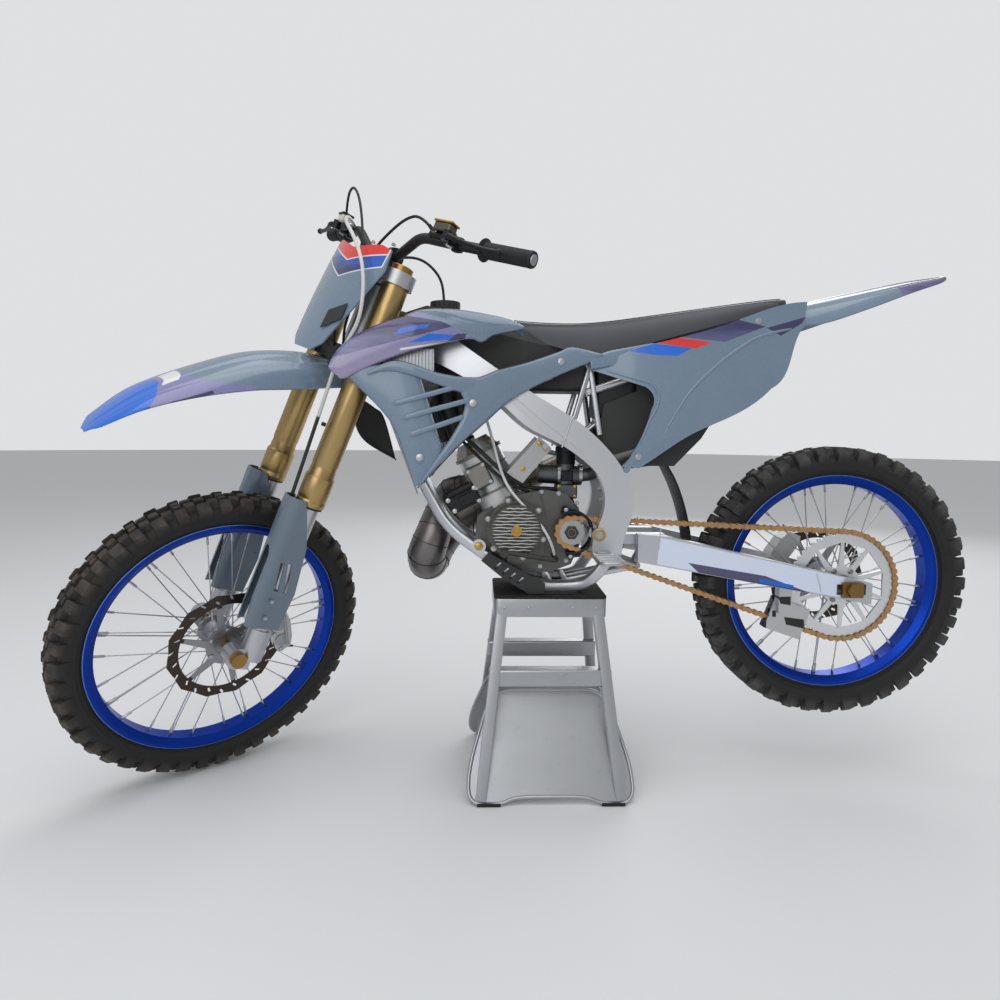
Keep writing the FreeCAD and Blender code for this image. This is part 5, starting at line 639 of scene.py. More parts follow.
def knobbly_tyre(name, radius, width, rim_radius, rim_width, pitches, depth, crown, paint, body, place, node):
    """Carcass: a bowed wall swept round the axle, with moulded rings on it. Blocks: each row is one block
    repeated round the crown, every second pitch moved sideways, and each turned to its place by
    x = r cos a - z sin a, z = r sin a + z cos a."""
    half = width / 2
    base = radius - depth
    rise = base - rim_radius
    bead = rim_width / 2 - 0.0033
    wall = [(rim_radius + 0.0006, bead), (rim_radius + 0.004, bead + 0.003),
            (rim_radius + rise * 0.16, half * 0.73), (rim_radius + rise * 0.34, half * 0.84),
            (rim_radius + rise * 0.56, half * 0.87), (rim_radius + rise * 0.76, half * 0.80),
            (rim_radius + rise * 0.90, half * 0.60), (rim_radius + rise * 0.98, half * 0.36), (base, 0.0)]
    outer = smooth_line(wall, 26)
    for at, lift in ((4, 0.0011), (6, 0.0007), (9, 0.0009)):
        outer[at] += np.array([0.0, lift])
    outer = np.concatenate([outer, (outer * [1, -1])[::-1][1:]])
    inner = np.array([(rim_radius - 0.008, -bead + 0.001), (rim_radius + rise * 0.5, -half * 0.7),
                      (base - 0.009, 0.0), (rim_radius + rise * 0.5, half * 0.7),
                      (rim_radius - 0.008, bead - 0.001)])
    carcass = turned_mesh(np.concatenate([outer, inner])[::-1], 132)
    rows = []
    step = TAU / pitches
    for shift, entries in crown:
        for inner_y, outer_y, top, root, drop, wide in entries:
            half_z = wide * step * radius
            block = tread_block(inner_y * half, outer_y * half, top, root, drop, half_z, radius, depth)
            points, faces = block if outer_y > inner_y else flipped(block)
            angles = (np.arange(pitches // 2) * 2 + shift) * step
            c, s = np.cos(angles)[:, None], np.sin(angles)[:, None]
            r, y, z = points[:, 0][None], points[:, 1][None], points[:, 2][None]
            ring = np.stack([r * c - z * s, y + 0 * c, r * s + z * c], -1)
            rows.append((ring.reshape(-1, 3), [tuple(n + k * len(points) for n in face[::-1])
                                               for k in range(len(angles)) for face in faces]))
    piece(name, joined([carcass] + rows), body, paint, place, (node,), 32)


def rows_of(shoulder, middle, centre):
    """The rows of a tyre: (offset in pitches, blocks) with both shoulders and both middle rows."""
    rows = []
    for shift, block in shoulder + middle + centre:
        inner_y, outer_y = block[:2]
        rows.append((shift, [block]))
        if inner_y + outer_y:
            rows.append((shift, [(-inner_y, -outer_y) + block[2:]]))
    return rows


FRONT_ROWS = rows_of([(0, (0.64, 1.01, 0.12, 1.9, 0.9, 0.27)), (1, (0.58, 0.97, 0.28, 1.6, 0.9, 0.23))],
                     [(0.5, (0.26, 0.54, 0.74, 1.25, 0.3, 0.22)), (1.5, (0.16, 0.48, 0.82, 1.2, 0.25, 0.22))],
                     [(0, (-0.20, 0.20, 1.0, 1.05, 0.0, 0.20)), (1, (-0.34, -0.05, 0.96, 1.1, 0.0, 0.17)),
                      (1, (0.05, 0.34, 0.96, 1.1, 0.0, 0.17))])
REAR_ROWS = rows_of([(0, (0.64, 1.0, 0.22, 1.65, 0.8, 0.25)), (1, (0.58, 0.97, 0.30, 1.5, 0.75, 0.23))],
                    [(0.5, (0.18, 0.48, 0.92, 1.15, 0.15, 0.17)), (1.5, (0.24, 0.54, 0.86, 1.15, 0.2, 0.17))],
                    [(0, (-0.30, 0.30, 1.0, 1.05, 0.0, 0.16)), (1, (-0.20, 0.20, 1.0, 1.05, 0.0, 0.15))])
knobbly_tyre("front_tyre_tread", 0.343, 0.084, 0.281, 0.052, 46, 0.015, FRONT_ROWS, front_tyre_rubber,
             "front_wheel", FRONT_WHEEL_FRAME, "front_tyre")
knobbly_tyre("rear_tyre_tread", 0.321, 0.100, 0.255, 0.058, 40, 0.018, REAR_ROWS, rear_tyre_rubber,
             "rear_wheel", REAR_WHEEL_FRAME, "rear_tyre")


SPOKES = 36
SPOKE_LEAN = math.radians(44)


def spoked_hub(name, hub_half, flange_r, waist_r, rim_inner, bosses, bore, body, place, node):
    """Hub: a turned profile. Spokes: straight wires from both flanges, every second one leaning the other
    way round, with an elbow at the flange and a nipple at the rim."""
    f = 0.005  # how thick each flange is
    profile = [(bore, -hub_half), (flange_r, -hub_half), (flange_r + 0.0015, -hub_half + f / 2),
               (flange_r, -hub_half + f), (waist_r * 1.25, -hub_half + f * 1.3), (waist_r, -hub_half * 0.5),
               (waist_r * 0.96, 0), (waist_r, hub_half * 0.5), (waist_r * 1.25, hub_half - f * 1.3),
               (flange_r, hub_half - f), (flange_r + 0.0015, hub_half - f / 2), (flange_r, hub_half),
               (bore, hub_half)]
    parts = [turned_mesh(profile[::-1], 56)]
    for y0, y1, r in bosses:
        parts.append(turned_mesh([(bore, y0), (bore, y1), (r - 0.001, y1), (r, y1 - 0.001), (r, y0)], 48))
    piece(name + "_hub_shell", joined(parts), body, hub_alloy, place, (node,), 35)
    wires, nipples = [], []
    for side in (1, -1):
        for index in range(SPOKES // 2):
            base = TAU * (index * 2 + (0 if side > 0 else 1)) / SPOKES
            way = 1 if index % 2 else -1
            y = side * (hub_half - f / 2 + way * 0.0028)
            hole = flange_r - 0.006
            start = np.array([hole * math.cos(base), y, hole * math.sin(base)])
            end = np.array([rim_inner * math.cos(base + SPOKE_LEAN * way), side * 0.004,
                            rim_inner * math.sin(base + SPOKE_LEAN * way)])
            run = end - start
            elbow = start + run * 0.02
            head = start - np.array([0, way * side * 0.003, 0])
            wires.append(tube_mesh([head, start, elbow, start + run * 0.93],
                                   [0.0026, 0.0017, 0.00145, 0.00135], 6))
            nipples.append(tube_mesh([start + run * 0.90, start + run * 0.905, start + run * 0.975, end],
                                     [0.0018, 0.0029, 0.0029, 0.0034], 6))
    piece(name + "_spokes", joined(wires), body, spoke_steel, place, smooth=50)
    piece(name + "_nipples", joined(nipples), body, machined, place, smooth=50)


spoked_hub("front", 0.033, 0.036, 0.0205, 0.2588, [(0.028, 0.0502, 0.0283)], 0.0104, "front_wheel",
           FRONT_WHEEL_FRAME, "front_hub")
spoked_hub("rear", 0.040, 0.036, 0.0235, 0.2328, [(-0.0562, -0.035, 0.0305), (0.035, 0.0632, 0.0305)], 0.0126,
           "rear_wheel", REAR_WHEEL_FRAME, "rear_hub")


def ring_bolts(centre_y, ring_r, count, radius, height, start=0.0):
    """Bolt heads in a circle round an axle, standing out along it."""
    places = []
    turn_out = np.array([[1.0, 0, 0], [0, 0, -math.copysign(1, height)], [0, math.copysign(1, height), 0]])
    for angle in start + np.arange(count) * TAU / count:
        spin = np.array([[math.cos(angle), 0, math.sin(angle)], [0, 1, 0],
                         [-math.sin(angle), 0, math.cos(angle)]])
        places.append((np.array([ring_r * math.cos(angle), centre_y, ring_r * math.sin(angle)]),
                       turn_out @ spin))
    tall = abs(height)
    head = tube_mesh([(0, 0, 0), (0, 0, tall * 0.8), (0, 0, tall)], [radius, radius, radius * 0.8], 6)
    return repeated(head, places)


piece("front_disc_bolts", ring_bolts(0.0538, 0.0395, 6, 0.0052, 0.0028, 0.2), "front_wheel", machined,
      FRONT_WHEEL_FRAME)
piece("rear_disc_bolts", ring_bolts(-0.0597, 0.0395, 6, 0.0052, -0.0028, 0.2), "rear_wheel", machined,
      REAR_WHEEL_FRAME)
piece("sprocket_bolts", ring_bolts(0.0687, 0.0385, 6, 0.0062, 0.0040), "rear_wheel", steel,
      REAR_WHEEL_FRAME)


def rim_lips(name, radius, half, paint, body, place):
    """The rim's rolled lips: two thin rings, each a small circle swept round the axle."""
    rings = []
    t = np.arange(96) * TAU / 96
    for side in (1, -1):
        line = np.c_[radius * np.cos(t), np.full(96, side * half), radius * np.sin(t)]
        rings.append(tube_mesh(line, 0.0022, 8, closed=True))
    piece(name, joined(rings), body, paint, place, smooth=60)


rim_lips("front_rim_lips", 0.2800, 0.0245, front_rim_blue, "front_wheel", FRONT_WHEEL_FRAME)
rim_lips("rear_rim_lips", 0.2540, 0.0275, rear_rim_blue, "rear_wheel", REAR_WHEEL_FRAME)


# Chain: the pitch line is two straights and two arcs round the sprockets

CHAIN_PITCH = 0.015875
CHAIN_Y = 0.066
REAR_TEETH, FRONT_TEETH = 50, 13
FRONT_SPROCKET = np.array([-0.048, 0.0, 0.589])


def chain_line(count):
    """Points and headings along the pitch line, worked out piece by piece from how far round they lie."""
    rear_r, front_r = (CHAIN_PITCH / (2 * math.sin(math.pi / teeth)) for teeth in (REAR_TEETH, FRONT_TEETH))
    gap = FRONT_SPROCKET - REAR_AXLE
    heading = math.atan2(gap[2], gap[0])
    span = math.hypot(gap[0], gap[2])
    spread = math.acos((rear_r - front_r) / span)
    straight = span * math.sin(spread)
    front_arc, rear_arc = front_r * 2 * spread, rear_r * 2 * (math.pi - spread)
    total = straight * 2 + front_arc + rear_arc
    travel = np.arange(count) * total / count
    a = heading + spread
    b = heading - spread
    first = np.clip(travel, 0, straight)
    second = np.clip(travel - straight, 0, front_arc)
    third = np.clip(travel - straight - front_arc, 0, straight)
    fourth = np.clip(travel - straight * 2 - front_arc, 0, rear_arc)
    on_rear = travel > straight * 2 + front_arc
    on_low = travel > straight + front_arc
    on_front = travel > straight
    angle = np.where(on_rear, b - fourth / rear_r,
                     np.where(on_low, b, np.where(on_front, a - second / front_r, a)))
    radius = np.where(on_front & ~on_low, front_r, np.where(on_low & ~on_rear, front_r, rear_r))
    middle = np.where((on_front & ~on_rear)[:, None], FRONT_SPROCKET[[0, 2]], REAR_AXLE[[0, 2]])
    along = np.where(on_low & ~on_rear, third, np.where(on_front, 0.0, first))
    x = middle[:, 0] + radius * np.cos(angle) + np.sin(angle) * along
    z = middle[:, 1] + radius * np.sin(angle) - np.cos(angle) * along
    return np.stack([x, z], -1), round(total / CHAIN_PITCH)


def link_plate(half, y0, y1):
    """One side plate from y0 to y1: half height = half (0.50 + 1.20 |cos t|) |sin t|, wide at both pins."""
    t = np.arange(24) * TAU / 24
    x = (CHAIN_PITCH / 2 + 0.0050) * np.cos(t)
    z = half * np.sin(t) * (0.50 + 1.20 * np.abs(np.cos(t)))
    points, faces = plate_mesh(np.c_[x, z], y0, y1)
    return flipped((points[:, [0, 2, 1]], faces))


_, LINKS = chain_line(4)
pins, _ = chain_line(LINKS)
following = np.roll(pins, -1, 0)
places_by_kind = {0: [], 1: []}
for index, (a, b) in enumerate(zip(pins, following)):
    way = (b - a) / np.linalg.norm(b - a)
    axes = np.array([[way[0], 0, way[1]], [0, 1, 0], [-way[1], 0, way[0]]])
    places_by_kind[index % 2].append((np.array([(a[0] + b[0]) / 2, CHAIN_Y, (a[1] + b[1]) / 2]), axes))
chain_parts = []
for kind, (y0, y1) in ((0, (0.0062, 0.0078)), (1, (0.0044, 0.0060))):
    for side in (1, -1):
        low, high = sorted((side * y0, side * y1))
        chain_parts.append(repeated(link_plate(0.0066, low, high), places_by_kind[kind]))
roller = tube_mesh([(0, -0.0079, 0), (0, -0.0044, 0), (0, -0.00439, 0), (0, 0.00439, 0), (0, 0.0044, 0),
                    (0, 0.0079, 0)], [0.0026, 0.0026, 0.0050, 0.0050, 0.0026, 0.0026], 8)
upright = np.eye(3)
chain_parts.append(repeated(roller, [(np.array([p[0], CHAIN_Y, p[1]]), upright) for p in pins]))
piece("chain_links", joined(chain_parts), "chassis", chain_tan, replaces=("chain",),
      smooth=40)


# Body panels: their prints are masks over the bike's length and height

def striped(name, base, stripes, rough=0.26, coat=0.7, place=BIKE_FRAME, fade_from=None):
    """Gloss plastic with printed stripes. Each stripe is (colour, convex outline), and may end with the
    colour that it fades to. The fade runs down from the top of its outline, or between the two heights
    of fade_from."""
    p = moulded(name, base, rough, coat)
    origin, axes = place
    local = p.at.minus(origin)
    p.ahead, p.left, p.up = (local.dot(axis) for axis in axes)
    tone = p.tone
    for colour, corners, *fade in stripes:
        tint = colour
        if fade:
            low, high = fade_from or (min(z for x, z in corners), max(z for x, z in corners))
            streak = p.noise(22.0, 3.0, 0.6, stretch=(0.5, 1, 3.0))
            share = (high - p.up) / (high - low)
            tint = p.blend(colour, fade[0], (share + streak * 0.9 - 0.45).rise(0.15, 0.95))
        tone = p.blend(tone, tint, p.within(p.ahead, p.up, corners))
    p.tone = tone
    return p.set(base_color=tone)


shroud_print = striped("shroud_print", SLATE, [
    (HAZE, [(0.160, 1.003), (0.370, 1.1005), (0.520, 1.100), (0.520, 0.880), (0.160, 0.970)],
     rgb(150, 142, 172)),
    (INK, [(0.480, 0.962), (0.205, 1.038), (0.245, 1.044), (0.375, 1.104), (0.520, 1.100)], HAZE),
    (SKY_BLUE, [(0.345, 1.012), (0.272, 1.032), (0.268, 1.039), (0.330, 1.026)]),
    (SKY_BLUE, [(0.312, 0.998), (0.215, 1.008), (0.205, 1.016), (0.270, 1.018)]),
    (INK, [(0.232, 1.004), (0.196, 1.010), (0.192, 1.020), (0.212, 1.019)]),
    (PALE, [(0.330, 0.982), (0.205, 1.0045), (0.205, 1.0075), (0.330, 0.9865)]),
], fade_from=(0.915, 1.090))
panel_print = striped("panel_print", SLATE, [
    (SKY_BLUE, [(-0.156, 0.993), (-0.2137, 1.0081), (-0.2957, 1.0008), (-0.2642, 0.9832), (-0.2203, 0.9843)]),
    (FLAG_RED, [(-0.2136, 1.011), (-0.254, 1.0229), (-0.3362, 1.0128), (-0.3016, 0.9985)]),
    (INK, [(-0.2657, 1.0231), (-0.2657, 1.040), (-0.3693, 1.066), (-0.4547, 1.0487), (-0.3654, 1.0140)],
     rgb(88, 88, 132)),
    (INK, [(-0.4578, 1.0459), (-0.5475, 1.0728), (-0.5395, 1.0585), (-0.4909, 1.0304)]),
])
dress("side_panels", panel_print.material)

# The plate's bands reach from a notch in the middle up to a shoulder at each edge
PLATE_TOP = 0.97
plate_stripes = []
for colour, half, notch, shoulder, *fade in ((PALE, 0.112, 0.859, 0.903),
                                             (SKY_BLUE, 0.109, 0.862, 0.905, INK),
                                             (PALE, 0.109, 0.899, 0.931), (FLAG_RED, 0.109, 0.902, 0.934)):
    left_band = [(0.0, notch), (half, shoulder), (half, PLATE_TOP), (0.0, PLATE_TOP)]
    right_band = [(0.0, notch), (0.0, PLATE_TOP), (-half, PLATE_TOP), (-half, shoulder)]
    plate_stripes += [(colour, left_band, *fade), (colour, right_band, *fade)]
PLATE_FRAME = (STEER_POINT, np.stack([FORK_LEFT, FORK_AHEAD, STEER_UP]))
plate_print = striped("plate_print", SLATE, plate_stripes, place=PLATE_FRAME)
dress("number_plate", plate_print.material)


# Fenders

def fender_mesh(stations, along, across, wall, spine):
    """The arch as a closed shell: the sheet above, the same sheet one wall lower and the strip between."""
    line = smooth_line(stations, along)
    t = np.linspace(-1, 1, across * 2 + 1)[None]
    ahead, crest, half, drop = (line[:, axis][:, None] for axis in range(4))
    bend = np.abs(t)
    wave = np.sin(np.linspace(0.02, 0.98, along) * math.pi)[:, None]
    step = np.clip((bend - 0.22) / 0.08, 0, 1)
    ridge = spine * wave * (1 - step ** 2 * (3 - 2 * step))
    groove = -0.0018 * wave * np.exp(-((bend - 0.64) / 0.03) ** 2)
    y = half * np.sign(t) * (0.70 * bend + 0.30 * np.sin(bend * math.pi / 2))
    z = crest - spine * wave - drop * (0.10 * bend + 0.44 * bend ** 2 + 0.46 * bend ** 5) + ridge + groove
    top = np.stack([ahead + 0 * t, y, z], -1)
    inward = np.where(bend[..., None] > 0.9, np.array([0, -1, 0]) * np.sign(t)[..., None] * 0.6, 0)
    low = top - np.array([0, 0, wall]) + inward * wall
    rows, cols = top.shape[:2]
    upper = sheet_faces(rows, cols)[:, ::-1]
    lower = sheet_faces(rows, cols) + rows * cols
    edge = np.r_[np.arange(cols), (np.arange(1, rows) * cols + cols - 1),
                 ((rows - 1) * cols + np.arange(cols - 2, -1, -1)), (np.arange(rows - 2, 0, -1) * cols)]
    after = np.roll(edge, -1)
    rim = np.stack([edge, after, after + rows * cols, edge + rows * cols], -1)
    return np.concatenate([top.reshape(-1, 3), low.reshape(-1, 3)]), np.concatenate([upper, lower, rim])


def turned_out(mesh):
    """The mesh with its faces wound so that the first face, which lies above, looks up."""
    points, faces = mesh
    a, b, c = (points[faces[0][i]] for i in range(3))
    up = np.cross(b - a, c - a)[2]
    return mesh if up > 0 else flipped(mesh)


FENDER_L = 0.463
FENDER_CREST = 0.687
FENDER_HALF = 0.092
FRONT_STATIONS = np.array([(1.00, 0.565, 0.16, 0.02), (0.985, 0.590, 0.36, 0.05), (0.965, 0.615, 0.52, 0.10),
                           (0.86, 0.715, 0.80, 0.24), (0.70, 0.815, 0.95, 0.40), (0.50, 0.915, 1.0, 0.62),
                           (0.30, 0.975, 0.92, 0.70), (0.14, 0.998, 0.74, 0.60), (0.0, 0.998, 0.62, 0.40),
                           (-0.13, 0.980, 0.56, 0.30)]) * [FENDER_L, FENDER_CREST, FENDER_HALF, FENDER_HALF]
fender_print = striped("fender_print", SLATE, [
    (HAZE, [(0.225, 0.50), (0.43, 0.34), (0.43, 0.49), (0.36, 0.538), (0.225, 0.578)], rgb(112, 118, 158)),
    (INK, [(0.408, 0.452), (0.414, 0.457), (0.300, 0.541), (0.296, 0.537)]),
    (SKY_BLUE, [(0.516, 0.2), (0.56, 0.2), (0.56, 0.8), (0.245, 0.8)]),
    (PALE, [(0.497, 0.2), (0.512, 0.2), (0.241, 0.8), (0.226, 0.8)]),
], place=FORK_FRAME)
near_spine = abs(fender_print.left).rise(0.032, 0.034)
label_edge = [(0.495, 0.2), (0.514, 0.2), (0.243, 0.8), (0.224, 0.8)]
label = fender_print.within(fender_print.ahead, fender_print.up, label_edge)
fender_print.set(base_color=fender_print.blend(fender_print.tone, HAZE, near_spine * label))
front_shell = turned_out(fender_mesh(FRONT_STATIONS, 72, 22, 0.0030, 0.0035))
piece("front_fender_shell", front_shell, "steering", fender_print, FORK_FRAME, ("front_fender",),
      38)
pad = box_mesh(-0.018, 0.040, -0.020, 0.020, FENDER_CREST - 0.008, 0.6917)
piece("fender_pad", pad, "steering", black_plastic, FORK_FRAME, bevel=0.002)

TAIL_STATIONS = np.array([(0.0, 0.0, 0.92, 0.45), (0.22, 0.26, 1.0, 0.62), (0.48, 0.54, 0.92, 0.50),
                          (0.76, 0.82, 0.66, 0.30), (0.94, 0.95, 0.42, 0.16), (1.0, 1.0, 0.26, 0.10)])
TAIL_ROWS = np.c_[-0.500 - 0.410 * TAIL_STATIONS[:, 0], 1.187 - 0.088 * (1 - TAIL_STATIONS[:, 1]),
                  0.092 * TAIL_STATIONS[:, 2], 0.092 * TAIL_STATIONS[:, 3]]
tail_print = striped("tail_print", SLATE, [
    (INK, [(-0.93, 1.10), (-0.79, 1.10), (-0.77, 1.190), (-0.93, 1.200)], HAZE),
])
rear_shell = turned_out(fender_mesh(TAIL_ROWS, 56, 22, 0.0030, 0.0030))
piece("rear_fender_shell", rear_shell, "chassis", tail_print, BIKE_FRAME, ("rear_fender",),
      38)
posts = [tube_mesh([(-0.495, side * 0.062, 1.045), (-0.495, side * 0.062, 1.082)], 0.008, 12)
         for side in (1, -1)]
piece("rear_fender_posts", joined(posts), "chassis", black_plastic)


# Seat: a foam pad under a stretched vinyl cover, with a seam along each side and a gripper top

SEAT_STATIONS = np.array([(0.0, 0.02, 0.62, 0.25), (0.10, -0.09, 0.78, 0.55), (0.24, -0.12, 0.90, 0.85),
                          (0.36, -0.02, 1.0, 1.0), (0.55, 0.28, 1.0, 0.80), (0.75, 0.62, 0.94, 0.58),
                          (0.92, 0.90, 0.82, 0.38), (1.0, 1.0, 0.62, 0.22)])
SEAT_ROWS = np.c_[0.112 - 0.640 * SEAT_STATIONS[:, 0], 1.068 + 0.056 * SEAT_STATIONS[:, 1],
                  0.074 * SEAT_STATIONS[:, 2], 0.076 * SEAT_STATIONS[:, 3]]


def seat_ring(line, theta, swell=1.0):
    """The seat's section at each station: a superellipse, flatter on top, cut flat at its underside."""
    x, top, half, depth = (line[:, axis][:, None] for axis in range(4))
    c, s = np.cos(theta)[None], np.sin(theta)[None]
    y = half * swell * np.sign(c) * np.abs(c) ** 0.62
    z = top - depth * 0.999 + depth * np.clip(np.sign(s) * np.abs(s) ** 0.55, 0, 1)
    return np.stack([x + 0 * y, y, z], -1)


seat_line = smooth_line(SEAT_ROWS, 90)
theta = np.linspace(0, math.pi, 41)
rings = seat_ring(seat_line, theta)
underside = np.linspace(rings[:, -1, 1], rings[:, 0, 1], 7, axis=1)[:, 1:-1]
flat = np.stack([np.repeat(rings[:, -1:, 0], 5, 1), underside, np.repeat(rings[:, -1:, 2], 5, 1)], -1)
seat_grid = np.concatenate([rings, flat], 1)
nose = 0.5 * (seat_grid[:1] + seat_grid[:1].mean(1, keepdims=True)) + [0.004, 0, -0.002]
heel = 0.5 * (seat_grid[-1:] + seat_grid[-1:].mean(1, keepdims=True)) - [0.004, 0, 0.001]
seat_grid = np.concatenate([nose, seat_grid, heel])
seat_rows, seat_cols = seat_grid.shape[:2]
seat_mesh = capped(seat_grid.reshape(-1, 3), sheet_faces(seat_rows, seat_cols, False, True)[:, ::-1],
                   [range(seat_cols), range(seat_rows * seat_cols - 1, (seat_rows - 1) * seat_cols - 1, -1)])
gripper = Paint("seat_cover", rgb(70, 73, 77), 0.6)
pips = (gripper.at.dot((1.0, 0, 0)) * 900.0).wave() * (gripper.at.dot((0, 1.0, 0)) * 900.0).wave()
on_top = (0.052 - abs(gripper.at.dot((0, 1.0, 0)))).rise(-0.002, 0.002)
shade = gripper.noise(8.0, 4.0)
side_tone = gripper.blend(rgb(64, 67, 71), rgb(92, 95, 99), shade)
top_tone = gripper.blend(rgb(44, 46, 49), rgb(66, 68, 72), shade)
gripper.set(base_color=gripper.blend(side_tone, top_tone, on_top), roughness=shade * 0.2 + 0.5)
gripper.relief(pips.rise(-0.1, 0.5) * on_top + gripper.cells(700.0) * 0.35, 0.0010, 0.8)
seat = piece("seat_pad", seat_mesh, "chassis", gripper, BIKE_FRAME, ("seat",), 50)
for side, name in SIDES:
    edge = np.c_[seat_line[:, 0], side * seat_line[:, 2] * 0.74,
                 seat_line[:, 1] - seat_line[:, 3] * 0.055 + 0.0006]
    piece(f"seat_seam_{name}", tube_mesh(edge[6:-4], 0.0011, 6), "chassis", rubber_black)


# Fuel tank cap, ribbed for the hand, with a screw in the middle

CAP_AHEAD = 0.244
CAP_STEPS = 120
t = np.arange(CAP_STEPS) * TAU / CAP_STEPS
grip_r = 0.0335 + 0.0011 * np.cos(t * 20)
levels = [(0.98, 1.096), (1.0, 1.0995), (1.0, 1.1065), (0.95, 1.1088), (0.70, 1.1092), (0.66, 1.1080),
          (0.30, 1.1084), (0.26, 1.1095), (0.02, 1.1095)]
cap = np.array([np.c_[CAP_AHEAD + grip_r * share * np.cos(t), grip_r * share * np.sin(t), 0 * t + z]
                for share, z in levels])
cap_mesh = capped(cap.reshape(-1, 3), sheet_faces(len(levels), CAP_STEPS, False, True),
                  [range((len(levels) - 1) * CAP_STEPS, len(levels) * CAP_STEPS)])
piece("tank_cap", cap_mesh, "chassis", black_plastic)


# Exhaust: cones rolled from sheet, welded to each other at raised beads

PIPE_ROUTE = np.array([(196, -30, 692, 21), (236, -66, 676, 25), (258, -88, 628, 34), (274, -74, 570, 43),
                       (292, -80, 514, 47), (288, -122, 488, 48), (266, -152, 532, 49), (218, -158, 590, 49),
                       (150, -160, 634, 46), (75, -160, 674, 38), (0, -158, 714, 26), (-80, -152, 763, 17.5),
                       (-150, -141, 812, 16.5), (-208, -130, 858.5, 16)]) / 1000.0
pipe_line = smooth_line(PIPE_ROUTE, 150)
piece("exhaust_tube", tube_mesh(pipe_line[:, :3], pipe_line[:, 3], 40), "chassis", pipe_steel, BIKE_FRAME,
      ("exhaust_pipe",), 60)
beads = []
t = np.arange(40) * TAU / 40
for index in range(4, len(pipe_line) - 4, 7):
    centre, radius = pipe_line[index, :3], pipe_line[index, 3]
    across, up, way = axes_along(pipe_line[index + 1, :3] - pipe_line[index - 1, :3])
    ripple = radius + 0.0004 + 0.0002 * np.cos(t * 20)
    ring = centre + ripple[:, None] * (np.cos(t)[:, None] * across + np.sin(t)[:, None] * up)
    beads.append(tube_mesh(ring, 0.0011, 6, closed=True))
piece("exhaust_welds", joined(beads), "chassis", dark_steel, smooth=60)


# Engine and frame details, in the row's frame

def bolt_places(points, way):
    """Origins and axes for bolt heads that stand out along one way."""
    axes = axes_along(way)
    return [(np.array(point, float), axes) for point in points]


def bolt_head(radius, tall, sides=6):
    """A flanged bolt head: a thin washer, a hexagon and a drawn-in top."""
    return tube_mesh([(0, 0, 0), (0, 0, tall * 0.22), (0, 0, tall * 0.24), (0, 0, tall * 0.9), (0, 0, tall)],
                     [radius * 1.25, radius * 1.25, radius, radius, radius * 0.8], sides)


def bolts(name, points, way, radius, tall, body, paint, place=BIKE_FRAME, sides=6):
    """The same bolt at several points, standing out along one way."""
    heads = repeated(bolt_head(radius, tall, sides), bolt_places(points, way))
    piece(name, heads, body, paint, place, smooth=30)


cover_dark = metal("cover_shadow", rgb(92, 91, 90), 0.5, dirt_and_shade=0.4)
# The ribs' pale alloy is the lit copy of the dish's darker cover_shadow alloy: painted highlight on the ribs.
cover_bright = metal("cover_ribs", rgb(184, 183, 180), 0.34, dirt_and_shade=0.5, depth=0.0006)
valve_black = metal("valve_black", rgb(30, 30, 32), 0.48, dirt_and_shade=0.2, metallic=0.4)
brass = metal("brass", rgb(196, 160, 88), 0.34, dirt_and_shade=0.2)
carb_alloy = metal("carb_alloy", rgb(104, 106, 108), 0.46, dirt_and_shade=0.4)

COVER_MID = np.array([0.080, 0.106, 0.597])
COVER_R = 0.0565
dish = turned_mesh([(COVER_R, 0.0004), (0.0535, 0.0010), (0.040, 0.0022), (0.0, 0.0022), (0.0, 0.0004)], 64)
piece("ignition_dish", moved(dish, COVER_MID), "chassis", cover_dark)
ribs = []
for height in np.linspace(-0.050, 0.050, 15):
    half = math.sqrt(COVER_R ** 2 - height ** 2) - 0.0015
    s = np.linspace(-1, 1, 25)
    line = np.c_[COVER_MID[0] + s * half, COVER_MID[1] + 0.0022 + 0.0030 * np.sqrt(1.0 - (s * 0.94) ** 2),
                 COVER_MID[2] + height + 0.0007 * np.sin(s * 9 + height * 300)]
    ribs.append(tube_mesh(line, 0.0019 * np.sqrt(1.001 - s ** 8), 8))
piece("ignition_ribs", joined(ribs), "chassis", cover_bright, smooth=60)
boss = turned_mesh([(0.0, 0.002), (0.0125, 0.002), (0.0125, 0.0085), (0.0115, 0.0095), (0.0085, 0.0095),
                    (0.0080, 0.0085), (0.0045, 0.0085), (0.0040, 0.0092), (0.0, 0.0092)], 40)
piece("ignition_plug", moved(boss, COVER_MID), "chassis", brass)

EAR_R, EAR_Y = 0.0665, 0.0795
around = [(COVER_MID[0] + EAR_R * math.cos(a), EAR_Y, COVER_MID[2] + EAR_R * math.sin(a))
          for a in np.radians((20, 75, 140, 200, 255, 318))]
ears = [tube_mesh([(x, 0.050, z), (x, EAR_Y, z)], 0.0075, 20) for x, _, z in around]
piece("cover_ears", joined(ears), "chassis", cast_alloy, smooth=40)
bolts("cover_bolts", around, (0, 1, 0), 0.0046, 0.0050, "chassis", machined)
case_points = [(0.140, 0.046, 0.540), (0.100, 0.046, 0.512), (0.020, 0.046, 0.506), (-0.040, 0.046, 0.520),
               (-0.062, 0.046, 0.655), (-0.020, 0.046, 0.676), (0.020, 0.046, 0.680)]
bolts("case_bolts", case_points, (0, 1, 0), 0.0046, 0.006, "chassis", machined)
seam = np.array([(-0.071, 0, 0.560), (-0.071, 0, 0.632), (-0.036, 0, 0.677), (0.028, 0, 0.687),
                 (0.102, 0, 0.671), (0.167, 0, 0.620), (0.172, 0, 0.570), (0.132, 0, 0.523),
                 (0.073, 0, 0.498), (-0.002, 0, 0.492), (-0.051, 0, 0.512)])
piece("case_joint", tube_mesh(even_line(smooth_line(seam, 120, True), 140), 0.0020, 6, closed=True),
      "chassis", cover_dark, smooth=60)

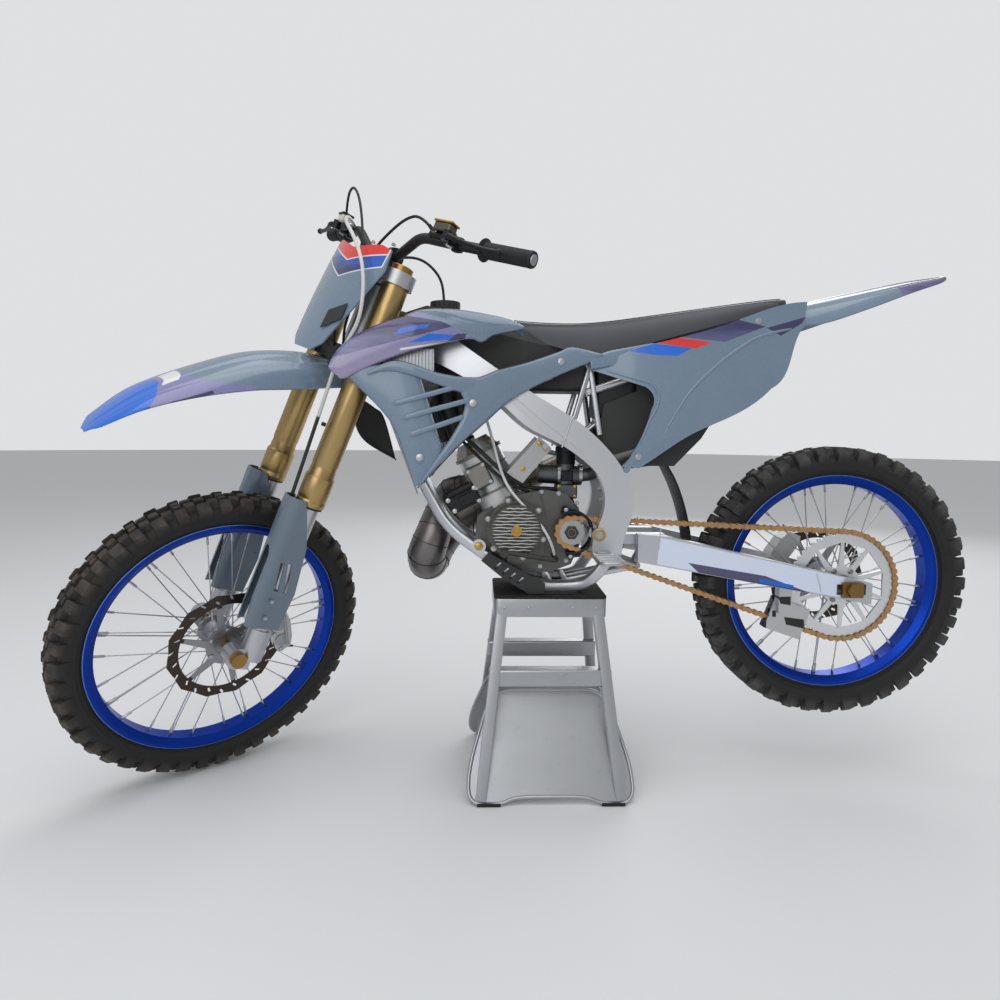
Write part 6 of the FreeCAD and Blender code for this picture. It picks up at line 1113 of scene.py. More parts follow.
# Barrel: cooling-jacket ribs, head nuts, exhaust valve box
LEAN = math.radians(27.0)
BARREL = np.array([math.sin(LEAN), 0.0, math.cos(LEAN)])
AHEAD = np.array([math.cos(LEAN), 0.0, -math.sin(LEAN)])
BARREL_FRAME = (np.array([0.080, 0.0, 0.597]), np.stack([AHEAD, SIDE, BARREL]))


def ring_at(height, radius, rise, inner):
    """A flat ring round the barrel, as a turned profile laid along its axis."""
    points, faces = turned_mesh([(inner, height), (radius, height), (radius, height + rise),
                                 (inner, height + rise)], 48)
    return points[:, [2, 0, 1]], faces


rings = [ring_at(h, r, w, 0.050) for h, r, w in ((0.094, 0.0545, 0.006), (0.150, 0.0535, 0.003),
                                                 (0.186, 0.0575, 0.008))]
piece("barrel_rings", joined(rings), "chassis", cast_alloy, BARREL_FRAME, smooth=40)
nuts = [(0.046 * math.cos(a), 0.046 * math.sin(a), 0.196) for a in np.radians(np.arange(0, 360, 60) + 20)]
posts = [tube_mesh([(x, y, 0.190), (x, y, 0.2005)], 0.0070, 20) for x, y, _ in nuts]
piece("head_posts", joined(posts), "chassis", cast_alloy, BARREL_FRAME, smooth=40)
bolts("head_nuts", [(x, y, 0.2005) for x, y, _ in nuts], (0, 0, 1), 0.0060, 0.0075, "chassis", brass,
      BARREL_FRAME)
plug = tube_mesh([(0, 0, 0.221), (0, 0, 0.226), (0, 0, 0.2265), (0.002, 0, 0.244), (0.006, 0.002, 0.258),
                  (0.012, 0.004, 0.266)], [0.008, 0.008, 0.0095, 0.0095, 0.0065, 0.0045], 20)
piece("plug_cap", plug, "chassis", rubber_black, BARREL_FRAME, smooth=50)

cover = box_mesh(-0.0250, 0.0250, 0.030, 0.0710, -0.0275, 0.0275)
cover_frame = (BARREL_FRAME[0] + BARREL * 0.132 + np.array([0.023, 0, 0]), BARREL_FRAME[1])
piece("port_cover", cover, "chassis", cast_alloy, cover_frame, bevel=0.006, steps=3)
corners = [(x, 0.0708, z) for x in (-0.0185, 0.0185) for z in (-0.021, 0.021)]
bolts("port_cover_bolts", corners, (0, 1, 0), 0.0036, 0.0040, "chassis", machined, cover_frame)

VALVE_FRAME = (np.array([0.200, 0.060, 0.668]), np.stack([AHEAD, SIDE, BARREL]))
valve_body = box_mesh(-0.036, 0.038, -0.006, 0.014, -0.026, 0.014)
valve_lid = box_mesh(-0.034, 0.012, 0.012, 0.019, -0.020, 0.004, 0.9)
valve_drum = tube_mesh([(-0.028, 0.014, 0.018), (0.020, 0.014, 0.018)], 0.0085, 24)
valve_cap = tube_mesh([(0.020, 0.014, 0.018), (0.026, 0.014, 0.018)], [0.0095, 0.0090], 24)
for name, mesh, edge in (("body", valve_body, 0.003), ("lid", valve_lid, 0.002), ("drum", valve_drum, 0),
                         ("cap", valve_cap, 0)):
    piece(f"valve_box_{name}", mesh, "chassis", valve_black, VALVE_FRAME, bevel=edge,
          smooth=35)
bolts("valve_bolts", [(0.033, 0.014, 0.008), (-0.032, 0.014, 0.008), (0.030, 0.014, -0.020),
                      (-0.030, 0.0145, -0.022)], (0, 1, 0), 0.0046, 0.004, "chassis", machined,
      VALVE_FRAME)

# Carburettor: slide tower cap, float bowl, its screws, a sensor and clips
CARB_FRAME = (np.array([-0.040, 0.0, 0.712]), np.eye(3))
bowl = box_mesh(-0.026, 0.024, -0.026, 0.026, -0.050, -0.016)
tower = tube_mesh([(0, 0, 0.030), (0, 0, 0.055), (0, 0, 0.0552), (0, 0, 0.070), (0, 0, 0.074)],
                  [0.0225, 0.0225, 0.0245, 0.0245, 0.018], 32)
piece("carb_bowl", bowl, "chassis", carb_alloy, CARB_FRAME, bevel=0.004)
piece("carb_cap", tower, "chassis", valve_black, CARB_FRAME, smooth=40)
bolts("carb_screws", [(-0.020, 0.026, -0.021), (0.018, 0.026, -0.021), (-0.020, 0.026, -0.044),
                      (0.018, 0.026, -0.044)], (0, 1, 0), 0.0030, 0.003, "chassis", brass,
      CARB_FRAME, 12)
sensor = box_mesh(-0.014, 0.014, 0.020, 0.034, -0.008, 0.016)
piece("throttle_sensor", sensor, "chassis", valve_black, CARB_FRAME, bevel=0.0025)
clamps = [tube_mesh([(x - 0.004, 0, 0.006), (x + 0.004, 0, 0.006)], 0.0245, 36) for x in (0.016, -0.034)]
piece("carb_bands", joined(clamps), "chassis", machined, CARB_FRAME, smooth=40)
dress("carburettor", carb_alloy.material)

# Head stays, pivot and sprocket hardware
for side, name in SIDES:
    heads = [(0.0275, side * 0.0625, 0.7905), (0.0145, side * 0.0625, 0.7790),
             (0.0640, side * 0.0625, 0.7330)]
    bolts(f"stay_bolts_{name}", heads, (0, side, 0), 0.0050, 0.0045, "chassis", brass)
shaft = turned_mesh([(0.0, 0.070), (0.0, 0.077), (0.0075, 0.077), (0.0085, 0.076), (0.0085, 0.070)], 24)
nut_edge = [(0.0085, 0.0695), (0.0165, 0.0695), (0.0165, 0.0745), (0.0150, 0.0755), (0.0085, 0.0755)]
nut = turned_mesh(nut_edge, 6)
for name, mesh in (("shaft", shaft), ("nut", nut)):
    piece(f"sprocket_{name}", moved(mesh, FRONT_SPROCKET), "chassis", dark_steel, smooth=30)
PIVOT = np.array([-0.104, 0, 0.590])
ring_edge = [(0.0085, 0.1140), (0.0135, 0.1140), (0.0135, 0.1156), (0.0125, 0.1165), (0.0085, 0.1165)]
pivot_ring = moved(turned_mesh(ring_edge, 40), PIVOT)
for name, mesh in (("left", pivot_ring), ("right", mirrored(pivot_ring))):
    piece(f"pivot_ring_{name}", mesh, "chassis", brass, smooth=35)

# Sprocket guard: a cast arc in front of the chain, held to the case by three lugs
GUARD_R, LUG_R = 0.0480, 0.0545
MID_X, _, MID_Z = FRONT_SPROCKET
t = np.radians(np.linspace(62, 282, 45))
guard_arc = np.c_[MID_X + GUARD_R * np.cos(t), np.zeros(45), MID_Z + GUARD_R * np.sin(t)]
guard_parts = [tube_mesh(guard_arc + [0, y, 0], 0.0034, 8) for y in (0.050, 0.056, 0.062, 0.068, 0.074)]
lugs = [(MID_X + LUG_R * math.cos(a), 0.0745, MID_Z + LUG_R * math.sin(a))
        for a in np.radians((75, 178, 272))]
guard_parts += [tube_mesh([(x, 0.046, z), (x, 0.0745, z)], 0.0068, 20) for x, _, z in lugs]
piece("sprocket_guard", joined(guard_parts), "chassis", valve_black, smooth=50)
bolts("sprocket_guard_bolts", lugs, (0, 1, 0), 0.0040, 0.0045, "chassis", machined)


# Weld beads: small overlapping scales along each joint line

PUDDLE = 0.0028


def bead(route, radius):
    """A bead along a route: a tube whose radius swells once for each puddle, r = R (0.82 + 0.18 |sin|)."""
    route = np.asarray(route, float)
    length = np.sum(np.linalg.norm(np.diff(route, axis=0), axis=1))
    puddles = max(4, int(length / PUDDLE))
    line = even_line(smooth_line(route, 80), puddles * 4)
    swell = 0.82 + 0.18 * np.abs(np.sin(np.arange(len(line)) * math.pi / 4 + 0.3))
    return tube_mesh(line, radius * swell, 8)


welds = []
for side in (1, -1):
    welds.append(bead([(-0.041, side * 0.1045, 0.850), (-0.036, side * 0.1060, 0.838),
                       (-0.026, side * 0.1060, 0.808), (-0.018, side * 0.1045, 0.783)], 0.0026))
    welds.append(bead([(-0.238, side * 0.1120, 0.556), (-0.240, side * 0.1125, 0.580),
                       (-0.241, side * 0.1120, 0.604)], 0.0014))
    welds.append(bead([(-0.612, side * 0.1120, 0.462), (-0.606, side * 0.1125, 0.484),
                       (-0.600, side * 0.1120, 0.504)], 0.0014))
piece("frame_welds", joined(welds), "chassis", frame_alloy, smooth=60)

# Swingarm: pale film along the left and right side, with a navy flash at its lower edge
arm_print = metal("arm_print", rgb(208, 211, 216), 0.42, (0.35, 1, 1.0), 0.10, 0.00015)
along, high = arm_print.at.dot((1.0, 0, 0)), arm_print.at.dot((0, 0, 1.0))
side_only = abs(arm_print.at.dot((0, 1.0, 0))).rise(0.1112, 0.1118)
film = arm_print.within(along, high, [(-0.664, 0.4490), (-0.236, 0.5245), (-0.240, 0.5850),
                                      (-0.664, 0.4960)]) * side_only
navy = arm_print.within(along, high, [(-0.590, 0.4590), (-0.330, 0.5060), (-0.306, 0.5280),
                                      (-0.482, 0.4990)]) * side_only
dash = arm_print.within(along, high, [(-0.548, 0.4690), (-0.470, 0.4840), (-0.470, 0.4930),
                                      (-0.548, 0.4780)]) * side_only
tone = arm_print.blend(arm_print.tone, rgb(216, 226, 244), film)
tone = arm_print.blend(arm_print.blend(tone, rgb(84, 82, 112), navy), SKY_BLUE, dash)
arm_print.set(base_color=tone, metallic=film * -0.8 + 1.0)
dress("swingarm", arm_print.material)

# Chain guide: silver plates with a black rubber nose
guide = metal("guide_silver", rgb(206, 207, 208), 0.42, dirt_and_shade=0.15)
guide_x, guide_z = guide.at.dot((1.0, 0, 0)), guide.at.dot((0, 0, 1.0))
rubber_nose = guide_x.rise(-0.505, -0.503)
slots = guide.within(guide_x, guide_z, [(-0.5095, 0.398), (-0.5005, 0.398), (-0.4985, 0.425),
                                        (-0.5085, 0.425)])
for corners in ([(-0.526, 0.396), (-0.517, 0.396), (-0.516, 0.411), (-0.525, 0.411)],
                [(-0.594, 0.368), (-0.550, 0.378), (-0.545, 0.396), (-0.592, 0.390)],
                [(-0.550, 0.428), (-0.526, 0.432), (-0.520, 0.448), (-0.549, 0.449)]):
    slots = slots.most(guide.within(guide_x, guide_z, corners))
dark = slots.most(rubber_nose)
guide.set(base_color=guide.blend(guide.tone, rgb(24, 24, 25), dark), metallic=dark * -1.0 + 1.0)
dress("chain_guide", guide.material)


# Fork, bars and controls, in the fork's own frame (forward, left, up the axis)

def leg_profile(steps):
    """A turned profile along a fork leg, (radius, up) pairs closed through the leg's inside."""
    return [(0.012, steps[0][1])] + list(steps) + [(0.012, steps[-1][1])]


def stood(mesh, x, y):
    """A mesh turned round Y stood up along the fork's axis at (x, y)."""
    points, faces = mesh
    return points[:, [2, 0, 1]] + [x, y, 0], faces


OUTER = [(0.0310, 0.3725), (0.0323, 0.3740), (0.0325, 0.3850), (0.0318, 0.3865), (0.0318, 0.3900),
         (0.0325, 0.3915), (0.0325, 0.4380), (0.0310, 0.4420), (0.0288, 0.4450), (0.0288, 0.4560),
         (0.0279, 0.4580), (0.0279, 0.4680), (0.0290, 0.4700), (0.0290, 0.6870), (0.0284, 0.6890),
         (0.0290, 0.6910), (0.0290, 0.9040), (0.0282, 0.9078)]
tube, faces = stood(turned_mesh(leg_profile(OUTER)[::-1], 72), 0, 0)
around_leg = np.arctan2(tube[:, 1], tube[:, 0])
fluted = (np.hypot(tube[:, 0], tube[:, 1]) > 0.0285) & (tube[:, 2] > 0.47) & (tube[:, 2] < 0.69)
tube[:, :2] *= np.where(fluted, 1 - 0.02 * (0.5 + 0.5 * np.cos(around_leg * 12)), 1.0)[:, None]
legs = joined([(tube + [FORK_LEAD, side * FORK_Y, 0], faces) for side in (1, -1)])
piece("fork_tubes", legs, "steering", fork_gold, FORK_FRAME, ("fork_outers",), 40)
for side, name in SIDES:
    wiper = stood(turned_mesh([(0.0252, 0.3680), (0.0298, 0.3680), (0.0298, 0.3726), (0.0252, 0.3726)], 48),
                  FORK_LEAD, side * FORK_Y)
    piece(f"fork_wiper_{name}", wiper, "steering", rubber_black, FORK_FRAME)
    cap = stood(turned_mesh([(0.0, 0.9075), (0.0238, 0.9075), (0.0238, 0.9270), (0.0225, 0.9285),
                             (0.0170, 0.9285), (0.0160, 0.9275), (0.0090, 0.9275), (0.0080, 0.9290),
                             (0.0, 0.9290)], 48), FORK_LEAD, side * FORK_Y)
    piece(f"fork_cap_{name}", cap, "steering", gold_anodised, FORK_FRAME)

pinch = [(FORK_LEAD + 0.031, side * (FORK_Y - 0.026), up) for side in (1, -1) for up in (0.699, 0.721)]
bolts("lower_clamp_bolts", pinch, (1, 0, 0), 0.0046, 0.006, "steering", machined, FORK_FRAME)
pinch = [(FORK_LEAD - 0.031, side * (FORK_Y - 0.026), 0.899) for side in (1, -1)]
bolts("upper_clamp_bolts", pinch, (-1, 0, 0), 0.0046, 0.006, "steering", machined, FORK_FRAME)
stem_edge = [(0.0, 0.9135), (0.0180, 0.9135), (0.0180, 0.9220), (0.0165, 0.9235), (0.0, 0.9235)]
stem = stood(turned_mesh(stem_edge, 6), 0, 0)
piece("stem_nut", stem, "steering", machined, FORK_FRAME)

guard_bolts = [(0.040, FORK_Y + 0.0325, up) for up in (0.110, 0.150)]
guard_bolts_right = [(x, -y, up) for x, y, up in guard_bolts]
bolts("guard_bolts", guard_bolts, (0, 1, 0), 0.0042, 0.0045, "steering", machined, FORK_FRAME)
bolts("guard_bolts_right", guard_bolts_right, (0, -1, 0), 0.0042, 0.0045, "steering", machined,
      FORK_FRAME)


def nurbs_hose(name, route, radius, body, finish, place=BIKE_FRAME, replaces=()):
    """A hose: one smooth NURBS spline through its own route points, with round section."""
    data = bpy.data.curves.new(name, "CURVE")
    data.dimensions = "3D"
    spline = data.splines.new("NURBS")
    points = placed(np.array(route, float) / 1000.0, place)
    spline.points.add(len(points) - 1)
    spline.points.foreach_set("co", np.c_[points, np.ones(len(points))].ravel())
    spline.order_u = 3
    spline.use_endpoint_u = True
    spline.resolution_u = 10
    data.bevel_depth = radius / 1000.0
    data.bevel_resolution = 4
    data.use_fill_caps = True
    made = bpy.data.objects.new(name, data)
    bpy.context.collection.objects.link(made)
    data.materials.append(finish.material)
    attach(made, body)
    if replaces:
        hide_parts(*replaces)


BRAKE_HOSE = [(34, -150, 1006), (70, -122, 1012), (104, -60, 984), (114, 20, 950), (108, 78, 906),
              (102, 112, 860), (100, 136, 812), (95, 138, 776), (90, 118, 736), (86, 98, 690), (78, 92, 628),
              (70, 90, 510), (64, 90, 400), (62, 94, 300), (62, 101, 210), (62, 101, 130), (56, 80, 78),
              (30, 66, 76), (0, 66, 84), (-26, 66, 84)]
THROTTLE_CABLE = [(24, -224, 1030), (44, -214, 1070), (62, -170, 1088), (66, -116, 1062), (62, -70, 1010),
                  (60, -26, 950), (58, -22, 880), (58, -22, 800), (52, -22, 748), (34, -22, 712)]
CLUTCH_CABLE = [(34, 176, 1010), (56, 150, 1030), (60, 104, 1020), (62, 60, 980), (60, 24, 940),
                (58, 22, 860), (58, 22, 790), (52, 22, 748), (34, 22, 712)]
CLUTCH_HOSE = [(150, 50, 850), (134, 62, 800), (118, 76, 735), (98, 92, 690), (62, 98, 650), (26, 104, 612),
               (0, 100, 570), (-8, 84, 540)]
COOLANT_HOSE = [(196, 6, 828), (214, 22, 858), (250, 44, 886), (296, 64, 902)]
BREATHER = [(247, 0, 1100), (247, 0, 1140), (262, 4, 1176), (300, 10, 1206), (352, 10, 1206), (384, 4, 1184),
            (396, 0, 1160)]

# The brake hose is bare white at both ends and runs in a black sheath down the fork leg
sheathed = moulded("brake_hose_skin", rgb(206, 207, 205), 0.38, 0.15)
height = sheathed.at.minus(STEER_POINT).dot(STEER_UP)
sheath = height.rise(0.140, 0.146) * (1.0 - height.rise(0.560, 0.566))
sheathed.set(base_color=sheathed.blend(sheathed.tone, rgb(26, 26, 27), sheath))
nurbs_hose("brake_hose", BRAKE_HOSE, 4.0, "steering", sheathed, FORK_FRAME,
           ("front_brake_hose",))
nurbs_hose("throttle_cable", THROTTLE_CABLE, 3.0, "steering", hose_black, FORK_FRAME,
           ("control_cables",))
nurbs_hose("clutch_cable", CLUTCH_CABLE, 3.0, "steering", hose_black, FORK_FRAME)
nurbs_hose("clutch_hose", CLUTCH_HOSE, 3.2, "chassis", hose_white, replaces=("engine_hoses",))
nurbs_hose("coolant_hose", COOLANT_HOSE, 9.0, "chassis", rubber_black)
nurbs_hose("breather", BREATHER, 3.0, "chassis", hose_black)
bands = [tube_mesh([(62, 103, up - 4), (62, 103, up + 4)], 5.0, 16) for up in (150, 330, 552)]
banded, band_faces = joined(bands)
piece("hose_bands", (banded / 1000.0, band_faces), "steering", rubber_black, FORK_FRAME,
      smooth=40)


# Grips, levers and master cylinders, in the fork's own frame

BAR_TIP = np.array([-0.0478, 0.405, 1.0068])
BAR_BEND = np.array([0.0008, 0.2106, 1.000])
BAR_WAY = (BAR_TIP - BAR_BEND) / np.linalg.norm(BAR_TIP - BAR_BEND)
PERCH = BAR_TIP - BAR_WAY * 0.1891

grip_rubber = moulded("grip_rubber", rgb(24, 24, 27), 0.62, 0.0, 600.0)
lever_black = metal("lever_black", rgb(34, 34, 36), 0.40, dirt_and_shade=0.15, metallic=0.5)
master_grey = metal("master_grey", rgb(110, 106, 98), 0.44, dirt_and_shade=0.25)
reservoir_cream = moulded("reservoir_cream", rgb(206, 204, 188), 0.42, 0.2)


def mirrored_to(points, side):
    """Points of the left side carried to a side."""
    return np.asarray(points, float) * [1, side, 1]


def along_bar(start, end, radii, sides, side):
    """A round piece along the bar, its places measured back from the bar's tip."""
    radii = np.asarray(radii, float)
    at = np.linspace(start, end, len(radii))[:, None]
    return tube_mesh(mirrored_to(BAR_TIP - BAR_WAY * at, side), radii, sides)


def oriented_box(centre, size, side):
    """A box square to the bar: its size is forward, along the bar and up."""
    half = np.array(size) / 2
    points, faces = box_mesh(-half[0], half[0], -half[1], half[1], -half[2], half[2])
    across = np.cross(BAR_WAY, [0, 0, 1.0])
    across /= np.linalg.norm(across)
    axes = np.stack([across, BAR_WAY, np.cross(across, BAR_WAY)])
    box = np.asarray(centre) + points @ axes, faces
    return box if side > 0 else mirrored(box)


forward = np.array([1.0, 0, 0])
LEVER_KNOTS = [(0, 0, 0), (0.020, 0.010, -0.003), (0.050, 0.006, -0.008), (0.095, 0.002, -0.012),
               (0.140, 0.004, -0.014)]
for side, name in SIDES:
    s = np.linspace(0, 1, 91)
    ripple = 0.0157 + 0.0009 * (np.sin(s * TAU * 22) > 0) + 0.0006 * np.exp(-((s - 0.97) / 0.03) ** 2)
    ripple[:4] = [0.0225, 0.0232, 0.0232, 0.0180]
    grip = along_bar(0.1185, -0.002, ripple, 32, side)
    weight = along_bar(-0.0018, -0.0034, [0.0110, 0.0105], 24, side)
    piece(f"grip_{name}", grip, "steering", grip_rubber, FORK_FRAME, ("grips",), 32)
    piece(f"grip_plug_{name}", weight, "steering", machined, FORK_FRAME)
    band = along_bar(0.196, 0.178, [0.0150, 0.0160, 0.0160, 0.0150], 32, side)
    body_start = PERCH + forward * 0.0235 + BAR_WAY * 0.020
    body_end = PERCH + forward * 0.0300 - BAR_WAY * (0.066 if side < 0 else 0.042)
    barrel = tube_mesh([mirrored_to(body_start + (body_end - body_start) * share, side)
                        for share in (0, 0.02, 0.3, 0.32, 0.96, 1.0)],
                       [0.0075, 0.0090, 0.0090, 0.0082, 0.0082, 0.0060], 24)
    saddle = oriented_box(PERCH + forward * 0.018 + BAR_WAY * 0.002, (0.018, 0.024, 0.022), side)
    pivot = PERCH + forward * 0.040 + BAR_WAY * 0.010
    knuckle = tube_mesh([mirrored_to(pivot + [0, 0, up], side) for up in (-0.010, 0.010)], 0.0095, 24)
    route = [pivot + BAR_WAY * out + [lead, 0, up] for out, lead, up in LEVER_KNOTS]
    blade_line = smooth_line(mirrored_to(route, side), 40)
    blade = tube_mesh(blade_line, np.interp(np.linspace(0, 1, 40), [0, 0.2, 0.5, 0.9, 1],
                                            [0.0072, 0.0062, 0.0050, 0.0048, 0.0050]), 14)
    tip_way = blade_line[-1] - blade_line[-2]
    tip_way /= np.linalg.norm(tip_way)
    t = np.linspace(0, math.pi, 9)
    ball = tube_mesh(blade_line[-1] + np.outer(-0.0072 * np.cos(t), tip_way), 0.0002 + 0.0072 * np.sin(t), 16)
    node = "clutch_control" if side > 0 else "throttle_control"
    piece(f"lever_{name}", joined([band, barrel, saddle, knuckle, blade, ball]), "steering", lever_black,
          FORK_FRAME, (node,), 40)
    pot_mid = PERCH + forward * 0.030 - BAR_WAY * 0.012
    pot = oriented_box(pot_mid + [0, 0, 0.017], (0.026, 0.044, 0.018), side)
    lid = oriented_box(pot_mid + [0, 0, 0.028], (0.030, 0.048, 0.005), side)
    paint = master_grey if side > 0 else reservoir_cream
    piece(f"reservoir_{name}", pot, "steering", paint, FORK_FRAME, bevel=0.004, steps=3)
    piece(f"reservoir_lid_{name}", lid, "steering", brass if side > 0 else lever_black, FORK_FRAME,
          bevel=0.002, steps=3)
    screws = [mirrored_to(PERCH + forward * 0.030 - BAR_WAY * (0.012 + way * 0.018) + [0, 0, 0.0304], side)
              for way in (1, -1)]
    bolts(f"lid_screws_{name}", screws, (0, 0, 1), 0.0022, 0.0012, "steering", machined, FORK_FRAME,
          12)
    clamp_bolts = [mirrored_to(PERCH + BAR_WAY * 0.004 + [0.0150, 0, up], side) for up in (0.0125, -0.0125)]
    bolts(f"perch_bolts_{name}", clamp_bolts, (1, 0, 0), 0.0036, 0.013, "steering", machined,
          FORK_FRAME)

# Throttle housing with its cable boot, and the ends that hold the hoses
housing = along_bar(0.170, 0.1225, [0.018, 0.0235, 0.0240, 0.0240, 0.0225, 0.018], 32, -1)
boot_base = mirrored_to(BAR_TIP - BAR_WAY * 0.155, -1) + [0.006, 0, 0.016]
boot_top = np.array([0.024, -0.224, 1.030])
boot = tube_mesh([boot_base, boot_base * 0.6 + boot_top * 0.4, boot_top * 0.9 + boot_base * 0.1,
                  boot_top + [0.001, 0.001, 0.006]], [0.0120, 0.0095, 0.0062, 0.0044], 20)
piece("throttle_housing", joined([housing, boot]), "steering", rubber_black, FORK_FRAME,
      smooth=45)
banjo_end = mirrored_to(PERCH + forward * 0.0300 - BAR_WAY * 0.066, -1)
hose_start = np.array([0.034, -0.150, 1.006])
banjo = tube_mesh([banjo_end, banjo_end * 0.5 + hose_start * 0.5, hose_start,
                   hose_start + [0.008, 0.006, 0.003]], [0.0052, 0.0052, 0.0052, 0.0044], 16)
piece("brake_banjo", banjo, "steering", machined, FORK_FRAME, smooth=45)
adjust_start = PERCH + forward * 0.0300 - BAR_WAY * 0.042
cable_start = np.array([0.034, 0.176, 1.010])
adjuster = tube_mesh([adjust_start, adjust_start * 0.3 + cable_start * 0.7, cable_start,
                      cable_start + [0.008, -0.009, 0.007]], [0.0060, 0.0056, 0.0048, 0.0038], 16)
piece("cable_adjuster", adjuster, "steering", rubber_black, FORK_FRAME, smooth=45)
mount_bolts = [(0.017 + x, side * 0.0433, 0.9695) for side in (1, -1) for x in (-0.012, 0.012)]
bolts("bar_clamp_bolts", mount_bolts, (0, 0, 1), 0.0042, 0.006, "steering", machined, FORK_FRAME)

# Number plate: a dark mesh behind its intake, the holes of its weave painted near black as painted shade of
# the space behind
screen = Paint("intake_mesh", rgb(22, 22, 24), 0.6)
left, tall = screen.at.minus(STEER_POINT).dot(FORK_LEFT), screen.at.minus(STEER_POINT).dot(STEER_UP)
shaded_holes = ((left * 1250.0).wave() * (tall * 1250.0).wave()).rise(0.05, 0.30)
# The near-black holes of the weave are painted shade.
screen.set(base_color=screen.blend(rgb(60, 60, 62), rgb(8, 8, 9), shaded_holes))
screen.relief(1.0 - shaded_holes, 0.0015, 1.0)
SCREEN_LEAD = 0.0945
screen_edge = [(0.040, 0.740), (0.084, 0.772), (0.080, 0.808), (0.038, 0.782)]
screen_face = np.array([(SCREEN_LEAD + (0.95 - z) * 0.13 - 0.026 * (y / 0.120) ** 2, y, z)
                        for y, z in screen_edge])
screen_mesh = np.concatenate([screen_face, screen_face - [0.0015, 0, 0]]), BOX_FACES
piece("intake_screen", screen_mesh, "steering", screen, FORK_FRAME, smooth=0)


# Cradle: squared bars in place of the round rails, with the down tube, cross tube and engine bolt

CRADLE_R = 0.0125
rail_line = filleted([(0.295, 0.009, 0.702), (0.2336, 0.041, 0.595), (0.1226, 0.066, 0.5197),
                      (0.038, 0.066, 0.464), (-0.0728, 0.066, 0.464), (-0.104, 0.0924, 0.4965),
                      (-0.1248, 0.0924, 0.528)], 0.050)
rail = tube_mesh(even_line(rail_line, 90), CRADLE_R, 28, square=5.0)
down_tube = tube_mesh(even_line([(0.405, 0, 0.985), (0.292, 0, 0.676)], 12), 0.019, 32, square=4.0)
cross_tube = tube_mesh([(0, -0.066, 0.464), (0, 0.066, 0.464)], 0.012, 24)
engine_bolt = tube_mesh([(0.163, -0.0594, 0.557), (0.163, 0.0594, 0.557)], 0.0095, 24)
lug = tube_mesh([(0.163, 0.046, 0.557), (0.163, 0.0760, 0.557)], 0.016, 30)
piece("cradle_bars", joined([both_sides(rail), down_tube, cross_tube, engine_bolt, lug]), "chassis",
      frame_alloy, replaces=("cradle",), smooth=40)
bolts("engine_mount_bolt", [(0.163, 0.0760, 0.557)], (0, 1, 0), 0.0085, 0.007, "chassis", brass)


# Stand: a folded tray on four grooved legs, rolled side panels and two boxed steps

def stacked(outline, levels):
    """Rings of one outline drawn inwards: each level is (inset, height), and both end rings are closed.
    An inset moves each point along the bisector of its two sides."""
    outline = np.asarray(outline, float)
    ahead = np.roll(outline, -1, 0) - np.roll(outline, 1, 0)
    ahead /= np.linalg.norm(ahead, axis=1)[:, None]
    inward = np.stack([-ahead[:, 1], ahead[:, 0]], -1)
    rings = [np.c_[outline + inward * inset, np.full(len(outline), height)] for inset, height in levels]
    n, rows = len(outline), len(levels)
    points = np.concatenate(rings)
    return capped(points, sheet_faces(rows, n, False, True)[:, ::-1],
                  [range((rows - 1) * n, rows * n), range(n - 1, -1, -1)])


TRAY_L, TRAY_W, TRAY_TOP, TRAY_LIP = 0.128, 0.100, 0.4419, 0.042
tray_corners = [(-TRAY_L, -TRAY_W), (TRAY_L, -TRAY_W), (TRAY_L, TRAY_W), (-TRAY_L, TRAY_W)]
tray_edge = filleted(tray_corners, 0.016, 9, True)
tray = stacked(tray_edge, [(0.0035, TRAY_TOP - 0.006), (0.0035, TRAY_TOP - TRAY_LIP),
                           (0.0, TRAY_TOP - TRAY_LIP), (0.0, TRAY_TOP - 0.003), (0.0009, TRAY_TOP - 0.0009),
                           (0.003, TRAY_TOP)])
PANEL_SHARES = [(-0.36, 1.0), (-0.50, 0.30), (-0.50, 0.0), (-0.30, 0.0), (-0.22, 0.06), (0.22, 0.06),
                (0.30, 0.0), (0.50, 0.0), (0.50, 0.30), (0.36, 1.0)]
PANEL_WIDE, PANEL_TALL = 0.370, 0.22095
PANEL_FOOT_Y, PANEL_LEAN = 0.1865, 0.118
panel_edge = filleted(np.array(PANEL_SHARES) * [PANEL_WIDE, PANEL_TALL], 0.046, 9, True)
panel_y = PANEL_FOOT_Y - PANEL_LEAN * panel_edge[:, 1] / PANEL_TALL
panels, rolls, legs, steps, feet = [], [], [], [], []
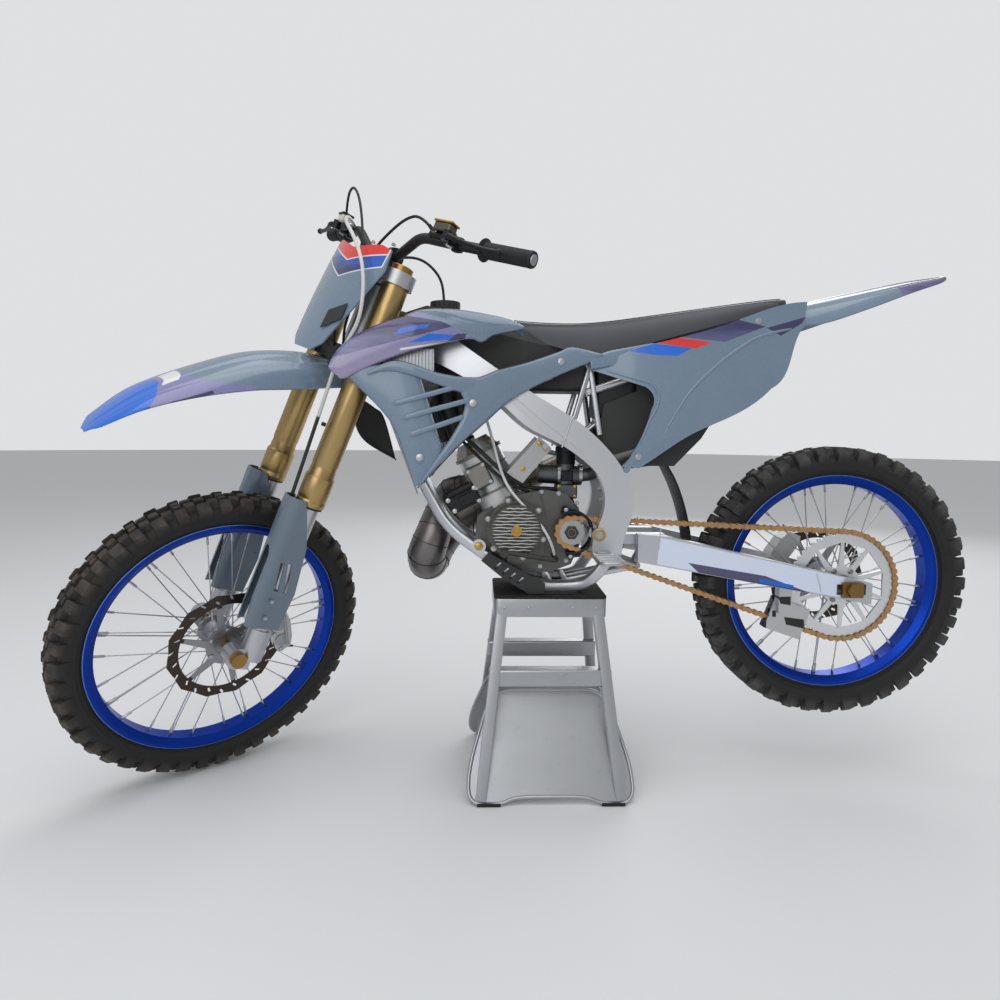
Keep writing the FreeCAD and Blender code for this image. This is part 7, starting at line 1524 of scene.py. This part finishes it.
for side in (1, -1):
    outer = np.stack([panel_edge[:, 0], side * panel_y, panel_edge[:, 1]], -1)
    inner = outer - [0, side * 0.004, 0]
    n = len(outer)
    order = 1 if side > 0 else -1
    walls = [(i, (i + 1) % n, n + (i + 1) % n, n + i)[::order] for i in range(n)]
    faces = walls + [tuple(range(n - 1, -1, -1))[::order], tuple(range(n, 2 * n))[::order]]
    panels.append((np.concatenate([outer, inner]), faces))
    roll = outer * [0.985, 1, 0.97] + [0, -side * 0.001, 0.0042]
    rolls.append(tube_mesh(roll, 0.0042, 10, closed=True))
    for end in (1, -1):
        head = np.array([end * 0.108, side * 0.084, TRAY_TOP - TRAY_LIP / 2])
        foot = np.array([end * 0.1554, side * 0.174, 0.008])
        way = (foot - head) / np.linalg.norm(foot - head)
        axes = axes_along(way, (1, 0, 0))
        section = np.array([(-12, -12), (12, -12), (12, 12), (6, 12), (5, 9.5), (-5, 9.5), (-6, 12),
                            (-12, 12)]) / 1000
        section = filleted(section, 0.0016, 4, True)
        if (axes[1] @ [0, side, 0]) < 0:
            section = section[::-1] * [1, -1]
        ends = np.array([head, foot])
        leg = ends[:, None] + section[None, :, :1] * axes[0] + section[None, :, 1:] * axes[1]
        count = len(section)
        legs.append(capped(leg.reshape(-1, 3), sheet_faces(2, count, False, True)[:, ::-1],
                           [range(count), range(2 * count - 1, count - 1, -1)]))
        feet.append(box_mesh(end * 0.137 - 0.026, end * 0.137 + 0.026, side * 0.176 - 0.014,
                             side * 0.176 + 0.014, 0, 0.008))
    low, high = sorted((side * 0.092, side * 0.126))
    steps.append(box_mesh(-0.138, 0.138, low, high, 0.245, 0.285))
piece("stand_tray", tray, "chassis", stand_alloy, replaces=("stand",), smooth=40)
piece("stand_panels", joined(panels), "chassis", stand_alloy, smooth=40, bevel=0.0012)
piece("stand_rolled_edges", joined(rolls), "chassis", stand_alloy, smooth=60)
piece("stand_legs", joined(legs), "chassis", stand_alloy, smooth=30)
piece("stand_steps", joined(steps), "chassis", stand_alloy, bevel=0.0045, steps=4)
piece("stand_feet", joined(feet), "chassis", rubber_black, bevel=0.0015)
rivets = [(x, side * TRAY_W, TRAY_TOP - 0.021) for x in (-0.104, -0.050, 0.050, 0.104) for side in (1, -1)]
dome = turned_mesh([(0.0, 0.0), (0.0032, 0.0), (0.0030, 0.0007), (0.0018, 0.0013), (0.0, 0.0015)][::-1], 14)


def domes(points, normals):
    """Rivet heads: the small dome set with its axle along each normal."""
    places = []
    for point, normal in zip(points, normals):
        across, up, way = axes_along(normal)
        places.append((np.array(point), np.stack([across, way, -up])))
    return repeated(dome, places)


piece("stand_rivets", domes(rivets, [(0, math.copysign(1, y), 0) for x, y, z in rivets]), "chassis", machined,
      smooth=50)


# Brake callipers: piston covers and a rib, bridge bolts, pad pin, and bleed nipple with its cap

def way_round(degrees):
    """The way out from an axle at an angle, and the way round it there."""
    c, s = math.cos(math.radians(degrees)), math.sin(math.radians(degrees))
    return np.array([c, 0, -s]), np.array([s, 0, c])


def calliper_fittings(name, axle, degrees, reach, side, outer, body, place):
    """Fittings on the outer face, which lies reach out from the axle and outer from the bike's middle."""
    out, along = way_round(degrees)
    middle = axle + out * reach + [0, outer, 0]

    def spot(u, v, w):
        """A place on the face: u outwards, v round the axle and w off the face."""
        return middle + out * u + along * v + [0, side * w, 0]

    covers = [tube_mesh([spot(0, v, -0.002), spot(0, v, 0.0024), spot(0, v, 0.0034)],
                        [0.0150, 0.0150, 0.0134], 32) for v in (-0.021, 0.021)]
    rib = tube_mesh([spot(0.013, -0.040, 0.0), spot(0.013, 0.040, 0.0)], 0.0042, 14)
    piece(f"{name}_covers", joined(covers + [rib]), body, hub_alloy, place, smooth=40)
    heads = [spot(u, v, 0.0) for u, v in ((-0.004, -0.045), (-0.004, 0.045), (-0.015, 0.0))]
    bolts(f"{name}_bolts", heads, (0, side, 0), 0.0052, 0.0046, body, machined, place)
    nipple = tube_mesh([spot(0.014, 0.046, -0.008), spot(0.021, 0.051, -0.008), spot(0.0212, 0.0512, -0.008),
                        spot(0.028, 0.056, -0.008)], [0.0042, 0.0042, 0.0028, 0.0024], 12)
    piece(f"{name}_nipple", nipple, body, rubber_black, place, smooth=50)


fork_axle = np.array([AXLE_LEAD, 0, 0])
calliper_fittings("front_calliper", fork_axle, 208.0, 0.117, 1, 0.078, "steering", FORK_FRAME)
calliper_fittings("rear_calliper", REAR_AXLE, -35.0, 0.107, -1, -0.0857, "chassis", BIKE_FRAME)


# Silencer: end bands, a ring of rivets at each end, and the outlet with its bore

SILENCER_RISE = 0.34
SILENCER_R = 0.0389
SILENCER_WAY = np.array([-1.0, 0.0, SILENCER_RISE]) / math.hypot(1.0, SILENCER_RISE)
SILENCER_UP = np.array([SILENCER_RISE, 0.0, 1.0]) / math.hypot(1.0, SILENCER_RISE)
SILENCER_FRAME = (np.array([-0.208, -0.130, 0.8585]), np.stack([SIDE, SILENCER_WAY, SILENCER_UP]))
end_band = [(0.0378, 0.0), (SILENCER_R, 0.0006), (SILENCER_R, 0.0144), (0.0378, 0.0150)]
end_bands = [turned_mesh([(r, y + at) for r, y in end_band], 64) for at in (0.021, 0.314)]
outlet = turned_mesh([(0.0185, 0.346), (0.0205, 0.346), (0.0205, 0.358), (0.0195, 0.3595), (0.0170, 0.3595),
                      (0.0160, 0.357), (0.0160, 0.300), (0.0, 0.300), (0.0, 0.298), (0.0185, 0.298)], 48)
piece("silencer_bands", joined(end_bands + [outlet]), "chassis", machined, SILENCER_FRAME,
      smooth=35)
hole = turned_mesh([(0.0, 0.3480), (0.0, 0.3496), (0.0162, 0.3496), (0.0162, 0.3480)], 40)
piece("silencer_bore", hole, "chassis", valve_black, SILENCER_FRAME, smooth=35)
rivet_ring = [(SILENCER_R * math.cos(a), at, SILENCER_R * math.sin(a))
              for a in np.arange(12) * TAU / 12 for at in (0.0285, 0.3215)]
piece("silencer_rivets", domes(rivet_ring, [(x, 0, z) for x, y, z in rivet_ring]), "chassis", steel,
      SILENCER_FRAME, smooth=50)


# Shock: a coiled spring, its collars and the gas bottle's cap

SHOCK_TOP = np.array([-0.118, 0.0, 0.846])
SHOCK_WAY = np.array([-0.050, 0.0, -0.326])
SHOCK_LONG = float(np.linalg.norm(SHOCK_WAY))
SHOCK_WAY = SHOCK_WAY / SHOCK_LONG
shock_axes = axes_along(SHOCK_WAY, (0, 1, 0))
SHOCK_FRAME = (SHOCK_TOP, shock_axes)
COIL_TURNS = 7
COIL_R = 0.0195
COIL_TOP = 0.090
turns = np.linspace(0, COIL_TURNS, COIL_TURNS * 24 + 1)
drop = COIL_TOP + (SHOCK_LONG - 0.045 - COIL_TOP) * turns / COIL_TURNS
coil = np.stack([COIL_R * np.cos(turns * TAU), COIL_R * np.sin(turns * TAU), drop], -1)
piece("shock_spring", tube_mesh(coil, 0.0054, 12), "chassis", coil_white, SHOCK_FRAME, ("shock",),
      smooth=60)
damper = tube_mesh([(0, 0, 0.004), (0, 0, 0.070), (0, 0, 0.0702), (0, 0, 0.084), (0, 0, 0.0842),
                    (0, 0, SHOCK_LONG - 0.038), (0, 0, SHOCK_LONG - 0.0378), (0, 0, SHOCK_LONG - 0.012)],
                   [0.0205, 0.0215, 0.0245, 0.0245, 0.0125, 0.0125, 0.0240, 0.0130], 40)
eye = tube_mesh([SHOCK_TOP + [0, -0.025, 0], SHOCK_TOP + [0, 0.025, 0]], 0.011, 28)
clevis = tube_mesh([(0, 0, SHOCK_LONG - 0.014), (0, 0, SHOCK_LONG)], 0.011, 24)
bottle = tube_mesh([(0, 0, 0.001), (0, 0, 0.004), (0, 0, 0.064), (0, 0, 0.066), (0, 0, 0.0661),
                    (0, 0, 0.0745)], [0.0155, 0.0175, 0.0175, 0.0165, 0.0150, 0.0140], 36)
BOTTLE_FRAME = (SHOCK_TOP + [-0.015, -0.0375, -0.0125], shock_axes)
for name, mesh, paint, place in (("damper", damper, dark_steel, SHOCK_FRAME),
                                 ("eye", eye, machined, BIKE_FRAME),
                                 ("clevis", clevis, machined, SHOCK_FRAME),
                                 ("bottle", bottle, gold_anodised, BOTTLE_FRAME)):
    piece(f"shock_{name}", mesh, "chassis", paint, place, smooth=40)


# Footpegs: open cast frames with sharp teeth

peg_outer = filleted([(-0.1370, 0.131), (-0.1355, 0.222), (-0.1270, 0.232), (-0.0970, 0.232),
                      (-0.0885, 0.222), (-0.0870, 0.131)], 0.006, 5, True)
cleat = (np.array([(-0.0035, -0.0015, 0), (0.0035, -0.0015, 0), (0.0035, 0.0015, 0), (-0.0035, 0.0015, 0),
                   (0, -0.0006, 0.0055), (0, 0.0006, 0.0055)]),
         [(3, 2, 1, 0), (0, 1, 4), (1, 2, 5, 4), (2, 3, 5), (3, 0, 4, 5)])
peg_rail = tube_mesh(np.c_[peg_outer, np.full(len(peg_outer), 0.547)], 0.0038, 12, closed=True, square=4.0)
peg_bars = [tube_mesh([(-0.1345, y, 0.547), (-0.0895, y, 0.547)], 0.0030, 12, square=4.0)
            for y in (0.155, 0.181, 0.208)]
peg_hinge = box_mesh(-0.1270, -0.0970, 0.103, 0.134, 0.529, 0.5545)
cleat_spots = np.concatenate([np.c_[np.full(9, -0.1362), np.linspace(0.140, 0.222, 9)],
                              np.c_[np.full(9, -0.0878), np.linspace(0.140, 0.222, 9)],
                              np.c_[np.linspace(-0.128, -0.096, 5), np.full(5, 0.2316)]])
ACROSS_PEG = np.eye(3)[[1, 0, 2]] * [[-1], [1], [1]]
turned_cleats = [(np.array([x, y, 0.5500]), ACROSS_PEG if abs(x + 0.112) > 0.02 else np.eye(3))
                 for x, y in cleat_spots]
one_peg = joined([peg_rail, peg_hinge] + peg_bars + [repeated(cleat, turned_cleats)])
piece("footpeg_frames", both_sides(one_peg), "chassis", machined, replaces=("footpegs",),
      smooth=30, bevel=0.0006, steps=1)


# Right side of the engine: clutch cover bolts and its cap's plain face, primary cover bolts, and the kick
# start lever folded against it

CLUTCH_MID = np.array([-0.0052, -0.0800, 0.6005])
rim_bolts = [CLUTCH_MID + [0.0640 * math.cos(a), -0.0004, 0.0640 * math.sin(a)]
             for a in np.arange(9) * TAU / 9 + 0.2]
bolts("clutch_cover_bolts", rim_bolts, (0, -1, 0), 0.0044, 0.0046, "chassis", machined)
inner_bolts = [CLUTCH_MID + [0.0440 * math.cos(a), -0.0104, 0.0440 * math.sin(a)]
               for a in np.arange(6) * TAU / 6]
bolts("clutch_cap_bolts", inner_bolts, (0, -1, 0), 0.0040, 0.0042, "chassis", machined)
plain = turned_mesh([(0.0, -0.0118), (0.0, -0.0100), (0.0360, -0.0100), (0.0360, -0.0118),
                     (0.0335, -0.0126)][::-1], 64)
piece("clutch_cap_face", moved(plain, CLUTCH_MID), "chassis", machined, smooth=30)
primary_bolts = [(0.080 + 0.046 * math.cos(a), -0.0702, 0.597 + 0.046 * math.sin(a))
                 for a in (-1.2, -0.3, 0.6, 1.5)]
bolts("primary_cover_bolts", primary_bolts, (0, -1, 0), 0.0042, 0.0044, "chassis", machined)
kick_arm = smooth_line([(-0.066, -0.086, 0.632), (-0.060, -0.094, 0.668), (-0.050, -0.098, 0.712),
                        (-0.040, -0.098, 0.752)], 24)
kick_boss = tube_mesh([(-0.068, -0.050, 0.626), (-0.068, -0.095, 0.626)], 0.0150, 32)
kick_bar = tube_mesh(kick_arm, np.linspace(0.0092, 0.0072, 24), 20, square=3.0)
kick_knuckle = tube_mesh([(-0.040, -0.098, 0.746), (-0.037, -0.098, 0.768)], 0.0112, 24)
foot_knots = [(-0.037, -0.099, 0.760), (-0.010, -0.100, 0.768), (0.030, -0.100, 0.770),
              (0.034, -0.100, 0.770)]
foot_radii = np.r_[np.linspace(0.0065, 0.0072, 14), 0.0072, 0.0050]
kick_foot = tube_mesh(smooth_line(foot_knots, 16), foot_radii, 20)
piece("kick_start_lever", joined([kick_boss, kick_bar, kick_knuckle, kick_foot]), "chassis", machined,
      smooth=45)


# Chain adjusters, and the hoses beside the barrel

for side, name in SIDES:
    adjuster = [(-0.7195, side * 0.099, 0.468)]
    bolts(f"chain_adjuster_{name}", adjuster, (-1, 0, 0), 0.0062, 0.010, "chassis", steel)
nurbs_hose("overflow_hose", [(206, 52, 812), (189, 62, 797), (151, 71, 764), (112, 75, 726), (73, 64, 698),
                             (35, 48, 686), (-12, 34, 686)], 4.6, "chassis", hose_black)
nurbs_hose("vent_hose", [(214, 40, 806), (196, 52, 788), (158, 64, 752), (118, 70, 714), (78, 62, 690),
                         (48, 50, 680)], 3.6, "chassis", hose_black)

# Mud flap ahead of the rear wheel, and the stand's mat with rounded corners

FLAP_ROWS, FLAP_COLS = 30, 17
flap_knots = [(-0.268, 0.752), (-0.296, 0.700), (-0.318, 0.640), (-0.332, 0.580), (-0.335, 0.548)]
flap_line = even_line(smooth_line(flap_knots, FLAP_ROWS), FLAP_ROWS)
flap_across = np.linspace(-1, 1, FLAP_COLS)
flap_down = np.linspace(0, 1, FLAP_ROWS)
flap_half = np.interp(flap_down, [0, 0.2, 0.85, 1.0], [0.040, 0.046, 0.042, 0.034])[:, None]
flap_points = np.stack([flap_line[:, :1] + 0.006 * (1 - flap_across ** 2), flap_half * flap_across,
                        flap_line[:, 1:] + 0 * flap_across], -1)
piece("mud_flap", (flap_points.reshape(-1, 3), sheet_faces(FLAP_ROWS, FLAP_COLS)), "chassis", black_plastic,
      smooth=60, thick=0.0026, bevel=0.0006, steps=1)
mat = stacked(filleted([(-0.128, -0.100), (0.128, -0.100), (0.128, 0.100), (-0.128, 0.100)], 0.012, 7, True),
              [(0.0, TRAY_TOP), (0.0, TRAY_TOP + 0.0048), (0.0012, TRAY_TOP + 0.0060)])
piece("stand_mat_pad", mat, "chassis", mat_rubber, replaces=("stand_mat",), smooth=40)


# Shrouds: a printed cover above, and below it a facet, three ribs, a wing and a leg, all on one bowed skin

SKIN_X = [-0.10, -0.02, 0.06, 0.14, 0.22, 0.30, 0.38, 0.48]
SKIN_Y = [0.1061, 0.1105, 0.1208, 0.1346, 0.1467, 0.1538, 0.1560, 0.1561]


def skin(flat, proud=0.0):
    """(x, z) places on the shroud. Their y is the skin's reach at x, less 0.020 ((z - 1.02) / 0.05)^2
    above z = 1.02, plus what stands proud."""
    x, z = flat[..., 0], flat[..., 1]
    lean = 0.020 * np.clip((z - 1.02) / 0.05, 0, 1.2) ** 2
    return np.stack([x, np.interp(x, SKIN_X, SKIN_Y) - lean - 0.0045 + proud, z], -1)


def strip(upper, lower, along, across, bow, edge=0.0, peak=0.0):
    """A sheet between two lines: points (1 - t) upper + t lower, bowed outwards by bow (1 - |2t - 1|^2.4),
    its two edges turned in by edge, and its first rows lifted by peak sin(pi t), which fades out along it."""
    t = np.linspace(0, 1, across)[None, :, None]
    a, b = even_line(smooth_line(upper, 120), along), even_line(smooth_line(lower, 120), along)
    flat = a[:, None] * (1 - t) + b[:, None] * t
    fall = np.exp(-np.linspace(0, 6, along))[:, None]
    flat[..., 1] += peak * np.sin(math.pi * t[..., 0]) * fall
    side = np.abs(2 * t[..., 0] - 1)
    proud = bow * (1 - side ** 2.4) - edge * np.clip((side - 0.90) / 0.10, 0, 1) ** 2
    return skin(flat, proud).reshape(-1, 3), sheet_faces(along, across)


COVER_TOP = [(0.4772, 0.9445), (0.4700, 0.9640), (0.4524, 0.9874), (0.4186, 1.0137), (0.3589, 1.0403),
             (0.3216, 1.0540), (0.2842, 1.0690), (0.2095, 1.0710), (0.1118, 1.0560), (0.0701, 1.0374)]
COVER_LOW = [(0.4772, 0.9445), (0.4640, 0.9330), (0.4475, 0.9245), (0.4081, 0.9436), (0.3067, 0.9839),
             (0.1942, 1.0115), (0.1602, 1.0060), (0.1340, 1.0215), (0.0701, 1.0374)]
FACET_LEFT = [(0.4450, 0.9330), (0.4262, 0.9132), (0.3742, 0.8617), (0.3440, 0.8200), (0.3218, 0.7600),
              (0.3010, 0.6970)]
FACET_RIGHT = [(0.3004, 0.9520), (0.2860, 0.9040), (0.2723, 0.8590), (0.2590, 0.8150), (0.2470, 0.7740),
               (0.2850, 0.7030)]
ARM_TOP = [(0.398, 0.9330), (0.372, 0.9500), (0.340, 0.9600), (0.306, 0.9530), (0.2574, 0.9375),
           (0.2086, 0.9290), (0.1650, 0.9290)]
ARM_LOW = [(0.398, 0.9330), (0.370, 0.9400), (0.340, 0.9400), (0.300, 0.9310), (0.2574, 0.9165),
           (0.2100, 0.9010), (0.1700, 0.8930)]
WING_LEFT = [(-0.1041, 0.9870), (-0.0377, 1.0008), (-0.0048, 0.9890), (0.0600, 0.9660), (0.1222, 0.9486),
             (0.1672, 0.9313), (0.2086, 0.9260), (0.2060, 0.9000), (0.1960, 0.8780), (0.2030, 0.8450),
             (0.2220, 0.8080), (0.2460, 0.7720), (0.2750, 0.7300), (0.2950, 0.6960)]
WING_RIGHT = [(-0.1041, 0.9830), (-0.0850, 0.9720), (-0.0057, 0.9373), (0.0574, 0.9066), (0.1025, 0.8798),
              (0.1401, 0.8455), (0.1701, 0.8190), (0.2077, 0.7850), (0.2408, 0.7512), (0.2937, 0.6930)]
RIBS = [[(0.350, 0.8700), (0.3100, 0.8815), (0.2724, 0.8920), (0.2420, 0.9010), (0.2090, 0.9100)],
        [(0.330, 0.8400), (0.2980, 0.8500), (0.2648, 0.8600), (0.2250, 0.8710), (0.1860, 0.8825)],
        [(0.318, 0.8050), (0.2880, 0.8150), (0.2572, 0.8255), (0.2300, 0.8350), (0.2000, 0.8460)]]


cover = strip(COVER_TOP, COVER_LOW, 110, 25, 0.0040, 0.0030)
cover[0][:, 1] += 0.0022
piece("shroud_cover", both_sides(flipped(cover)), "chassis", shroud_print, replaces=("shrouds",),
      smooth=40, thick=0.0028)
facet = strip(FACET_LEFT, FACET_RIGHT, 80, 21, 0.0020, 0.0016, 0.010)
arm = strip(ARM_TOP, ARM_LOW, 70, 13, 0.0034, 0.0020)
arm[0][:, 1] += 0.0016 - 0.0046 * np.clip((0.205 - arm[0][:, 0]) / 0.035, 0, 1)
wing = strip(WING_LEFT, WING_RIGHT, 130, 21, 0.0052, 0.0030)
lower = joined([facet, arm, wing])
piece("shroud_frames", both_sides(flipped(lower)), "chassis", slate, smooth=40,
      thick=0.0028)
rib_bars = []
for line in RIBS:
    path = even_line(smooth_line(line, 60), 48)
    s = np.linspace(0, 1, 48)
    reach = 0.0064 * np.clip(s / 0.10, 0.15, 1) ** 0.5 * (1 - 0.15 * s)
    rib_bars.append(tube_mesh(skin(path, -0.0006 + 0.0016 * s), reach, 20, square=3.0))
flange_top = even_line(smooth_line(FACET_RIGHT, 80), 60)
flange = np.stack([skin(flange_top, 0.0), skin(flange_top - [0.004, 0], -0.014)], 1).reshape(-1, 3)
piece("shroud_ribs", both_sides(joined(rib_bars)), "chassis", slate, smooth=50)
piece("shroud_flanges", both_sides(flipped((flange, sheet_faces(60, 2)))), "chassis", slate,
      smooth=40, thick=0.0024)


# Side panels: two raised lines along each, its front corner, and the screws of panels and shrouds

PANEL_X = [-0.54, -0.50, -0.46, -0.42, -0.38, -0.34, -0.30, -0.26, -0.22, -0.18, -0.14, -0.09]
PANEL_Y = [0.1068, 0.1126, 0.1172, 0.1210, 0.1231, 0.1241, 0.1239, 0.1224, 0.1191, 0.1143, 0.1077, 0.0985]
swages = []
for knots, reach in (([(-0.240, 0.812), (-0.2539, 0.842), (-0.2928, 0.9061), (-0.3435, 0.9584),
                       (-0.3946, 0.9991), (-0.4461, 1.0284), (-0.5156, 1.0465)], 0.0042),
                     ([(-0.112, 0.952), (-0.160, 0.938), (-0.2050, 0.925), (-0.2230, 0.906), (-0.2250, 0.880),
                       (-0.2060, 0.838), (-0.1890, 0.790)], 0.0034)):
    path = even_line(smooth_line(knots, 80), 60)
    y = np.interp(path[:, 0], PANEL_X, PANEL_Y)
    s = np.linspace(0, math.pi, 60)
    swages.append(tube_mesh(np.c_[path[:, 0], y - reach * 0.62, path[:, 1]],
                            reach * (0.35 + 0.65 * np.sin(s) ** 0.4), 14))
piece("panel_swages", both_sides(joined(swages)), "chassis", slate, smooth=60)
corner = strip([(-0.076, 0.972), (-0.110, 0.9900), (-0.160, 1.0010), (-0.215, 1.0110)],
               [(-0.078, 0.954), (-0.110, 0.9590), (-0.160, 0.9720), (-0.215, 0.9920)], 40, 9, 0.0012, 0.0010)
piece("panel_corners", both_sides(flipped(corner)), "chassis", slate, smooth=40,
      thick=0.0024)
for side, name in SIDES:
    heads = [(x, side * (float(np.interp(x, PANEL_X, PANEL_Y)) - 0.0006), z)
             for x, z in ((-0.4374, 1.0600), (-0.1858, 0.7640))]
    bolts(f"panel_screws_{name}", heads, (0, side, 0), 0.0058, 0.0026, "chassis", machined, sides=20)
    wing_heads = [(-0.0113, side * 0.1120, 0.9681), (0.1781, side * 0.1425, 0.8758),
                  (0.290, side * 0.1535, 0.7597)]
    bolts(f"shroud_screws_{name}", wing_heads, (0, side, 0), 0.0062, 0.0030, "chassis", machined,
          sides=20)
    bolts(f"cover_screws_{name}", [(0.166, side * 0.1375, 1.0161)], (0, side, 0), 0.0050, 0.0026, "chassis",
          machined, sides=20)


# The cover's top turns in to the tank, and each screw stands on a post that reaches what is behind it
rim = skin(even_line(smooth_line(COVER_TOP[1:], 120), 90), -0.0008)
inward = np.linspace(0, 1, 9)[None, :]
reach_in = np.minimum(rim[:, 1] - 0.010, 0.086 + 0.30 * np.clip(rim[:, 0] - 0.33, 0, 1))[:, None]
top_y = rim[:, 1][:, None] * (1 - inward) + reach_in * inward
top_z = rim[:, 2][:, None] - 0.0012 - 0.012 * inward ** 2
cover_lip = (np.stack([rim[:, 0][:, None] + 0 * inward, top_y, top_z], -1).reshape(-1, 3), sheet_faces(90, 9))
piece("shroud_lips", both_sides(flipped(cover_lip)), "chassis", slate, smooth=40,
      thick=0.0024)
posts = []
for side in (1, -1):
    for x, z, inner, outer in ((0.166, 1.0161, 0.078, 0.134), (0.1781, 0.8758, 0.050, 0.139),
                               (0.290, 0.7597, 0.085, 0.150), (-0.0113, 0.9681, 0.052, 0.108),
                               (0.430, 0.960, 0.060, 0.150)):
        posts.append(tube_mesh([(x, side * inner, z), (x, side * outer, z)], 0.0050, 16))
piece("shroud_posts", joined(posts), "chassis", black_plastic, smooth=40)


# Behind the shrouds: the radiators' pale edges and finned tops
core_edge = even_line(smooth_line([(x - 0.0015, z) for x, z in FACET_RIGHT[:5]], 60), 40)
edges = [tube_mesh(skin(core_edge, -0.010), 0.0040, 12, square=4.0),
         box_mesh(0.262, 0.350, 0.116, 0.124, 0.925, 0.990)]
edges += [box_mesh(x, x + 0.0030, 0.1235, 0.1290, 0.927, 0.989) for x in np.arange(0.266, 0.346, 0.0072)]
piece("radiator_edges", both_sides(joined(edges)), "chassis", hub_alloy, smooth=40)

# The radiators, up behind the shrouds as the photograph shows them: a finned core between two tanks each
lean = np.array([[0.9265, 0.0, 0.3762], [0.0, 1.0, 0.0], [-0.3762, 0.0, 0.9265]])
parts = [box_mesh(*corners) for corners in (
    (-0.032, -0.002, 0.062, 0.136, 0.024, 0.126), (-0.034, 0.0, 0.060, 0.138, 0.0, 0.026),
    (-0.034, 0.0, 0.060, 0.138, 0.124, 0.146), (-0.022, -0.012, 0.012, 0.064, 0.068, 0.078))]
parts += [box_mesh(-0.004, 0.0, 0.064, 0.134, up, up + 0.0016) for up in np.arange(0.030, 0.122, 0.0062)]
core, core_faces = joined(parts)
radiator = core @ lean + [0.335, 0.0, 0.800], core_faces
piece("radiator_cores", both_sides(radiator), "chassis", finned, replaces=("radiators",),
      smooth=30)
pipes = []
for side in (1, -1):
    for y, radius, knots in ((0.098, 0.0150, [(0.278, 0.975), (0.270, 0.883), (0.247, 0.790)]),
                             (0.072, 0.0170, [(0.243, 0.925), (0.236, 0.870), (0.214, 0.800)]),
                             (0.060, 0.0150, [(0.208, 0.905), (0.202, 0.860), (0.196, 0.830)])):
        flat = smooth_line(knots, 24)
        pipes.append(tube_mesh(np.c_[flat[:, 0], np.full(24, side * y), flat[:, 1]], radius, 24))
piece("radiator_hoses", joined(pipes), "chassis", black_plastic, smooth=50)
# A black sheet on the far side, just inside the right shroud: it stands for that shroud's inner face lying in
# shade, so its black is painted shade.
blade = strip([(0.486, 0.913), (0.4756, 0.8343), (0.4485, 0.787), (0.3735, 0.7425)],
              [(0.486, 0.913), (0.428, 0.8747), (0.402, 0.8476), (0.3735, 0.7425)], 60, 13, 0.004)
blade[0][:, 1] = -blade[0][:, 1] + 0.024
piece("far_shroud_shade_sheet", blade, "chassis", black_plastic, smooth=40, thick=0.0026)


# Behind the panels: the tank's skirt, the front of the airbox and the subframe's stays
skirt = box_mesh(-0.078, 0.070, -0.064, 0.064, 0.908, 0.972)
front_box = box_mesh(-0.190, -0.100, -0.056, 0.056, 0.850, 0.962)
piece("airbox_front", joined([skirt, front_box]), "chassis", black_plastic, bevel=0.010,
      steps=4)
stays = []
for side in (1, -1):
    for foot in ((-0.0485, 0.8468), (-0.1071, 0.8113)):
        ends = [(-0.0822, side * 0.066, 0.9640), (foot[0], side * 0.070, foot[1])]
        stays.append(tube_mesh(even_line(ends, 8), 0.0062, 20, square=4.0))
    stays.append(tube_mesh([(-0.0822, side * 0.056, 0.9660), (-0.0822, side * 0.078, 0.9660)], 0.0120, 28))
piece("subframe_stays", joined(stays), "chassis", machined, smooth=40)
